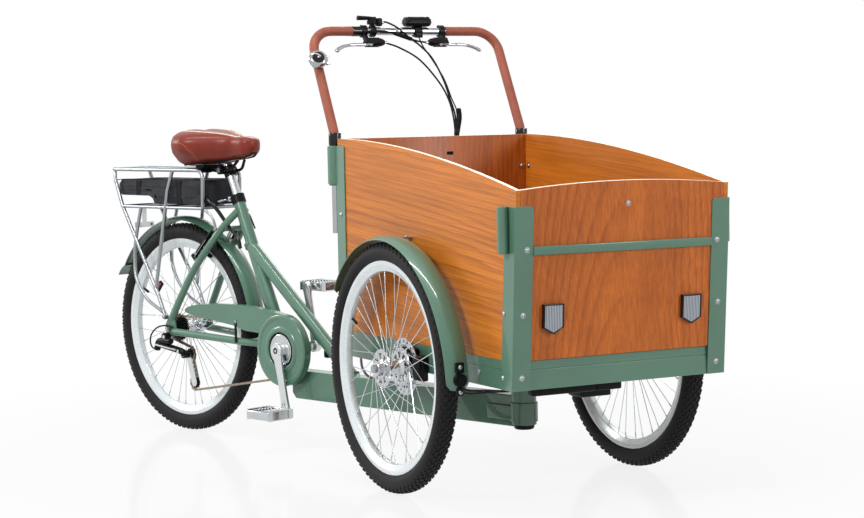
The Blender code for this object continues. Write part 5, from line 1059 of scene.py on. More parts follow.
def box_bolts():
    """Domed bolts of the box, each on the face that carries it."""
    front = front_plane()
    places = []
    for side in (-1, 1):
        outward = sideways(side)
        for z in (0.465, 0.324):
            places.append(front @ shift(-0.0007, side * 0.264, front_rise(z)))
        for x, z in ((0.409, 0.4675), (0.400, 0.323)):
            places.append(shift(x, side * BOX_HALF_WIDTH, z) @ outward)
        places.append(shift(0.285, side * PANEL_OUTER, 0.325) @ outward)
        for x, z in ((-0.424, 0.323), (-0.424, 0.480), (-0.424, 0.660)):
            places.append(shift(x, side * BOX_HALF_WIDTH, z) @ outward)
        places.append(front @ shift(-0.0007, side * 0.2566, front_rise(0.611)))
        for z in (0.330, 0.520, 0.780):
            places.append(shift(BOX_REAR, side * 0.262, z) @ sideways(2))
        places.append(shift(front_x(0.70) - 0.0330, side * (PANEL_INNER + 0.0002), 0.700)
                      @ sideways(-side))
    inside = PANEL_REAR_TOP - 0.085
    for side in (-1, 1):
        places.append(shift(BOX_REAR + 0.0034 + PLY, side * (PANEL_INNER - 0.013), inside))
        places.append(shift(BOX_REAR + 0.0034 + PLY + 0.014, side * (PANEL_INNER + 0.0001), inside)
                      @ sideways(-side))
    heads = [bolt(place) for place in places]
    heads.append(bolt(front @ shift(-0.0040, 0.010, front_rise(0.705)), 0.0050))
    return several(heads)


def build_box(sizes):
    """Cargo box: rails, ply panels, corner posts, front bar, reflectors and bolts."""
    body = "steering_body"
    green = ["powder_coated_steel"]
    piece("bottom_rails", bottom_frame(), green, body, ["bottom_frame"], edge=sizes.edge)
    within = INSET + RAIL_WIDTH + GAP
    half = PANEL_OUTER - RAIL_WIDTH - GAP
    floor = RAIL_BOTTOM + MEMBER_HEIGHT + GAP
    board = block((BOX_REAR + within, -half, floor), (BOX_FRONT_FOOT - within, half, floor + PLY), 0.0008, 1)
    piece("floor_board", edged(board, Vector((0, 0, 1))), ["varnished_ply_rear_painted_shade", "cut_ply_edge_side"], body,
          ["floor_panel"])
    piece("front_board", front_panel(), ["varnished_ply_front", "cut_ply_edge_cross"], body, ["front_panel"],
          edge=0.0008)
    back = block((BOX_REAR + INSET, -PANEL_INNER + GAP, RAIL_TOP + GAP),
                 (BOX_REAR + INSET + PLY, PANEL_INNER - GAP, PANEL_REAR_TOP), 0.0010, 2)
    piece("rear_board", edged(back, Vector((1, 0, 0))), ["varnished_ply_rear_painted_shade", "cut_ply_edge_cross"], body,
          ["rear_panel"])
    for side, word in ((-1, "right"), (1, "left")):
        piece(word + "_board", handed(side, side_panel()), ["varnished_ply_side", "cut_ply_edge_side"], body,
              [word + "_panel"], edge=0.0008)
        piece(word + "_front_angle", handed(side, front_post()), green, body,
              ["front_post_" + word], edge=sizes.edge * 0.8)
        piece(word + "_rear_angle", handed(side, rear_post()), green, body,
              ["rear_post_" + word], edge=sizes.edge * 0.8)
        piece(word + "_shield_reflector", reflector(side * REFLECTOR_SPREAD),
              ["gloss_black_plastic", "ribbed_clear_lens"], body, ["reflector_" + word],
              edge=0.0008)
    top = front_rise(FRONT_POST_TOP - 0.090)
    half = BOX_HALF_WIDTH - ANGLE_LEG - GAP
    bar = placed(block((-ANGLE_WALL, -half, top - 0.020), (ANGLE_WALL, half, top), 0.0018), front_plane())
    piece("front_cross_bar", bar, green, body, ["front_bar"])
    piece("box_bolts", box_bolts(), ["zinc_plated_steel"], body)
    # Slot in the rear board drawn as a black patch on its inner face: painted shade of the opening
    slot_face = block((BOX_REAR + 0.0146, 0.030, PANEL_REAR_TOP - 0.050),
                      (BOX_REAR + 0.0157, 0.050, PANEL_REAR_TOP - 0.041), 0.0005, 1)
    piece("rear_board_slot", slot_face, ["painted_hole_shade"], body)


# Handlebar and its controls

def handlebar_path():
    """Centre line of the handlebar, from the right foot over the top to the left foot."""
    y = BAR_SPREAD
    corners = [(BAR_X, -y, BAR_FOOT), (BAR_X, -y, BAR_KNEE), (BAR_TOP_X, -y, BAR_TOP),
               (BAR_TOP_X, y, BAR_TOP), (BAR_X, y, BAR_KNEE), (BAR_X, y, BAR_FOOT)]
    return rounded(corners, BAR_CORNER)


def bar_run(side):
    """Points of the handlebar that a leather wrap covers, closely spaced."""
    path = handlebar_path()
    if side < 0:
        run = [point for point in path if point.y < RIGHT_WRAP_END][1:]
        run.append(Vector((BAR_TOP_X, RIGHT_WRAP_END, BAR_TOP)))
    else:
        run = [Vector((BAR_TOP_X, LEFT_WRAP_END, BAR_TOP))]
        run += [point for point in path if point.y > LEFT_WRAP_END][:-1]
    return spaced(run, 0.006)


def wrap(side):
    """Leather wrap with a laced seam inside the bends and slight creases where it turns."""
    run = bar_run(side)
    count = len(run)
    scales = []
    for i, point in enumerate(run):
        bend = 0.0
        if 0 < i < count - 1:
            bend = (run[i + 1] - point).normalized().angle((point - run[i - 1]).normalized(), 0.0)
        crease = 0.012 * math.sin(i * 2.3) * min(1.0, bend * 12)
        lip = 1.035 if i in (1, 2, count - 3, count - 2) else 1.0
        scales.append(lip + crease)
    skin = tube(run, WRAP_RADIUS, 32, scales=scales)
    frames = path_frames(run)
    centre = Vector((BAR_TOP_X * 0.35 + BAR_X * 0.65, 0, 0.93))
    seam = []
    for i in range(3, count - 3):
        spot = frames[i].translation
        out = (centre - spot).normalized()
        along = (run[i + 1] - run[i - 1]).normalized()
        out = (out - along * out.dot(along)).normalized()
        across = along.cross(out) * (0.0016 if i % 2 else -0.0016)
        seam.append(spot + out * (WRAP_RADIUS + 0.0002) + across)
    thread = marked(tube(seam, 0.0006, 6), 1)
    return several([skin, thread])


def lever_frame(y):
    """Frame at a brake lever's pivot: X points at the bar, Z is the pivot's axis."""
    place = Vector((BAR_TOP_X + LEVER_REACH * 0.62, y, BAR_TOP - LEVER_REACH * 0.78))
    to_bar = (Vector((BAR_TOP_X, y, BAR_TOP)) - place).normalized()
    along = Vector((0, 1, 0))
    return framed(to_bar, along, to_bar.cross(along), place)


def collar(x, y, low, height, radius):
    """Gloss clamp collar round the bar, its rims softened."""
    soft = 0.0022
    profile = [(CLAMP_BORE, 0), (radius - soft, 0), (radius - soft * 0.3, soft * 0.3), (radius, soft),
               (radius, height - soft), (radius - soft * 0.3, height - soft * 0.3), (radius - soft, height),
               (CLAMP_BORE, height)]
    return placed(turned(profile, 40), shift(x, y, low) @ UPRIGHT)


def band(low_y, high_y, radius):
    """Clamp band round the bar's top run."""
    profile = softened(CLAMP_BORE, radius, low_y, high_y, 0.0012)
    return placed(turned(profile, 36), shift(BAR_TOP_X, 0, BAR_TOP))


def lever_mount(side, y):
    """Clamp round the bar, the housing of the lever's pivot and its barrel adjuster; drawn for the left."""
    turn = lever_frame(0.0)
    neck = placed(block((0.002, 0.005, -0.006), (LEVER_REACH * 0.72, 0.018, 0.006), 0.002), turn)
    top = placed(block((-0.009, -0.024, 0.0049), (0.010, 0.019, 0.0105), 0.0026, 4), turn)
    low = placed(block((-0.009, -0.024, -0.0105), (0.010, 0.019, -0.0049), 0.0026, 4), turn)
    hull = [(0.0005, -0.0095, 0), (0.0005, -0.0190, 0), (0.0005, -0.0270, 0), (0.0003, -0.0340, 0),
            (0.0, -0.0398, 0)]
    nose = placed(tube(hull, 0.0118, 28, 1.0, [0.86, 1.0, 0.95, 0.80, 0.50]), turn)
    screw = [placed(tube([(0, 0, 0.0098), (0, 0, 0.0116)], 0.0042, 16), turn),
             placed(tube([(0.030, 0.0115, 0.0055), (0.030, 0.0115, 0.0075)], 0.0030, 6), turn)]
    barrel = [placed(tube([(0.0, -0.0385, 0), (0.0, -0.0480, 0)], 0.0037, 18), turn)]
    shapes = [band(0.004, 0.019, BAR_RADIUS + 0.006), neck, top, low, nose]
    shapes += [marked(bm, 1) for bm in screw + barrel]
    return placed(handed(side, several(shapes)), shift(0, y, 0))


def brake_lever(side):
    """Two-finger blade with a ball end, drawn for the left about its pivot."""
    reach = LEVER_LENGTH
    path = flowing([(0.0, 0.004, 0), (-0.006, 0.018, 0), (-0.008, 0.032, 0), (-0.008, reach * 0.48, 0),
                    (-0.011, reach * 0.70, 0), (-0.021, reach * 0.90, 0), (-0.029, reach * 0.985, 0)], 4)
    count = len(path)
    scales = [0.95 - 0.18 * math.sin(math.pi * i / (count - 1)) for i in range(count)]
    blade = sweep(circle(0.0074, 20, 0.80), path_frames(path, scales))
    ball = bmesh.new()
    bmesh.ops.create_uvsphere(ball, u_segments=20, v_segments=12, radius=0.0046)
    placed(ball, shift(-0.0285, reach * 0.985, 0))
    eye = tube([(0, 0, -0.0042), (0, 0, 0.0042)], 0.0080, 28)
    return handed(side, several([eye, blade, ball]))


def display():
    """Display unit with rounded corners, its dark glass, buttons and clamp."""
    low = BAR_TOP + BAR_RADIUS + 0.001
    case = block((BAR_TOP_X - 0.0195, -0.0395, low), (BAR_TOP_X + 0.0195, 0.0395, low + 0.026), 0.0115, 6)
    glass = marked(block((BAR_TOP_X - 0.0145, -0.0330, low + 0.0240),
                         (BAR_TOP_X + 0.0140, 0.0190, low + 0.0266), 0.0010), 1)
    keys = [marked(block((BAR_TOP_X + x - 0.0035, 0.0225, low + 0.0245),
                         (BAR_TOP_X + x + 0.0035, 0.0325, low + 0.0269),
                         0.0011), 1) for x in (-0.010, 0.0, 0.010)]
    seam = marked(block((BAR_TOP_X - 0.0197, -0.0397, low + 0.0100),
                        (BAR_TOP_X + 0.0197, 0.0397, low + 0.0108), 0.0003, 1), 1)
    foot = block((BAR_TOP_X - 0.010, -0.011, BAR_TOP + 0.010),
                 (BAR_TOP_X + 0.010, 0.011, low + 0.004), 0.002)
    tab = block((BAR_TOP_X + 0.006, -0.011, BAR_TOP - 0.018),
                (BAR_TOP_X + 0.015, 0.011, BAR_TOP - 0.002), 0.002)
    shapes = [case, glass, seam, foot, tab, band(-0.011, 0.011, BAR_RADIUS + 0.005)] + keys
    return placed(several(shapes), shift(0, DISPLAY_Y, 0))


def shifter_body():
    """Thumb shifter's clamp, drum and cable stop on top of the bar."""
    y = SHIFTER_Y
    x = BAR_TOP_X
    drum = turned(softened(0.0, 0.014, 0.0, 0.0110, 0.0015), 36, closed=False)
    placed(drum, shift(x, y, BAR_TOP + 0.018) @ UPRIGHT)
    foot = block((x - 0.006, y - 0.006, BAR_TOP + 0.012), (x + 0.006, y + 0.006, BAR_TOP + 0.020), 0.0012)
    stop = block((x - 0.010, y + 0.0125, BAR_TOP + 0.0130),
                 (x + 0.010, y + 0.0280, BAR_TOP + 0.0355), 0.0045, 4)
    screw = marked(rod((x + 0.002, y, BAR_TOP - 0.010), (x + 0.006, y, BAR_TOP - 0.026), 0.0036), 1)
    barrel = marked(rod((x, y + 0.0270, BAR_TOP + 0.0237), (x, y + 0.0345, BAR_TOP + 0.0237), 0.0042), 1)
    clamp = placed(band(-0.007, 0.007, BAR_RADIUS + 0.005), shift(0, y, 0))
    return several([drum, foot, stop, clamp, screw, barrel])


def shifter_lever():
    """Thumb lever on the drum's top, with a flattened paddle; drawn about its own axis."""
    cap = turned([(0.0, 0.0), (0.0120, 0.0), (0.0120, 0.0075), (0.0108, 0.0090), (0.0, 0.0094)],
                 36, closed=False)
    placed(cap, UPRIGHT)
    path = flowing([(0, -0.004, 0.0055), (0.003, -0.016, 0.0056), (0.004, -0.030, 0.0057),
                    (0.004, -0.0455, 0.0062)], 4)
    arm = tube(path, 0.0068, 20, 0.76, tapered(path, 0.80, 1.05))
    return several([cap, arm])


def bell_frame():
    """Frame at the middle of the bell, its Z axis out of the dome, square to the leaned upright."""
    z = BAR_TOP - BELL_HEIGHT
    x = BAR_X - math.tan(BAR_LEAN) * (z - BAR_KNEE)
    out = Vector((math.cos(BAR_LEAN), -0.30, math.sin(BAR_LEAN))).normalized()
    side = Vector((-math.sin(BAR_LEAN), 0, math.cos(BAR_LEAN)))
    return framed(side, out.cross(side), out, Vector((x, -BAR_SPREAD, z)) + out * BELL_STANDOFF)


def bell():
    """Bell: a chromed dome with a dark cap on a clamp round the leather."""
    dome = curved([(0.0235, 0.0), (0.0255, 0.0022), (0.0252, 0.0070), (0.0232, 0.0112), (0.0190, 0.0146),
                   (0.0120, 0.0168), (0.0, 0.0175)], 3)
    cup = placed(turned([(0.0, 0.0008)] + dome, 48, closed=False), UPRIGHT)
    cap = marked(placed(turned([(0.0165, 0.0148), (0.0158, 0.0166), (0.0120, 0.0176), (0.0, 0.0183)], 40,
                               closed=False), UPRIGHT), 1)
    dot = marked(placed(turned([(0.0026, 0.0178), (0.0022, 0.0185), (0.0, 0.0187)], 20, closed=False),
                        UPRIGHT), 2)
    foot = marked(tube([(0, 0, -0.006), (0, 0, 0.002)], 0.008, 24), 1)
    clamp = turned(softened(WRAP_RADIUS + 0.0004, WRAP_RADIUS + 0.0028, -0.006, 0.006, 0.0010), 40)
    placed(clamp, shift(0, 0, -BELL_STANDOFF) @ sideways(-1))
    pin_x, pin_y, pin_z = BELL_PIN
    ear = block((pin_x - 0.004, pin_y - 0.0045, pin_z - 0.0036),
                (-0.004, -0.0045, pin_z - 0.0021), 0.0005, 1)
    return placed(several([cup, cap, dot, foot, marked(clamp, 1), ear]), bell_frame())


def bell_lever():
    """Sprung striker of the bell, drawn about its pin beside the cup."""
    eye = tube([(0, 0, -0.0018), (0, 0, 0.0018)], 0.0042, 20)
    arm = tube(flowing([(0.002, 0, 0), (0.012, -0.002, 0.001), (0.020, -0.008, 0.003)], 5), 0.0030, 12, 0.5)
    return several([eye, arm])


def cable(points, radius):
    """Cable along a smooth curve through its route's points."""
    return tube(flowing(points, 6), radius, 12)


def cable_harness():
    """Cables from the controls and their ribbed conduit; the left brake cable runs along the bar."""
    y = CONDUIT_Y
    foot_x = BOX_REAR - 0.016
    pivot = lever_frame(0.0).translation
    right_lever = [(pivot.x, RIGHT_LEVER_Y + CABLE_EXIT, pivot.z), (-0.577, -0.029, 1.0936),
                   (-0.562, 0.023, 1.0606), (-0.543, 0.070, 1.0004), (-0.522, 0.088, 0.9512),
                   (-0.500, 0.0895, 0.9025), (-0.478, y + 0.004, 0.860), (foot_x, y - 0.001, 0.830)]
    splice = [Vector((BAR_TOP_X + 0.0165, 0.0158, BAR_TOP - 0.0225)),
              Vector((BAR_TOP_X + 0.0180, -0.0403, BAR_TOP - 0.0053))]
    left_lever = [(pivot.x, LEFT_LEVER_Y - CABLE_EXIT, pivot.z),
                  (BAR_TOP_X + 0.0240, 0.046, BAR_TOP - 0.0300),
                  (BAR_TOP_X + 0.0195, 0.030, BAR_TOP - 0.0270), splice[0]]
    sleeve = [splice[1], (BAR_TOP_X + 0.0165, -0.066, BAR_TOP - 0.0020),
              (BAR_TOP_X + 0.0200, -0.096, BAR_TOP - 0.0010),
              (BAR_TOP_X + 0.0195, -0.1170, BAR_TOP - 0.0020)]
    shift_cable = [(BAR_TOP_X, SHIFTER_Y + 0.0310, 1.1637), (-0.603, -0.054, 1.1635),
                   (-0.590, -0.028, 1.1480), (-0.586, 0.004, 1.1220), (-0.580, 0.0335, 1.1000),
                   (-0.568, 0.0632, 1.0660), (-0.550, 0.0860, 1.0100), (-0.532, 0.0960, 0.9567),
                   (-0.507, 0.0990, 0.905), (foot_x - 0.0015, y + 0.0008, 0.828)]
    screen_cable = [(BAR_TOP_X + 0.011, DISPLAY_Y, BAR_TOP - 0.016), (-0.590, 0.047, 1.100),
                    (-0.570, 0.066, 1.060), (-0.552, 0.090, 1.010), (-0.532, 0.1010, 0.958),
                    (-0.506, 0.104, 0.917), (-0.482, y + 0.008, 0.872)]
    conduit = flowing([(-0.5060, 0.108, 0.9263), (-0.494, 0.1035, 0.9021), (-0.476, y + 0.009, 0.8680),
                       (foot_x, y, 0.835), (foot_x, y, 0.60), (foot_x, y, 0.34)], 3)
    fine = spaced(conduit, RIB_STEP)
    ribs = [1.0 if i % 3 else 0.86 for i in range(len(fine))]
    shapes = [tube(fine, 0.0075, 16, scales=ribs)]
    shapes += [cable(route, 0.0025) for route in (right_lever, left_lever, shift_cable)]
    shapes.append(cable(sleeve, 0.0033))
    lengths = [splice[0].lerp(splice[1], share) for share in (0.0, 0.05, 0.93, 1.0)]
    shapes.append(tube(lengths, 0.0056, 20, scales=[0.75, 1.0, 1.0, 0.75]))
    shapes.append(cable(screen_cable, 0.0018))
    for z in (0.560, 0.780):
        shapes.append(block((foot_x - 0.0100, y - 0.0100, z - 0.007),
                            (BOX_REAR + 0.0030, y + 0.0100, z + 0.007), 0.0025))
    return several(shapes)


def build_handlebar():
    """Handlebar with its collars, leather wraps, levers, display, shifter, bell and cables."""
    body = "steering_body"
    bar = [tube(handlebar_path(), BAR_RADIUS, 32)]
    for y in (-BAR_SPREAD, BAR_SPREAD):
        bar.append(marked(collar(BAR_X, y, REAR_POST_TOP + GAP, 0.034, 0.0165), 1))
        screw = rod((BAR_X - 0.0140, y - 0.004, REAR_POST_TOP + 0.009),
                    (BAR_X - 0.0185, y - 0.004, REAR_POST_TOP + 0.009), 0.0028, 12)
        bar.append(marked(screw, 2))
    sleeve_edge = RIGHT_LEVER_Y - 0.0195
    bar.append(marked(band(RIGHT_WRAP_END + 0.0004, sleeve_edge, BAR_RADIUS + 0.0030), 1))
    piece("bent_handlebar", several(bar),
          ["chromed_steel", "gloss_black_plastic", "zinc_plated_steel"], body, ["handlebar"])
    for side, word, y in ((-1, "right", RIGHT_LEVER_Y), (1, "left", LEFT_LEVER_Y)):
        piece(word + "_leather_wrap", wrap(side), ["terracotta_leather", "stitch_thread"], body,
              ["grip_wrap_" + word], angle=60)
        piece(word + "_lever_housing", lever_mount(side, y),
              ["black_coated_metal", "zinc_plated_steel"], body, ["brake_lever_mount_" + word])
        piece(word + "_lever_blade", brake_lever(side), ["chromed_steel"], "brake_lever_" + word + "_body",
              ["brake_lever_" + word], FRONT @ lever_frame(y))
    piece("display_case", display(), ["moulded_black_plastic", "gloss_black_plastic"], body,
          ["display_unit"])
    piece("thumb_shifter", shifter_body(), ["moulded_black_plastic", "zinc_plated_steel"], body,
          ["shifter_body"])
    piece("thumb_lever", shifter_lever(), ["moulded_black_plastic"], "shifter_lever_body", ["shifter_lever"],
          FRONT @ shift(BAR_TOP_X, SHIFTER_Y, BAR_TOP + 0.0293))
    piece("domed_bell", bell(), ["chromed_steel", "gloss_black_plastic", "white_dot_enamel"], body,
          ["bell"])
    piece("bell_striker", bell_lever(), ["satin_alloy"], "bell_lever_body", ["bell_lever"],
          FRONT @ bell_frame() @ shift(*BELL_PIN))
    piece("cables_and_conduit", cable_harness(), ["black_cable_rubber"], body,
          ["cable_harness"])


# Running gear under the box

def axle_carrier():
    """Steering stem on its plate under the box, with the controller and connector blocks ahead of it."""
    under = RAIL_BOTTOM + 0.0017
    plate_low = HEAD_TOP + GAP
    low = HEAD_TOP - 0.036
    beam_x = BOX_FRONT_FOOT - 0.070
    shapes = [rod((0, 0, HEAD_FOOT + 0.028), (0, 0, plate_low + 0.003), 0.0190),
              block((-0.075, -0.044, plate_low), (BOX_FRONT_FOOT - 0.078, 0.044, under), 0.001, 2),
              block((BOX_FRONT_FOOT - 0.148, -0.052, low),
                    (BOX_FRONT_FOOT - 0.088, 0.030, under - 0.0004), 0.004),
              block((beam_x - 0.015, -0.200, low + 0.018),
                    (beam_x + 0.013, -0.030, RAIL_BOTTOM - 0.0007), 0.004),
              block((beam_x - 0.015, -0.030, low + 0.018),
                    (beam_x + 0.013, 0.040, RAIL_BOTTOM - 0.0007), 0.004)]
    for i in range(5):
        y = -0.180 + 0.030 * i
        shapes.append(block((beam_x + 0.0125, y, low + 0.022),
                            (beam_x + 0.0138, y + 0.018, RAIL_BOTTOM - 0.004), 0.0005, 1))
    return several(shapes)


def brake_caliper():
    """Left axle block with its stub axle and nut, and the ribbed caliper over the brake disc."""
    x = -AXLE_SETBACK
    wheel_y = TRACK / 2
    face = PANEL_OUTER + GAP
    disc_y = wheel_y - DISC_OFFSET
    outer = disc_y - 0.0072
    axle_end = wheel_y + FRONT_FLANGE_OFFSET + 0.020
    grip = x + DISC_RADIUS
    shapes = [block((x - 0.030, face, WHEEL_RADIUS - 0.027),
                    (x + 0.036, outer, WHEEL_RADIUS + 0.045), 0.003),
              block((x + 0.020, face + 0.001, WHEEL_RADIUS - 0.020),
                    (grip - 0.010, outer - 0.001, WHEEL_RADIUS + 0.020), 0.002),
              block((grip - 0.021, face + 0.002, WHEEL_RADIUS - 0.029),
                    (grip + 0.016, disc_y - 0.0022, WHEEL_RADIUS + 0.033), 0.004),
              block((grip - 0.019, disc_y + 0.0022, WHEEL_RADIUS - 0.026),
                    (grip + 0.014, disc_y + 0.0055, WHEEL_RADIUS + 0.030), 0.0015),
              block((grip + 0.0052, disc_y - 0.004, WHEEL_RADIUS - 0.024),
                    (grip + 0.0145, disc_y + 0.004, WHEEL_RADIUS + 0.028), 0.0015)]
    metal_parts = [rod((x, outer - 0.005, WHEEL_RADIUS), (x, axle_end, WHEEL_RADIUS), 0.0060),
                   rod((x, axle_end - 0.0013, WHEEL_RADIUS), (x, axle_end + 0.006, WHEEL_RADIUS), 0.0105, 6)]
    for dx, dz in ((-0.020, 0.034), (0.026, 0.034), (-0.020, -0.016), (0.026, -0.016)):
        metal_parts.append(bolt(shift(x + dx, outer, WHEEL_RADIUS + dz) @ sideways(1), 0.0045, 0.0035))
    return several(shapes + [marked(bm, 1) for bm in metal_parts])


def fender_band(radius, start, end, steps, flare=0.0):
    """Crowned band round a wheel between two angles in degrees, its edges rolled and ends rounded off."""
    half = FENDER_WIDTH / 2
    wall = 0.0018
    across = [-1.0, -0.94, -0.80, -0.60, -0.38, -0.18, 0.0, 0.18, 0.38, 0.60, 0.80, 0.94, 1.0]
    outer = [(half * u, -FENDER_CROWN * abs(u) ** 2.2) for u in across]
    inner = [(y * (1 - wall / half), depth - wall) for y, depth in reversed(outer)]
    lip = [(half * 0.985, -FENDER_CROWN - wall * 0.7)]
    frames = []
    for i in range(steps + 1):
        angle = math.radians(start + (end - start) * i / steps)
        out = Vector((math.cos(angle), 0, math.sin(angle)))
        along = Vector((0, 1, 0)).cross(out)
        distance = min(i, steps - i) * math.radians(abs(end - start)) * radius / steps
        width = 1.0
        if distance < 0.020:
            width = 0.62 + 0.38 * math.sqrt(max(0.0, 1 - ((0.020 - distance) / 0.020) ** 2))
        opened = flare * max(0.0, 1 - (math.degrees(angle) - start) / 58) ** 1.5
        frames.append(framed(Vector((0, 1, 0)) * width, out, along, out * (radius + opened)))
    return sweep(outer + lip + inner, frames)


def front_fender():
    """Left front fender with its stay to the box, its tab and its jointed bracket."""
    x = -AXLE_SETBACK
    y = TRACK / 2
    shapes = [placed(fender_band(FRONT_FENDER_RADIUS, *FRONT_FENDER_SPAN, 76, FENDER_FLARE),
                     shift(x, y, WHEEL_RADIUS))]
    high = WHEEL_RADIUS + FRONT_FENDER_RADIUS - 0.004
    tab = block((x - 0.012, PANEL_OUTER + GAP, high - 0.006), (x + 0.012, y, high - 0.002), 0.001, 2)
    low_x = x + FENDER_FLARE + FRONT_FENDER_RADIUS - 0.002
    under = RAIL_BOTTOM - GAP - 0.0042
    stays = []
    for dz in (0.0, -0.010):
        stays.append(tube(flowing([(low_x + 0.004, y, under + 0.014 + dz),
                                   (low_x + 0.022, y - 0.008, under + dz * 0.8),
                                   (low_x + 0.058, y - 0.045, under + dz * 0.4),
                                   (low_x + 0.095, BOX_HALF_WIDTH - 0.020, under)], 5),
                          0.0024, 12))
    bracket = [block((low_x - 0.001, y - 0.011, WHEEL_RADIUS + 0.022),
                     (low_x + 0.005, y + 0.011, WHEEL_RADIUS + 0.047), 0.002),
               block((low_x - 0.001, y - 0.009, WHEEL_RADIUS - 0.030),
                     (low_x + 0.005, y + 0.009, WHEEL_RADIUS - 0.010), 0.002),
               rod((low_x - 0.001, y, WHEEL_RADIUS + 0.006),
                   (low_x + 0.009, y, WHEEL_RADIUS + 0.006), 0.0155, 32),
               rod((low_x + 0.008, y, WHEEL_RADIUS + 0.006),
                   (low_x + 0.0115, y, WHEEL_RADIUS + 0.006), 0.0095, 28)]
    bolts = [bolt(shift(low_x + 0.005, y, WHEEL_RADIUS + 0.036), 0.0042, 0.0032),
             bolt(shift(low_x + 0.005, y, WHEEL_RADIUS - 0.021), 0.0042, 0.0032),
             bolt(shift(x, PANEL_OUTER + 0.012, high - 0.002) @ Matrix.Rotation(-math.pi / 2, 4, "Y"),
                  0.0045, 0.0032)]
    shapes += [tab] + [marked(bm, 1) for bm in stays + bracket] + [marked(bm, 2) for bm in bolts]
    return several(shapes)


def build_running_gear():
    """Steering stem, front axle blocks with their calipers, and front fenders."""
    body = "steering_body"
    piece("steering_stem_plate", axle_carrier(), ["black_coated_metal"], body,
          ["axle_carrier"])
    loop = cable([(BOX_REAR + 0.012, -0.236, RAIL_BOTTOM + 0.004), (BOX_REAR + 0.004, -0.226, 0.250),
                  (BOX_REAR - 0.006, -0.190, 0.222), (BOX_REAR + 0.010, -0.130, 0.232),
                  (BOX_REAR + 0.040, -0.060, 0.262), (BOX_REAR + 0.070, -0.020, 0.292),
                  (BOX_REAR + 0.100, -0.010, RAIL_BOTTOM + 0.006)], 0.0034)
    piece("motor_lead", loop, ["grey_cable_rubber"], body)
    for side, word in ((-1, "right"), (1, "left")):
        piece(word + "_axle_block", handed(side, brake_caliper()),
              ["black_coated_metal", "zinc_plated_steel"], body, ["brake_caliper_" + word])
        piece(word + "_front_mudguard", handed(side, front_fender()),
              ["powder_coated_steel", "moulded_black_plastic", "zinc_plated_steel"], body,
              ["front_fender_" + word])


# Stage

CAMERA_PLACE = Vector((PIVOT.x + 4.2999, PIVOT.y - 2.5352, 0.9192))
CAMERA_LENS = 84.30
LAMP_AIM = Vector((0, 0, 0.45))
LAMPS = (
    # name, place, size, power
    ("key_panel", (1.6, -3.9, 3.0), (1.2, 0.9), 95.0),
    ("overhead_strip", (0.6, -0.9, 3.9), (3.6, 0.22), 80.0),
    ("front_panel_light", (3.9, 2.0, 1.9), (0.9, 1.2), 52.0),
    ("back_panel_light", (-3.2, 2.4, 3.0), (2.4, 1.6), 60.0),
    ("rear_side_panel", (-3.2, -3.0, 2.0), (0.8, 1.2), 50.0),
)


def stage_camera():
    """Camera at the photograph's angle."""
    azimuth = math.radians(62.446)
    elevation = math.radians(-4.131)
    roll = -0.0199
    ahead = Vector((-math.sin(azimuth) * math.cos(elevation), math.cos(azimuth) * math.cos(elevation),
                    math.sin(elevation)))
    right = ahead.cross(Vector((0, 0, 1))).normalized()
    up = right.cross(ahead)
    tilted_right = right * math.cos(roll) + up * math.sin(roll)
    tilted_up = up * math.cos(roll) - right * math.sin(roll)
    data = bpy.data.cameras.new("view_camera")
    data.lens = CAMERA_LENS
    data.sensor_width = 36.0
    data.shift_x = 0.01753
    data.shift_y = -0.00037
    data.clip_end = 60.0
    camera = bpy.data.objects.new("view_camera", data)
    camera.matrix_world = framed(tilted_right, tilted_up, -ahead, CAMERA_PLACE)
    bpy.context.scene.collection.objects.link(camera)
    bpy.context.scene.camera = camera


def seen_share(tree):
    """1 for what the camera sees straight, mirrored or through glass, 0 for light that spreads."""
    rays = add(tree, "ShaderNodeLightPath").outputs
    seen = add(tree, "ShaderNodeMath", {0: rays["Is Camera Ray"], 1: rays["Is Glossy Ray"]},
               operation="MAXIMUM")
    either = {0: seen.outputs["Value"], 1: rays["Is Transmission Ray"]}
    return add(tree, "ShaderNodeMath", either, operation="MAXIMUM").outputs["Value"]


def stage_floor():
    """Pale floor that keeps a soft shadow near the tricycle and runs out into the white backdrop."""
    bm = bmesh.new()
    bmesh.ops.create_grid(bm, x_segments=2, y_segments=2, size=14.0)
    mesh = bpy.data.meshes.new("studio_floor")
    bm.to_mesh(mesh)
    bm.free()
    floor = bpy.data.objects.new("studio_floor", mesh)
    bpy.context.scene.collection.objects.link(floor)
    tree, shader = started("pale_studio_floor", Roughness=0.12, Specular_IOR_Level=0.35)
    speckle = grain(tree, 60.0, 2.0)
    coloured(tree, shader, speckle, (0.58, 0.58, 0.58, 1.0), 0.995, 1.005)
    white = add(tree, "ShaderNodeEmission", {"Color": (1, 1, 1, 1), "Strength": 1.0})
    away = add(tree, "ShaderNodeVectorMath", {0: in_place(tree, scale=(1, 1, 0))}, operation="LENGTH")
    fade = add(tree, "ShaderNodeMapRange", {"Value": away.outputs["Value"], "From Min": 0.9, "From Max": 2.1,
                                            "To Min": 0.84, "To Max": 1.0}, interpolation_type="SMOOTHSTEP")
    share = add(tree, "ShaderNodeMath", {0: seen_share(tree), 1: fade.outputs["Result"]},
                operation="MULTIPLY")
    blend = add(tree, "ShaderNodeMixShader", {"Fac": share.outputs["Value"], 1: shader.outputs["BSDF"],
                                              2: white.outputs["Emission"]})
    tree.links.new(blend.outputs["Shader"], tree.nodes["Material Output"].inputs["Surface"])
    mesh.materials.append(bpy.data.materials["pale_studio_floor"])


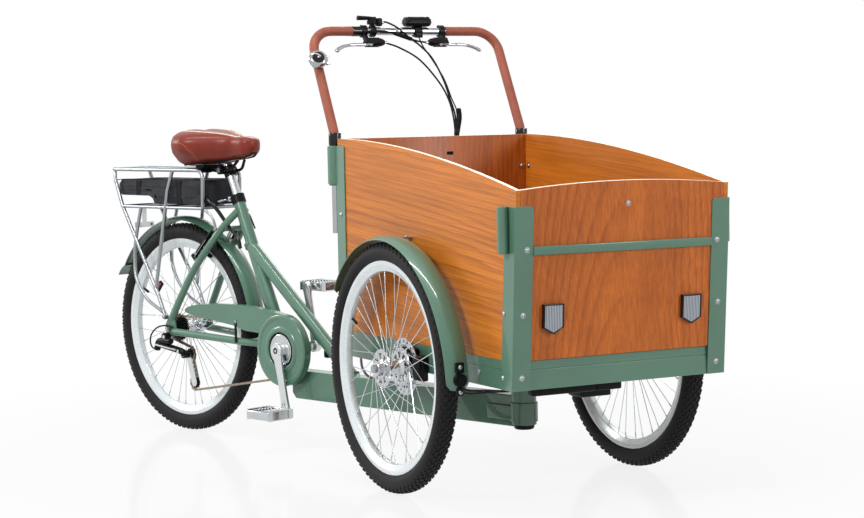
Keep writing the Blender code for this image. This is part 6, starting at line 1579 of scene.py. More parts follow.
def stage_light():
    """Soft lamps round the tricycle and a plain world, white to the camera and in reflections."""
    world = bpy.data.worlds.new("studio_world")
    bpy.context.scene.world = world
    world.use_nodes = True
    tree = world.node_tree
    plain = tree.nodes["Background"]
    plain.inputs["Color"].default_value = (0.92, 0.95, 1.0, 1.0)
    plain.inputs["Strength"].default_value = 0.34
    white = add(tree, "ShaderNodeBackground", {"Color": (1, 1, 1, 1), "Strength": 1.0})
    blend = add(tree, "ShaderNodeMixShader", {"Fac": seen_share(tree), 1: plain.outputs["Background"],
                                              2: white.outputs["Background"]})
    tree.links.new(blend.outputs["Shader"], tree.nodes["World Output"].inputs["Surface"])
    for name, place, (width, height), power in LAMPS:
        data = bpy.data.lights.new(name, "AREA")
        data.shape = "RECTANGLE"
        data.size = width
        data.size_y = height
        data.energy = power
        lamp = bpy.data.objects.new(name, data)
        aim = (LAMP_AIM - Vector(place)).to_track_quat("-Z", "Y")
        lamp.matrix_world = Matrix.Translation(place) @ aim.to_matrix().to_4x4()
        bpy.context.scene.collection.objects.link(lamp)
    bpy.context.scene.view_settings.view_transform = "Standard"


# Rear frame

def seat_tube_point(z):
    """Point of the seat tube's axis at a height."""
    x, top = SEAT_CLAMP
    return (x + math.tan(SEAT_TUBE_SLOPE) * (top - z), 0, z)


def seat_stay(side):
    """Centre line of one seat stay, from the seat tube to the dropout."""
    top = Vector(seat_tube_point(SEAT_CLAMP[1] - 0.040))
    top.y = side * 0.012
    low = Vector((-REAR_REACH + 0.009, side * DROPOUT_SPREAD, WHEEL_RADIUS + 0.028))
    path = [top]
    for share, spread, bow in ((0.18, 0.59, 0.25), (0.50, 0.81, 1.0), (0.78, 0.94, 0.55)):
        point = top.lerp(low, share)
        path.append(Vector((point.x - 0.018 * bow, side * DROPOUT_SPREAD * spread, point.z)))
    return path + [low]


def chain_stay(side):
    """Centre line of one chain stay, from the crank shell to the dropout."""
    crank_x, crank_z = CRANK_AXIS
    near = Vector((crank_x - 0.012, side * CHAIN_STAY_SPREAD, crank_z + 0.004))
    far = Vector((-REAR_REACH + 0.021, side * DROPOUT_SPREAD, WHEEL_RADIUS - 0.009))
    path = [near]
    for share, y in ((0.19, CHAIN_STAY_SPREAD + 0.0035), (0.34, 0.66 * DROPOUT_SPREAD),
                     (0.85, 0.93 * DROPOUT_SPREAD)):
        point = near.lerp(far, share)
        path.append(Vector((point.x, side * y, point.z)))
    return path + [far]


def dropout(side):
    """Plate that holds the rear axle, where the stays meet."""
    x = -REAR_REACH
    z = WHEEL_RADIUS
    corners = [(x - 0.016, z - 0.013), (x + 0.026, z - 0.019), (x + 0.028, z - 0.003),
               (x + 0.018, z + 0.036), (x + 0.001, z + 0.034), (x - 0.018, z + 0.008)]
    return plate(curved(corners + corners[:1], 4)[:-1], side * DROPOUT_SPREAD - 0.003,
                 side * DROPOUT_SPREAD + 0.003)


def stay_bridge():
    """Middle of the bridge between the seat stays, over the wheel, and its half width."""
    point = seat_stay(1)[1]
    return Vector((point.x + 0.006, 0, point.z + 0.005)), point.y


def bead(centre, axis, radius, thickness=0.0022):
    """Weld bead: a low rippled ring round a tube's joint."""
    axis = Vector(axis).normalized()
    turn = Vector((0, 1, 0)).rotation_difference(axis).to_matrix().to_4x4()
    steps = 60
    points = []
    for i in range(steps + 1):
        a = 2 * math.pi * i / steps
        ripple = radius + 0.0003 * math.sin(i * 2.1)
        points.append((ripple * math.cos(a), 0, ripple * math.sin(a)))
    return placed(tube(points, thickness, 8), Matrix.Translation(centre) @ turn)


def rim_brake_frame(side):
    """Frame at a rim brake's pivot: X is the pivot's axis, Z runs up along the stay."""
    high, low = seat_stay(side)[1:3]
    along = Vector((high.x - low.x, 0, high.z - low.z)).normalized()
    ahead = Vector((along.z, 0, -along.x))
    share = 0.0
    while (Vector((0, 1, 0)).cross(low.lerp(high, share) - REAR_HUB)).length < PAD_RADIUS - 0.020:
        share += 0.01
    spot = low.lerp(high, share)
    pivot = Vector((spot.x, side * BRAKE_SPREAD, spot.z)) - ahead * (STAY_RADIUS + BRAKE_STANDOFF)
    return framed(ahead, along.cross(ahead), along, pivot)


def main_tube():
    """Upper and lower ends of the main tube's axis."""
    top = Vector(seat_tube_point(MAIN_TUBE_TOP)) - Vector((0.010, 0, 0))
    return top, Vector((MAIN_TUBE_FOOT, 0, BEAM_TOP - 0.014))


def beam():
    """Lower box beam with its rear corner cut on the slant and an end cap."""
    half = 0.025
    outline = [(BEAM_REAR + 0.014, BEAM_BOTTOM), (-0.004, BEAM_BOTTOM), (-0.004, BEAM_TOP),
               (BEAM_REAR + 0.002, BEAM_TOP), (BEAM_REAR, BEAM_TOP - 0.004),
               (BEAM_REAR, BEAM_BOTTOM + 0.016)]
    return plate(outline, -half, half)


def quick_release_pin():
    """Middle of the clamp lever's hub, behind the seat collar."""
    x, _, z = seat_tube_point(SEAT_CLAMP[1] + 0.009)
    return Vector((x - SEAT_TUBE_RADIUS - 0.0112, -0.004, z - 0.018))


def rear_frame():
    """Welded rear frame: beam, steering head, main, seat and stay tubes, dropouts and their welds."""
    crank_x, crank_z = CRANK_AXIS
    clamp_z = SEAT_CLAMP[1]
    seat = [seat_tube_point(crank_z + (clamp_z - crank_z) * share)
            for share in (1.0, 0.78, 0.59, 0.43, 0.26, 0.10)]
    seat.append((crank_x - 0.033, 0, crank_z - 0.025))
    seat.append((BEAM_REAR - 0.017, 0, BEAM_TOP - 0.020))
    seat = flowing(seat, 3)
    seat_frames = path_frames(seat)
    for i, here in enumerate(seat_frames):
        share = i / (len(seat_frames) - 1)
        width = 1.0 + 0.35 * clamped((share - 0.20) / 0.30)
        for row in range(3):
            here[row][1] *= width
    shapes = [sweep(circle(SEAT_TUBE_RADIUS, 32), seat_frames)]
    top, foot = main_tube()
    slope = (foot - top).normalized()
    shapes.append(rod(top, foot, MAIN_TUBE_RADIUS, 36))
    shapes.append(rod((crank_x, -0.036, crank_z), (crank_x, 0.036, crank_z), 0.022, 40))
    shapes.append(block((crank_x - 0.030, -0.016, BEAM_TOP - 0.010),
                        (crank_x + 0.020, 0.016, crank_z - 0.012), 0.003))
    shapes += [rod((0, 0, HEAD_FOOT + 0.012), (0, 0, HEAD_TOP), 0.031, 48),
               rod((0, 0, HEAD_FOOT + 0.020), (0, 0, HEAD_FOOT + 0.066), 0.0345, 48),
               block((-0.097, -0.032, BEAM_BOTTOM + 0.0165), (0.0, 0.032, BEAM_TOP - 0.025), 0.003)]
    shapes.append(bead((0, 0, HEAD_FOOT + 0.066), (0, 0, 1), 0.0325))
    shapes.append(bead(top + slope * 0.010, slope, MAIN_TUBE_RADIUS, 0.0024))
    shapes.append(bead(foot - slope * 0.014, slope, MAIN_TUBE_RADIUS + 0.001, 0.0026))
    for side in (-1, 1):
        shapes.append(tube(flowing(seat_stay(side), 5), STAY_RADIUS, 20))
        shapes.append(tube(flowing(chain_stay(side), 5), STAY_RADIUS, 20))
        shapes.append(dropout(side))
        boss = rim_brake_frame(side)
        shapes.append(rod(boss @ Vector((0.0185, 0, 0)), boss @ Vector((0.0088, 0, 0)), 0.0070, 20))
    bridge, half_bridge = stay_bridge()
    across = Vector((0, half_bridge - 0.002, 0))
    shapes.append(rod(bridge - across, bridge + across, 0.0075, 20))
    brace = chain_stay(1)[2]
    shapes.append(rod((brace.x, -brace.y, brace.z), brace, 0.0080, 20))
    return shapes


def frame_fittings():
    """Black and plated fittings of the rear frame: head cap, bumper, seat clamp, axle ends and beam cap."""
    top, foot = main_tube()
    slope = (foot - top).normalized()
    below = Vector((slope.z, 0, -slope.x)) * (MAIN_TUBE_RADIUS + BUMPER_RADIUS * 0.30)
    bumper = foot - slope * 0.124 + below
    profile = [(0.0, 0.0), (BUMPER_RADIUS * 0.6, 0.0), (BUMPER_RADIUS * 0.92, 0.002), (BUMPER_RADIUS, 0.005),
               (BUMPER_RADIUS, 0.018), (BUMPER_RADIUS * 0.92, 0.021), (BUMPER_RADIUS * 0.6, 0.023),
               (0.0, 0.023)]
    buffer = placed(turned(profile, 32, closed=False),
                    Matrix.Translation(bumper - Vector((0.0, 0, 0.009))) @ UPRIGHT)
    profile = [(0.0, 0.0), (0.0200, 0.0), (0.0235, 0.0015), (0.0255, 0.005), (0.0255, 0.024), (0.0, 0.024)]
    cap = placed(turned(profile, 40, closed=False), shift(0, 0, HEAD_FOOT) @ UPRIGHT)
    clamp_z = SEAT_CLAMP[1]
    low = Vector(seat_tube_point(clamp_z - 0.020))
    high = Vector(seat_tube_point(clamp_z + 0.002))
    ring = rod(low, high, SEAT_TUBE_RADIUS + 0.0035, 40)
    pin = quick_release_pin()
    ear = block((pin.x - 0.006, pin.y + 0.0063, pin.z - 0.007),
                (pin.x + 0.020, pin.y + 0.0153, pin.z + 0.007), 0.0025)
    plug = block((BEAM_REAR - 0.001, -0.0225, BEAM_BOTTOM + 0.017),
                 (BEAM_REAR + 0.002, 0.0225, BEAM_TOP - 0.005), 0.001)
    shapes = [buffer, cap, ring, ear, plug]
    axle_end = DROPOUT_SPREAD + 0.014
    nuts = [rod((-REAR_REACH, -axle_end, WHEEL_RADIUS), (-REAR_REACH, axle_end, WHEEL_RADIUS), 0.0058, 20)]
    nuts.append(rod((-REAR_REACH, axle_end - 0.010, WHEEL_RADIUS),
                    (-REAR_REACH, axle_end - 0.003, WHEEL_RADIUS), 0.0095, 6))
    nuts.append(rod((-REAR_REACH, -axle_end + 0.003, WHEEL_RADIUS),
                    (-REAR_REACH, -axle_end + 0.009, WHEEL_RADIUS), 0.0095, 6))
    return several(shapes + [marked(bm, 1) for bm in nuts])


def rear_fender():
    """Rear fender with its flat tail flap and the tab to the stay bridge."""
    shapes = [placed(fender_band(REAR_FENDER_RADIUS, *REAR_FENDER_SPAN, 72), Matrix.Translation(REAR_HUB))]
    tail = math.radians(REAR_FENDER_SPAN[1])
    end = REAR_HUB + Vector((math.cos(tail), 0, math.sin(tail))) * (REAR_FENDER_RADIUS - 0.006)
    outline = [(-0.0015, -0.026), (0.0015, -0.026), (0.0015, 0.026), (-0.0015, 0.026)]
    frames = []
    for share in (0.0, 0.25, 0.5, 0.75, 1.0):
        point = (end + Vector((0.006, 0, 0.010))).lerp(end + Vector((-0.030, 0, -0.020)), share)
        narrow = 1.0 - 0.16 * share ** 2
        frames.append(Matrix.Translation(point + Vector((0.0, 0, 0.003 * math.sin(math.pi * share))))
                      @ Matrix.Diagonal((1, narrow, 1, 1)))
    shapes.append(sweep(outline, frames))
    bridge = stay_bridge()[0]
    out = (bridge - REAR_HUB).normalized()
    tab = rod(REAR_HUB + out * (REAR_FENDER_RADIUS - 0.0035), bridge - out * 0.0078, 0.006, 20)
    return several(shapes + [marked(tab, 1)])


def rack_side(side):
    """Legs, foot, ear and bolts of one side of the rack."""
    y = side * RACK_HALF_WIDTH
    out = side * (DROPOUT_SPREAD + 0.0085)
    x = -REAR_REACH - 0.010
    z = WHEEL_RADIUS + 0.034
    rear_leg = [(RACK_REAR + 0.012, y * 0.92, RACK_TOP), (RACK_REAR + 0.020, y, RACK_TOP - 0.030),
                (TRAY_REAR, y, RACK_TRAY), (x - 0.030, out, z + 0.062), (x, out, z)]
    middle_leg = [(RACK_REAR + 0.296, y * 0.98, RACK_TOP - 0.001), (RACK_REAR + 0.272, y, RACK_TRAY + 0.05),
                  (x - 0.040, out, z + 0.085)]
    bent_leg = [(TRAY_REAR + 0.090, y, RACK_TRAY), (x - 0.142, y, z + 0.225), (x - 0.150, y, z + 0.165),
                (x - 0.138, side * 0.073, z + 0.105), (x - 0.088, out, z + 0.050),
                (x - 0.012, out, z + 0.014)]
    ear = seat_stay(side)[1] + Vector((-0.002, 0, 0.006))
    ear_y = stay_bridge()[1] + STAY_RADIUS + 0.0040
    brace = [(RACK_FRONT - 0.002, y * 0.93, RACK_TRAY - 0.001),
             (RACK_FRONT + 0.030, side * (ear_y + 0.004), (RACK_TRAY + ear.z) / 2 + 0.003),
             (ear.x, side * ear_y, ear.z)]
    shapes = [tube(rounded(rear_leg, 0.012, 5), RACK_TUBE, 16), tube(middle_leg, RACK_TUBE, 16),
              tube(flowing(bent_leg, 5), RACK_TUBE * 0.95, 16), tube(flowing(brace, 5), 0.0036, 14),
              rod((x, out - side * 0.0052, z), (x, out + side * 0.006, z), 0.008, 24)]
    bolts = [bolt(shift(x, out + side * 0.006, z) @ sideways(side), 0.0048, 0.0036),
             bolt(shift(ear.x, side * (ear_y + 0.0030), ear.z) @ sideways(side), 0.0045, 0.0034)]
    return shapes + [marked(bm, 1) for bm in bolts]


def lamp_bracket():
    """Plate with two holes that hangs under the rack's rear cross bar, each hole a black plug of painted
    shade.
    """
    outline = [(-0.035, -0.008), (0.035, -0.008), (0.035, 0.008), (0.008, 0.008), (0.008, 0.062),
               (-0.008, 0.062), (-0.008, 0.008), (-0.035, 0.008)]
    x = TRAY_REAR + 0.012
    z = RACK_TRAY - 0.058
    shapes = [marked(sweep(outline, [shift(x + dx, 0, z) @ CROSSWISE for dx in (0, 0.003)]), 2)]
    for y in (-0.026, 0.026):
        # Black plugs in the holes: painted shade
        shapes.append(marked(rod((x - 0.0006, y, z), (x + 0.0036, y, z), 0.0030, 16), 3))
    return shapes


def rack():
    """Luggage rack of bent tube: top rails, battery tray, legs, ears and the lamp bracket."""
    half = RACK_HALF_WIDTH
    front = RACK_FRONT
    rear = RACK_REAR
    knee = front + 0.004
    loop = rounded([(front, -half, RACK_TRAY), (knee, -half, RACK_TOP - 0.001), (rear, -half, RACK_TOP),
                    (rear, half, RACK_TOP), (knee, half, RACK_TOP - 0.001), (front, half, RACK_TRAY)],
                   0.0246, 8)
    shapes = [tube(loop, RACK_TUBE, 16)]
    inner_front = front - 0.062
    for x in (inner_front, (inner_front + rear) / 2):
        shapes.append(rod((x, -half, RACK_TOP), (x, half, RACK_TOP), RACK_TUBE * 0.9, 16))
    for y in (-0.35 * half, 0.35 * half):
        shapes.append(rod((rear, y, RACK_TOP - 0.001), (inner_front, y, RACK_TOP), RACK_TUBE * 0.8, 16))
    for y in (-half, half):
        shapes.append(rod((TRAY_REAR, y, RACK_TRAY), (front + 0.001, y, RACK_TRAY), RACK_TUBE * 0.9, 16))
    slat = RACK_TUBE * 0.8
    bed = TRAY_HEIGHT - GAP - slat
    for x in (TRAY_REAR + 0.013, (TRAY_REAR + front) / 2, front - 0.050, front):
        shapes.append(rod((x, -half, bed), (x, half, bed), slat, 16))
    return several(shapes + rack_side(-1) + rack_side(1) + lamp_bracket())


def battery_cover():
    """Soft woven cover over the battery: its sides belly out between the seams and sag over the tray."""
    low = TRAY_HEIGHT
    mid = low + 0.026
    lead = BATTERY_FRONT
    back = BATTERY_REAR
    corners = [(lead - 0.004, low + 0.003), (lead, low + 0.014), (lead, BATTERY_TOP - 0.016),
               (lead - 0.014, BATTERY_TOP), (lead - 0.134, BATTERY_TOP + 0.001), (back + 0.016, BATTERY_TOP),
               (back, BATTERY_TOP - 0.014), (back + 0.004, mid + 0.008), (back + 0.018, mid + 0.001),
               (lead - 0.262, mid), (lead - 0.246, mid - 0.008), (lead - 0.240, low + 0.003)]
    fine = []
    for a, b in zip(corners, corners[1:] + corners[:1]):
        count = max(2, round(math.dist(a, b) / 0.008))
        fine += [(a[0] + (b[0] - a[0]) * k / count, a[1] + (b[1] - a[1]) * k / count) for k in range(count)]
    middle = ((lead + back) / 2, (low + BATTERY_TOP) / 2)
    half = BATTERY_HALF_WIDTH
    frames = []
    shares = [-1.0, -0.97, -0.90, -0.75, -0.5, -0.25, 0.0, 0.25, 0.5, 0.75, 0.90, 0.97, 1.0]
    for share in shares:
        fit = 1.0 - 0.040 * max(0.0, (abs(share) - 0.86) / 0.14) ** 1.5
        grow = (Matrix.Translation((middle[0], 0, middle[1])) @ Matrix.Diagonal((fit, 1, fit, 1))
                @ Matrix.Translation((-middle[0], 0, -middle[1])))
        frames.append(shift(0, half * share, 0) @ grow @ UPRIGHT)
    bm = sweep(fine, frames)
    for _ in range(2):
        caps = [face for face in bm.faces if len(face.verts) > 6]
        bmesh.ops.inset_region(bm, faces=caps, thickness=0.010, depth=0.0)
    for vert in bm.verts:
        side = math.copysign(1.0, vert.co.y)
        if abs(vert.co.y) > half * 0.985:
            edge = min(vert.co.x - back, lead - vert.co.x, BATTERY_TOP - vert.co.z, vert.co.z - low)
            billow = 0.0030 * clamped(edge / 0.020)
            crease = (0.0012 * math.sin(vert.co.x * 95 + vert.co.z * 40)
                      + 0.0008 * math.sin(vert.co.x * 41 - vert.co.z * 130))
            vert.co.y += side * (billow + crease * clamped(edge / 0.012))
        elif vert.co.z > BATTERY_TOP - 0.004:
            vert.co.z -= 0.0016 * (0.5 + 0.5 * math.sin(vert.co.x * 38)) * (1 - abs(vert.co.y) / half)
    return bm


def battery_trim():
    """Piping along the battery cover's side seams and the straps closing over it."""
    low = TRAY_HEIGHT
    lead = BATTERY_FRONT
    back = BATTERY_REAR
    half = BATTERY_HALF_WIDTH
    shapes = []
    for side in (-1, 1):
        y = side * (half - 0.0008)
        seam = flowing([(lead - 0.001, y, low + 0.016), (lead - 0.001, y, BATTERY_TOP - 0.018),
                        (lead - 0.016, y, BATTERY_TOP - 0.001), (lead - 0.134, y, BATTERY_TOP),
                        (back + 0.018, y, BATTERY_TOP - 0.001), (back + 0.001, y, BATTERY_TOP - 0.016)], 6)
        shapes.append(tube(seam, 0.0014, 8))
    for x in (lead - 0.118, lead - 0.310):
        top = BATTERY_TOP + 0.0008
        foot = low + (0.0 if x > lead - 0.24 else 0.026)
        run = [(x, -half - 0.0038, foot + 0.002), (x, -half - 0.0038, top - 0.006),
               (x, -half + 0.004, top + 0.0006), (x, half - 0.004, top + 0.0006),
               (x, half + 0.0038, top - 0.006), (x, half + 0.0038, foot + 0.002)]
        shapes.append(sweep([(-0.0006, -0.011), (0.0006, -0.011), (0.0006, 0.011), (-0.0006, 0.011)],
                            strap_frames(run)))
    return several(shapes)


def strap_frames(run):
    """Frames for a flat strap in a plane square to the rack's length: X is the strap's thickness."""
    points = [Vector(point) for point in run]
    frames = []
    for i, point in enumerate(points):
        before = points[max(0, i - 1)]
        after = points[min(len(points) - 1, i + 1)]
        along = (after - before).normalized()
        width = Vector((1, 0, 0))
        frames.append(framed(-along.cross(width), width, along, point))
    return frames


# Saddle

def saddle_half_width(share):
    """Half width of the saddle from its rear (0) to its nose (1)."""
    rear = math.sqrt(max(0.0, 1 - ((share - 0.24) / 0.24) ** 2)) if share < 0.24 else 1.0
    smooth = eased(clamped((share - 0.24) / 0.50))
    width = SADDLE_HALF_WIDTH * (0.80 + 0.20 * rear) * (1 - smooth) + 0.034 * smooth
    nose = math.sqrt(max(0.0, 1 - ((share - 0.86) / 0.14) ** 2.5)) if share > 0.86 else 1.0
    tail = math.sqrt(max(0.0, 1 - ((0.10 - share) / 0.10) ** 2)) if share < 0.10 else 1.0
    return width * nose * tail


def saddle_under(share):
    """Height of the saddle's underside from its rear (0) to its nose (1)."""
    return SADDLE_SKIRT + 0.032 * share + 0.006 * max(0.0, (share - 0.80) / 0.20) ** 2


def saddle_point(share, angle):
    """Point of the saddle's leather at a share of its length and an angle round it, 0 on top."""
    rear_x = SADDLE_NOSE - SADDLE_LENGTH
    half = saddle_half_width(share)
    nose = max(0.0, (share - 0.80) / 0.20) ** 2
    top = (SADDLE_TOP - 0.004 * (1 - min(1.0, share / 0.25)) ** 2
           - 0.023 * min(1.0, share / 0.75) ** 1.6 - 0.002 * nose)
    low = saddle_under(share)
    fade = max(0.0, min(1.0, share / 0.10, (1 - share) / 0.06))
    round_end = 0.62 + 0.38 * min(1.0, share / 0.08)
    if share > 0.90:
        round_end = math.sqrt(max(0.0, 1 - ((share - 0.90) / 0.10) ** 2.5))
    across = math.sin(angle)
    up = math.cos(angle)
    draw_in = 1.0
    if up < 0.1:
        draw_in = 1.0 - (0.13 - 0.09 * share) * eased(clamped((0.1 - up) / 0.5))
    y = half * math.copysign(abs(across) ** 0.78, across) * draw_in
    z = (top + low) / 2 + (top - low) / 2 * (0.22 + 0.78 * round_end) * math.copysign(abs(up) ** 0.62, up)
    channel = math.exp(-(y / 0.017) ** 2) if up > 0 else 0.0
    z -= 0.0085 * fade * (1 - 0.6 * share) * channel
    return Vector((rear_x + SADDLE_LENGTH * share, y, z))


def saddle():
    """Padded saddle: a crowned pad over a drawn-in skirt, with a shallow channel down its middle."""
    stations = 56
    around = 72
    bm = bmesh.new()
    ring = [bm.verts.new((math.cos(2 * math.pi * i / around), math.sin(2 * math.pi * i / around), 0))
            for i in range(around)]
    edges = [bm.edges.new((a, b)) for a, b in zip(ring, ring[1:] + ring[:1])]
    shares = [0.5 - 0.5 * math.cos(math.pi * (0.012 + 0.976 * i / (stations - 1))) for i in range(stations)]
    rows = [ring]
    for share in shares[1:]:
        verts, edges = extruded(bm, edges)
        by_place = {(round(vert.co.x, 5), round(vert.co.y, 5)): vert for vert in verts}
        rows.append([by_place[(round(vert.co.x, 5), round(vert.co.y, 5))] for vert in ring])
    for share, row in zip(shares, rows):
        for i, vert in enumerate(row):
            vert.co = saddle_point(share, 2 * math.pi * i / around)
    for row in (rows[0], rows[-1]):
        loop = [edge for edge in bm.edges if edge.is_boundary and edge.verts[0] in set(row)]
        cap = bmesh.ops.holes_fill(bm, edges=loop, sides=0)["faces"]
        bmesh.ops.poke(bm, faces=cap)
    bmesh.ops.recalc_face_normals(bm, faces=bm.faces)
    return bm


def saddle_line(run, lift):
    """Line on the saddle's leather through shares of its length and angles round it."""
    points = []
    for share, angle in run:
        point = saddle_point(share, angle)
        inner = Vector((point.x, 0, (SADDLE_TOP + SADDLE_SKIRT) / 2))
        points.append(point + (point - inner).normalized() * lift)
    return points


def saddle_trim(sizes):
    """Piping along the crest of each wing and a raised seam from the rear down to the skirt."""
    seam = curved([(0.030, 0.98), (0.100, 1.16), (0.200, 1.36), (0.300, 1.50), (0.360, 1.66), (0.375, 2.00),
                   (0.360, 2.42)], 10)
    shapes = []
    for side in (-1, 1):
        crest = [(0.13 + 0.69 * i / 40, side * (0.60 - 0.20 * i / 40)) for i in range(41)]
        shapes.append(tube(saddle_line(crest, 0.0003), 0.0021, 10))
        bend = [(share, side * angle) for share, angle in seam]
        shapes.append(marked(tube(saddle_line(bend, 0.0001), 0.0010, 8), 1))
        beside = saddle_line([(share + 0.016, angle) for share, angle in bend], 0.0003)
        for i in range(0, len(beside) - 1, 2):
            shapes.append(marked(tube([beside[i], beside[i].lerp(beside[i + 1], 0.9)],
                                      sizes.stitch * 0.11, 6), 1))
    return several(shapes)


def saddle_rim():
    """Dark moulded rim that the leather is drawn over."""
    loop = []
    steps = 60
    for i in range(steps):
        share = 0.03 + 0.94 * (0.5 - 0.5 * math.cos(math.pi * i / (steps - 1)))
        point = saddle_point(share, 2.55 + 0.35 * share ** 3)
        loop.append(Vector((point.x, point.y, point.z - 0.0006)))
    mirror_half = [Vector((point.x, -point.y, point.z)) for point in reversed(loop)]
    return tube(loop + mirror_half + loop[:1], 0.0030, 10)


def coil(centre, radius, low, high, turns, wire):
    """Upright coil spring."""
    points = []
    steps = turns * 16
    for i in range(steps + 1):
        angle = 2 * math.pi * i / 16
        points.append((centre[0] + radius * math.cos(angle), centre[1] + radius * math.sin(angle),
                       low + (high - low) * i / steps))
    return tube(points, wire, 8)


def saddle_base():
    """Saddle's rails, coil springs, clamp and collar under the pad."""
    rear_x = SADDLE_NOSE - SADDLE_LENGTH
    top = saddle_under(0.060 / SADDLE_LENGTH) - GAP
    x = seat_tube_point(SEATPOST_TOP)[0]
    rail_x = x + 0.062
    rail_z = saddle_under((rail_x - rear_x) / SADDLE_LENGTH) - 0.0045
    level = SEATPOST_TOP - 0.016
    shapes = [block((rear_x + 0.060, -0.056, top - 0.012), (rear_x + 0.090, 0.056, top), 0.003)]
    for side in (-1, 1):
        route = flowing([(rear_x + 0.070, side * 0.036, top - 0.006), (rear_x + 0.090, side * 0.023, level),
                         (x + 0.030, side * 0.021, level), (rail_x, side * 0.012, rail_z)], 6)
        shapes.append(tube(route, 0.0042, 14))
        shapes.append(coil((rear_x + 0.074, side * 0.046), 0.0098, top - 0.020, top - 0.003, 4, 0.0017))
        shapes.append(block((rear_x + 0.064, side * 0.036 - 0.014, top - 0.0215),
                            (rear_x + 0.094, side * 0.036 + 0.014, top - 0.0165), 0.002))
    shapes.append(rod((x - 0.004, -0.029, level), (x - 0.004, 0.029, level), 0.012, 32))
    shapes.append(rod(seat_tube_point(SEATPOST_TOP - 0.034), seat_tube_point(SEATPOST_TOP - 0.006),
                      SEATPOST_RADIUS + 0.004, 32))
    nuts = [marked(rod((x - 0.004, side * 0.0285, level), (x - 0.004, side * 0.0315, level), 0.0075, 6), 1)
            for side in (-1, 1)]
    return several(shapes + nuts)


def quick_release():
    """Cam lever beside the seat collar's ear, drawn about its pin."""
    hub = turned(softened(0.0, 0.0065, -0.0060, 0.0060, 0.0015), 28, closed=False)
    path = flowing([(-0.002, 0, 0.0), (-0.011, -0.002, -0.001), (-0.019, -0.008, -0.0035),
                    (-0.0285, -0.0175, -0.007)], 5)
    return several([hub, tube(path, 0.0053, 18, 0.6, tapered(path, 0.75, 1.05))])


def build_rear(sizes):
    """Rear frame, fender, rack, battery cover and saddle."""
    body = "rear_frame_body"
    piece("frame_tubes", several(rear_frame()), ["powder_coated_steel"], body, ["rear_frame"],
          REAR)
    piece("box_beam", beam(), ["powder_coated_steel"], body, place=REAR, edge=0.003)
    piece("frame_fittings", frame_fittings(), ["moulded_black_plastic", "zinc_plated_steel"], body,
          place=REAR)
    piece("rear_mudguard", rear_fender(), ["powder_coated_steel", "zinc_plated_steel"], body,
          ["rear_fender"], REAR)
    piece("tube_rack", rack(),
          ["silver_rack_tube", "zinc_plated_steel", "satin_alloy", "painted_hole_shade"], body, ["rack"],
          REAR)
    cover = piece("battery_cover", battery_cover(), ["woven_battery_cover"], body, ["battery_pack"],
                  REAR, angle=50)
    piece("battery_cover_trim", battery_trim(), ["moulded_black_plastic"], body,
          place=REAR)
    lead = cable([(BATTERY_FRONT - 0.020, -0.052, TRAY_HEIGHT + 0.030),
                  (BATTERY_FRONT + 0.006, -0.056, TRAY_HEIGHT + 0.020),
                  (BATTERY_FRONT + 0.034, -0.044, TRAY_HEIGHT - 0.008),
                  (BATTERY_FRONT + 0.056, -0.026, TRAY_HEIGHT - 0.050),
                  (SEAT_CLAMP[0] + 0.022, -0.0215, 0.575), (SEAT_CLAMP[0] + 0.034, -0.0220, 0.545)], 0.0055)
    piece("battery_lead", lead, ["gloss_black_plastic"], body, place=REAR)
    seat = "seat_body"
    leather_pad = piece("leather_saddle", saddle(), ["oxblood_leather"], seat, ["saddle"],
                        REAR, angle=80)
    piece("saddle_stitching", saddle_trim(sizes), ["cream_piping", "stitch_thread"], seat,
          place=REAR)
    piece("saddle_rim", saddle_rim(), ["moulded_black_plastic"], seat, place=REAR)
    piece("saddle_rails", saddle_base(), ["black_coated_metal", "zinc_plated_steel"], seat, ["saddle_base"],
          REAR)
    post = rod(seat_tube_point(SEATPOST_TOP - 0.22), seat_tube_point(SEATPOST_TOP), SEATPOST_RADIUS, 36)
    piece("seatpost_tube", post, ["polished_alloy"], seat, ["seatpost"], REAR)
    piece("cam_lever", quick_release(), ["polished_alloy"], "quick_release_body",
          ["quick_release_lever"], REAR @ Matrix.Translation(quick_release_pin()))


# Drive

def chain_line():
    """Chain's centre line round the sprocket, chainring and both jockey wheels, as (x, z) points."""
    circles = [(-REAR_REACH, WHEEL_RADIUS, SPROCKET_RADIUS, -1), (*CRANK_AXIS, CHAINRING_RADIUS, -1),
               (*LOWER_JOCKEY, JOCKEY_RADIUS, -1), (*UPPER_JOCKEY, JOCKEY_RADIUS, 1)]
    spans = []
    for a, b in zip(circles, circles[1:] + circles[:1]):
        d = Vector((b[0] - a[0], b[1] - a[1]))
        spans.append(math.atan2(d.y, d.x) - math.asin((b[3] * b[2] - a[3] * a[2]) / d.length))
    path = []
    for i, (x, z, radius, sense) in enumerate(circles):
        enter = spans[i - 1]
        turn = (spans[i] - enter) % (2 * math.pi)
        if sense < 0:
            turn -= 2 * math.pi
        count = max(4, round(abs(turn) * radius / 0.004))
        for k in range(count + 1):
            heading = enter + turn * k / count
            path.append((x + sense * radius * math.sin(heading), z - sense * radius * math.cos(heading)))
    return path + path[:1]


def evenly(points, count):
    """Points and headings spaced evenly along a closed line."""
    lengths = [math.dist(a, b) for a, b in zip(points, points[1:])]
    total = sum(lengths)
    result = []
    index = 0
    start = 0.0
    for k in range(count):
        goal = total * k / count
        while start + lengths[index] < goal:
            start += lengths[index]
            index += 1
        a = points[index]
        b = points[index + 1]
        t = (goal - start) / max(lengths[index], 0.000001)
        result.append((a[0] + (b[0] - a[0]) * t, a[1] + (b[1] - a[1]) * t,
                       math.atan2(b[1] - a[1], b[0] - a[0])))
    return result


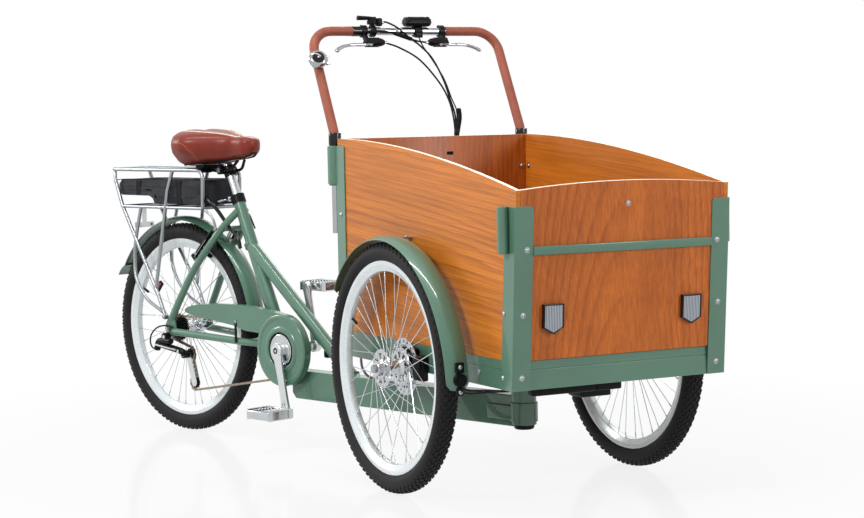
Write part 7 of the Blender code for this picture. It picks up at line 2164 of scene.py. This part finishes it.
def chain():
    """Roller chain: waisted side plates in turn inside and outside, with their rollers."""
    line = chain_line()
    total = sum(math.dist(a, b) for a, b in zip(line, line[1:]))
    links = 2 * round(total / LINK_PAIR)
    pitch = total / links
    outline = [(pitch * 0.5 + 0.0036 * math.cos(a), 0.0036 * math.sin(a))
               for a in (-1.2, -0.6, 0.0, 0.6, 1.2)]
    outline += [(0.0, 0.0026)] + [(-x, -z) for x, z in outline] + [(0.0, -0.0026)]
    shapes = []
    for k, (x, z, heading) in enumerate(evenly(line, links)):
        out = 0.0034 if k % 2 else 0.0025
        turn = shift(x, -CHAIN_LINE, z) @ Matrix.Rotation(-heading, 4, "Y")
        for side in (-1, 1):
            shapes.append(placed(plate(outline, side * out - 0.0004, side * out + 0.0004), turn))
        roller = rod((pitch * 0.5, -0.0037, 0), (pitch * 0.5, 0.0037, 0), 0.0022, 8)
        shapes.append(placed(marked(roller, 1), turn))
    return several(shapes)


def case_outline():
    """Outline of the chain case: round the crank and back over the chain."""
    x, z = CRANK_AXIS
    top = z + CASE_ARM_RISE
    tip = x - CASE_ARM_LENGTH
    upper = [(x - 0.023, top - 0.0125), (x - 0.060, top - 0.0085), (x - 0.098, top - 0.005),
             (x - 0.145, top - 0.0015), (x - 0.190, top), (tip + 0.150, top - 0.0025),
             (tip + 0.070, top - 0.008), (tip + 0.040, top - 0.0125), (tip + 0.016, top - 0.0185),
             (tip + 0.004, top - 0.0245), (tip + 0.001, top - 0.0300), (tip + 0.008, top - 0.0355)]
    lower = [(tip + 0.030, top - 0.040), (tip + 0.110, top - 0.049), (x - 0.200, top - 0.0605),
             (x - 0.151, top - 0.072)]
    return arc(CRANK_AXIS, CASE_RADIUS, -205, 75, 72) + upper + lower


def chain_guard():
    """Chain case: flat face with raised ring lips round the crank's opening, and its stay to the frame."""
    x, z = CRANK_AXIS
    top = z + CASE_ARM_RISE
    face = -CASE_OUTER_FACE
    outer = plate(case_outline(), face, face + CASE_DEPTH)
    wall = 0.0022
    tip = x - CASE_ARM_LENGTH
    pocket_top = [(x - 0.023, top - 0.0147), (x - 0.098, top - 0.0072), (x - 0.190, top - wall),
                  (tip + 0.070, top - 0.0102), (tip + 0.022, top - 0.0182), (tip + wall, top - 0.0295)]
    pocket = arc(CRANK_AXIS, CASE_RADIUS - wall, -112, 75, 56) + pocket_top
    pocket += [(tip - 0.05, z), (x - 2 * CASE_RADIUS, z - 1.5 * CASE_RADIUS),
               (x - 0.055, z - 1.5 * CASE_RADIUS)]
    inside = plate(pocket, face + wall, 0.01)
    hole = rod((x, -0.12, z), (x, 0.0, z), CASE_HOLE_RADIUS, 96)
    shell = carved(outer, [inside, hole])
    inner_lip = [(0, wall), (0, -0.0012), (0.0012, -0.0026), (0.0042, -0.0034), (0.0085, -0.0034),
                 (0.0125, -0.0024), (0.0155, -0.0009), (0.0170, 0.0005)]
    outer_lip = [(-0.0170, 0.0005), (-0.0150, -0.0008), (-0.0110, -0.0020), (-0.0060, -0.0020),
                 (-0.0022, -0.0008), (-0.0006, 0.0010)]
    lips = []
    for radius, steps in ((CASE_HOLE_RADIUS, inner_lip), (CASE_RADIUS, outer_lip)):
        lips.append(placed(turned([(radius + out, face + rise) for out, rise in steps], 120),
                           shift(x, 0, z)))
    stay_point = chain_stay(-1)[2].lerp(chain_stay(-1)[3], 0.12)
    high = Vector((stay_point.x, 0, top - 0.050))
    foot_y = stay_point.y - STAY_RADIUS - GAP
    stay = rod((high.x, face + wall / 2, high.z), (high.x, foot_y - 0.0015, high.z), 0.0045, 20)
    leg = block((high.x - 0.005, foot_y - 0.0025, stay_point.z - 0.004),
                (high.x + 0.005, foot_y, high.z + 0.005), 0.0008, 2)
    screw = bolt(shift(high.x, face, high.z) @ sideways(-1), 0.0045, 0.0030)
    return several([shell, *lips, marked(stay, 1), marked(leg, 1), marked(screw, 2)])


def toothed(radius, count, low_y, high_y, depth=0.0042):
    """Toothed wheel's plate about the Y axis."""
    outline = []
    for i in range(count):
        for step, reach in ((0.0, radius - depth), (0.18, radius - depth), (0.38, radius), (0.62, radius),
                            (0.82, radius - depth)):
            angle = 2 * math.pi * (i + step) / count
            outline.append((reach * math.cos(angle), reach * math.sin(angle)))
    return plate(outline, low_y, high_y)


def arm_frames(out, y):
    """Frames down a crank arm, which narrows towards the pedal."""
    across = Vector((0, 1, 0)).cross(out)
    frames = []
    for i in range(13):
        share = i / 12
        width = 0.88 + 0.34 * max(0.0, 1 - share / 0.42) ** 1.5 + 0.14 * max(0.0, share - 0.84) / 0.16
        thick = 1.0 - 0.12 * math.sin(math.pi * share)
        spot = out * CRANK_LENGTH * 0.97 * share + Vector((0, y, 0))
        frames.append(framed(across * width, Vector((0, 1, 0)) * thick, out, spot))
    return frames


def crank_arm(side):
    """One forged crank arm in the frame of the crank's axis: right arm down, left arm up."""
    out = CRANK_DOWN if side < 0 else -CRANK_DOWN
    y = side * CRANK_SPREAD
    end = out * CRANK_LENGTH
    soft = [(0.0150 * math.copysign(abs(math.cos(a)) ** 0.7, math.cos(a)),
             0.0066 * math.copysign(abs(math.sin(a)) ** 0.55, math.sin(a)))
            for a in [2 * math.pi * (i + 0.5) / 28 for i in range(28)]]
    arm = sweep(soft, arm_frames(out, y))
    eye = placed(turned([(0.0050, -0.0063), (0.0118, -0.0063), (0.0132, -0.0050), (0.0132, 0.0050),
                         (0.0118, 0.0063), (0.0050, 0.0063)], 36),
                 shift(end.x, y, end.z))
    return [arm, eye]


def crankset():
    """Right crank arm, dished disc and toothed chainring on the spindle."""
    ring = toothed(CHAINRING_RADIUS - 0.0032, CHAINRING_TEETH, -CHAIN_LINE - 0.0013, -CHAIN_LINE + 0.0013)
    face = -CASE_OUTER_FACE
    dish = turned([(0.0, -CHAIN_LINE), (0.0430, -CHAIN_LINE), (0.0440, face + 0.0010),
                   (0.0436, face - 0.0006), (0.0420, face - 0.0014), (0.0385, face - 0.0010),
                   (0.0360, face + 0.0006), (0.0300, face - 0.0004), (0.0200, face - 0.0012),
                   (0.0, face - 0.0014)], 72, closed=False)
    spindle = rod((0, -CRANK_SPREAD, 0), (0, CRANK_SPREAD - 0.008, 0), 0.0085, 24)
    boss = turned([(0.0, -CHAIN_LINE), (0.016, -CHAIN_LINE), (0.0205, -CRANK_SPREAD + 0.0050),
                   (0.0205, -CRANK_SPREAD - 0.0040), (0.0185, -CRANK_SPREAD - 0.0058),
                   (0.0100, -CRANK_SPREAD - 0.0062), (0.0, -CRANK_SPREAD - 0.0062)], 48, closed=False)
    step = [(0.0, 0.0060), (0.0092, 0.0060), (0.0085, 0.0070), (0.0040, 0.0070), (0.0032, 0.0060),
            (0.0, 0.0060)]
    cap = marked(turned([(radius, -CRANK_SPREAD - rise) for radius, rise in step], 28, closed=False), 1)
    return several([marked(ring, 1), marked(dish, 2), boss, spindle, cap] + crank_arm(-1))


def left_crank():
    """Left crank arm with its boss over the spindle's end."""
    boss = turned([(0.0092, CRANK_SPREAD - 0.012), (0.0165, CRANK_SPREAD - 0.012),
                   (0.0165, CRANK_SPREAD + 0.0060), (0.0150, CRANK_SPREAD + 0.0080),
                   (0.0, CRANK_SPREAD + 0.0080)], 40, closed=False)
    cap = marked(turned([(0.0, CRANK_SPREAD + 0.0076), (0.0085, CRANK_SPREAD + 0.0084),
                         (0.0, CRANK_SPREAD + 0.0088)], 28, closed=False), 1)
    return several([boss, cap] + crank_arm(1))


def pedal(side):
    """Cage pedal with toothed plates, treads and an amber reflector at each end, about its axis."""
    near = 0.013
    far = near + 0.092
    half = 0.046
    high = 0.015
    cage = []
    for end in (-1, 1):
        x = end * (half - 0.0015)
        teeth = []
        for i in range(9):
            y = near + 0.008 + 0.0095 * i
            teeth += [(y, high - 0.002), (y + 0.0030, high), (y + 0.0060, high - 0.002)]
        outline = [(near + 0.002, -high + 0.003), (near + 0.002, high - 0.003)] + teeth
        outline += [(far - 0.002, high - 0.003), (far - 0.002, -high + 0.003)]
        outline += [(y, -z) for y, z in reversed(teeth)]
        cage.append(sweep(outline, [shift(x + dx, 0, 0) @ CROSSWISE for dx in (-0.0013, 0.0013)]))
        lens_block = block((x - 0.004 if end < 0 else x - 0.001, near + 0.017, -0.0108),
                           (x + 0.001 if end < 0 else x + 0.004, far - 0.017, 0.0108), 0.0012)
        limit = half - 0.0002
        for vert in lens_block.verts:
            vert.co.x = max(-limit, min(limit, vert.co.x))
        cage.append(marked(lens_block, 2))
    for y in (near + 0.004, far - 0.004):
        cage.append(marked(block((-half + 0.001, y - 0.004, -high * 0.80),
                                 (half - 0.001, y + 0.004, high * 0.80), 0.003), 1))
    cage.append(marked(block((-0.0110, near + 0.002, -0.0105), (0.0110, far - 0.002, 0.0105), 0.005, 4), 1))
    for x in (-0.027, 0.027):
        cage.append(marked(block((x - 0.008, near + 0.008, -0.0090),
                                 (x + 0.008, far - 0.008, 0.0090), 0.003), 3))
        for i in range(7):
            y = near + 0.014 + 0.0105 * i
            cage.append(marked(block((x - 0.0075, y - 0.0025, -0.0125),
                                     (x + 0.0075, y + 0.0025, 0.0125), 0.001, 1), 1))
    cage.append(rod((0, -0.006, 0), (0, near + 0.006, 0), 0.0044, 20))
    return handed(side, several(cage))


def cassette():
    """Sprocket cluster: toothed wheels stepping out from the smallest, on a dark carrier."""
    line = CHAIN_LINE
    core = turned([(AXLE_BORE, -0.0640), (0.0135, -0.0640), (0.0140, -0.0630), (0.0140, -line - 0.006),
                   (0.0180, -line - 0.0050), (0.0200, -line), (0.0200, -line + 0.0120),
                   (0.0220, -line + 0.0140), (0.0220, -0.0288), (AXLE_BORE, -0.0288)], 48)
    shapes = [core]
    for radius, teeth, y in ((0.0235, 11, -line - 0.0054), (0.0300, 17, -line), (0.0358, 20, -line + 0.0059),
                             (0.0418, 24, -line + 0.0127)):
        shapes.append(marked(toothed(radius, teeth, y - 0.0009, y + 0.0009, 0.0036), 1))
    return several(shapes)


def jockey():
    """Toothed jockey wheel, drawn about its own axis."""
    radius = JOCKEY_RADIUS - 0.0042
    hub = turned(softened(0.0036, 0.0088, -0.0026, 0.0026, 0.0008), 32)
    ring = carved(toothed(radius, 11, -0.0014, 0.0014, 0.0026),
                  [rod((0, -0.01, 0), (0, 0.01, 0), 0.0084, 32)])
    return several([ring, hub])


def cage_outline(radius):
    """Outline round both jockey wheels' axes, waisted between them."""
    low = Vector(LOWER_JOCKEY)
    high = Vector(UPPER_JOCKEY)
    lean = math.degrees(math.atan2(high.y - low.y, high.x - low.x))
    return arc(high, radius, lean - 90, lean + 90, 14) + arc(low, radius, lean + 90, lean + 270, 14)


def derailleur():
    """Rear derailleur: knuckles and links under the dropout, cage round the jockeys and cable loop."""
    y = -CHAIN_LINE
    cage = [plate(cage_outline(0.0105), y - 0.0078, y - 0.0062),
            plate(cage_outline(0.0092), y + 0.0062, y + 0.0078)]
    for x, z in (UPPER_JOCKEY, LOWER_JOCKEY):
        cage.append(rod((x, y - 0.0092, z), (x, y + 0.0092, z), 0.0030, 16))
    hanger = Vector((-REAR_REACH - 0.004, -DROPOUT_SPREAD - 0.0033, WHEEL_RADIUS - 0.024))
    high_x, high_z = UPPER_JOCKEY
    shapes = [marked(bm, 1) for bm in cage]
    upper_link = [hanger + Vector((dx, -0.0125, dz)) for dx, dz in (
        (0.026, -0.012), (-0.006, -0.0125), (-0.030, -0.016), (-0.040, -0.040))]
    shapes.append(tube(flowing(upper_link, 5), 0.0100, 20, 0.9))
    lower_link = [hanger + Vector((-0.024, -0.0125, -0.024)), (high_x - 0.010, y - 0.026, high_z + 0.010),
                  (high_x, y - 0.020, high_z)]
    shapes.append(tube(flowing(lower_link, 5), 0.0108, 20, 0.85))
    link = [hanger + Vector((-0.030, -0.0235, -0.024)), Vector((high_x - 0.018, y - 0.0355, high_z + 0.014))]
    shapes.append(marked(tube(link, 0.0062, 16, 0.5), 1))
    for centre in (hanger + Vector((-0.034, 0, -0.028)), Vector((high_x - 0.012, 0, high_z + 0.010))):
        shapes.append(marked(rod((centre.x, y - 0.0375, centre.z), (centre.x, y - 0.0325, centre.z),
                                 0.0052, 20), 1))
    shapes.append(rod((high_x, y - 0.026, high_z), (high_x, y - 0.007, high_z), 0.011, 32))
    shapes.append(marked(rod((high_x, y - 0.0272, high_z), (high_x, y - 0.0255, high_z), 0.0062, 24), 1))
    shapes.append(rod(hanger, hanger + Vector((0, -0.018, 0)), 0.0115, 32))
    head = rod(hanger + Vector((0, -0.0175, 0)), hanger + Vector((0, -0.0192, 0)), 0.0058, 6)
    shapes.append(marked(head, 1))
    anchor = REAR_HUB + Vector((-0.004, -DROPOUT_SPREAD - 0.004, 0.004))
    loop = [anchor + Vector(step) for step in (
        (0.028, -0.004, 0.0), (-0.006, -0.008, 0.004), (-0.040, -0.010, -0.004), (-0.066, -0.011, -0.024),
        (-0.072, -0.012, -0.046), (-0.062, -0.0135, -0.062), (-0.046, -0.015, -0.066))]
    shapes.append(marked(cable(loop, 0.0023), 2))
    return several(shapes)


def rim_brake_arm(side):
    """Linear-pull brake arm with its spring, pad and bolt, drawn for the left about its pivot."""
    path = flowing([(0, 0, 0), (-0.001, -0.0015, 0.024), (-0.001, -0.003, 0.045), (-0.001, -0.007, 0.074),
                    (-0.001, -0.012, 0.103)], 4)
    arm = tube(path, 0.0076, 20, 0.75, tapered(path, 1.0, 0.78))
    boss = tube([(-0.009, 0, 0), (0.0085, 0, 0)], 0.0085, 28)
    screw = marked(tube([(-0.0110, 0, 0), (-0.0085, 0, 0)], 0.0056, 24), 1)
    hub = rim_brake_frame(1).inverted() @ REAR_HUB
    rise = hub.z + math.sqrt(PAD_RADIUS ** 2 - hub.x ** 2)
    tilt = Matrix.Rotation(math.atan2(-hub.x, rise - hub.z), 4, "Y")
    face = RIM_HALF_WIDTH + PAD_CLEARANCE - BRAKE_SPREAD
    pad = placed(block((-0.026, face, -0.0042), (0.026, face + 0.0072, 0.0042), 0.0015),
                 shift(0, 0, rise) @ tilt)
    holder = placed(block((-0.024, face + 0.0068, -0.0037), (0.024, face + 0.0110, 0.0037), 0.0018),
                    shift(0, 0, rise) @ tilt)
    post = tube([(0.0, face + 0.009, rise), (0.0, 0.003, rise)], 0.0042, 20)
    nut = marked(tube([(0.0, 0.0035, rise), (0.0, 0.0070, rise)], 0.0052, 6), 1)
    spring = tube(flowing([(0.0045, 0.0075, 0.004), (0.0050, 0.0070, 0.030), (0.0045, 0.0035, 0.060),
                           (0.0030, 0.0, 0.072)], 4), 0.0010, 8)
    return handed(side, several([arm, boss, screw, marked(pad, 2), holder, post, nut, marked(spring, 1)]))


def brake_noodle():
    """Curved cable guide between the two brake arms, with its rubber boot."""
    right = rim_brake_frame(-1) @ Vector((-0.001, 0.012, 0.1015))
    left = rim_brake_frame(1) @ Vector((-0.001, -0.012, 0.1015))
    middle = (right + left) / 2
    bend = [right + Vector((0, 0, 0.002)), right.lerp(left, 0.40) + Vector((0.001, 0, 0.002)),
            left + Vector((0, 0.006, 0.003)), left + Vector((0.004, 0.018, 0.010)),
            left + Vector((0.012, 0.020, 0.024)), left + Vector((0.026, 0.012, 0.034))]
    guide = tube(flowing(bend, 6), 0.0022, 12)
    boot_run = flowing([right.lerp(left, 0.18) + Vector((0, 0, 0.002)), middle + Vector((0.001, 0, 0.002)),
                        right.lerp(left, 0.78) + Vector((0, 0, 0.002))], 12)
    scales = [1.0 if i % 2 else 0.80 for i in range(len(boot_run))]
    boot = marked(tube(boot_run, 0.0040, 14, scales=scales), 1)
    stay = seat_stay(1)[1]
    run = marked(cable([left + Vector((0.026, 0.012, 0.034)),
                        left.lerp(stay, 0.5) + Vector((0.024, 0.012, 0.030)),
                        stay + Vector((0.020, 0.008, 0.020)),
                        Vector(seat_tube_point(0.640)) + Vector((0.004, 0.0185, 0)),
                        Vector(seat_tube_point(0.600)) + Vector((0.010, 0.0195, 0))], 0.0024), 1)
    return several([guide, boot, run])


def build_drive():
    """Crankset, pedals, chain and its case, sprockets, derailleur and rim brake."""
    body = "rear_frame_body"
    crank_x, crank_z = CRANK_AXIS
    centre = REAR @ shift(crank_x, 0, crank_z)
    piece("chain_case", chain_guard(),
          ["powder_coated_steel", "black_coated_metal", "zinc_plated_steel"], body, ["chain_guard"],
          REAR, edge=0.0008)
    piece("roller_chain", chain(), ["bronze_chain_steel", "dark_plated_steel"], body, ["chain"],
          REAR)
    piece("crank_and_chainring", crankset(), ["satin_alloy", "dark_plated_steel", "polished_alloy"],
          "crank_body", ["crankset"], centre)
    piece("left_crank_arm", left_crank(), ["satin_alloy", "dark_plated_steel"], "crank_body", ["left_crank"],
          centre)
    for side, word in ((-1, "right"), (1, "left")):
        spot = CRANK_DOWN * CRANK_LENGTH * -side
        piece(word + "_cage_pedal", pedal(side),
              ["satin_alloy", "polished_alloy", "amber_reflector", "moulded_black_plastic"],
              "pedal_" + word + "_body", ["pedal_" + word],
              centre @ shift(spot.x, side * CRANK_SPREAD, spot.z))
        piece(word + "_brake_arm", rim_brake_arm(side),
              ["black_coated_metal", "zinc_plated_steel", "moulded_black_plastic"],
              "rim_brake_" + word + "_body", ["rim_brake_arm_" + word],
              REAR @ rim_brake_frame(side))
    piece("brake_cable_guide", brake_noodle(), ["zinc_plated_steel", "black_cable_rubber"], body,
          place=REAR)
    piece("sprocket_cluster", cassette(), ["black_coated_metal", "dark_plated_steel"], "cassette_body",
          ["cassette"], REAR @ Matrix.Translation(REAR_HUB))
    for word, (x, z) in (("upper", UPPER_JOCKEY), ("lower", LOWER_JOCKEY)):
        piece(word + "_toothed_jockey", jockey(), ["moulded_black_plastic"], word + "_jockey_body",
              [word + "_jockey_wheel"], REAR @ shift(x, -CHAIN_LINE, z))
    piece("derailleur_and_cage", derailleur(),
          ["black_coated_metal", "satin_alloy", "black_cable_rubber"], body, ["rear_derailleur"],
          REAR)


# Operators and panel

class TRICYCLE_OT_finishes(bpy.types.Operator):
    """Mix the tricycle's finishes from its colours"""
    bl_idname = "tricycle.finishes"
    bl_label = "Finishes"

    def execute(self, context):
        mix_finishes(context.scene.tricycle_colours, context.scene.tricycle_sizes)
        return {"FINISHED"}


class TRICYCLE_OT_stage(bpy.types.Operator):
    """Set up the camera, lamps, world and pale floor"""
    bl_idname = "tricycle.stage"
    bl_label = "Stage"

    def execute(self, context):
        stage_camera()
        stage_floor()
        stage_light()
        return {"FINISHED"}


class TRICYCLE_OT_wheels(bpy.types.Operator):
    """Build the three wheels with tyres, rims, spokes and hubs"""
    bl_idname = "tricycle.wheels"
    bl_label = "Wheels"

    def execute(self, context):
        build_wheels(context.scene.tricycle_sizes)
        return {"FINISHED"}


class TRICYCLE_OT_box(bpy.types.Operator):
    """Build the cargo box with its rails, panels and posts"""
    bl_idname = "tricycle.box"
    bl_label = "Cargo box"

    def execute(self, context):
        build_box(context.scene.tricycle_sizes)
        return {"FINISHED"}


class TRICYCLE_OT_handlebar(bpy.types.Operator):
    """Build the handlebar with its wraps, controls and cables"""
    bl_idname = "tricycle.handlebar"
    bl_label = "Handlebar"

    def execute(self, context):
        build_handlebar()
        return {"FINISHED"}


class TRICYCLE_OT_running_gear(bpy.types.Operator):
    """Build the steering stem, axle blocks and front fenders"""
    bl_idname = "tricycle.running_gear"
    bl_label = "Running gear"

    def execute(self, context):
        build_running_gear()
        return {"FINISHED"}


class TRICYCLE_OT_rear(bpy.types.Operator):
    """Build the rear frame, fender, rack, battery cover and saddle"""
    bl_idname = "tricycle.rear"
    bl_label = "Rear frame and saddle"

    def execute(self, context):
        build_rear(context.scene.tricycle_sizes)
        return {"FINISHED"}


class TRICYCLE_OT_drive(bpy.types.Operator):
    """Build the cranks, chain, sprockets, derailleur and rim brake"""
    bl_idname = "tricycle.drive"
    bl_label = "Drive"

    def execute(self, context):
        build_drive()
        return {"FINISHED"}


class TRICYCLE_PT_panel(bpy.types.Panel):
    """Sizes, colours and building steps of the cargo tricycle"""
    bl_label = "Cargo tricycle"
    bl_idname = "TRICYCLE_PT_panel"
    bl_space_type = "VIEW_3D"
    bl_region_type = "UI"
    bl_category = "Tricycle"

    def draw(self, context):
        scene = context.scene
        for group in (scene.tricycle_colours, scene.tricycle_sizes):
            column = self.layout.column()
            for key in group.__annotations__:
                column.prop(group, key)
        for step in STEPS:
            self.layout.operator(step.bl_idname)


STEPS = (TRICYCLE_OT_finishes, TRICYCLE_OT_stage, TRICYCLE_OT_wheels, TRICYCLE_OT_box, TRICYCLE_OT_handlebar,
         TRICYCLE_OT_running_gear, TRICYCLE_OT_rear, TRICYCLE_OT_drive)
CLASSES = (TricycleColours, TricycleSizes) + STEPS + (TRICYCLE_PT_panel,)


def register():
    """Register the add-on's classes and its two property groups."""
    for item in CLASSES:
        bpy.utils.register_class(item)
    bpy.types.Scene.tricycle_colours = PointerProperty(type=TricycleColours)
    bpy.types.Scene.tricycle_sizes = PointerProperty(type=TricycleSizes)


def unregister():
    """Remove the add-on's property groups and classes."""
    del bpy.types.Scene.tricycle_sizes
    del bpy.types.Scene.tricycle_colours
    for item in reversed(CLASSES):
        bpy.utils.unregister_class(item)


def main():
    """Build everything in order."""
    register()
    bpy.ops.tricycle.finishes()
    bpy.ops.tricycle.stage()
    bpy.ops.tricycle.wheels()
    bpy.ops.tricycle.box()
    bpy.ops.tricycle.handlebar()
    bpy.ops.tricycle.running_gear()
    bpy.ops.tricycle.rear()
    bpy.ops.tricycle.drive()


if __name__ == "__main__":
    main()
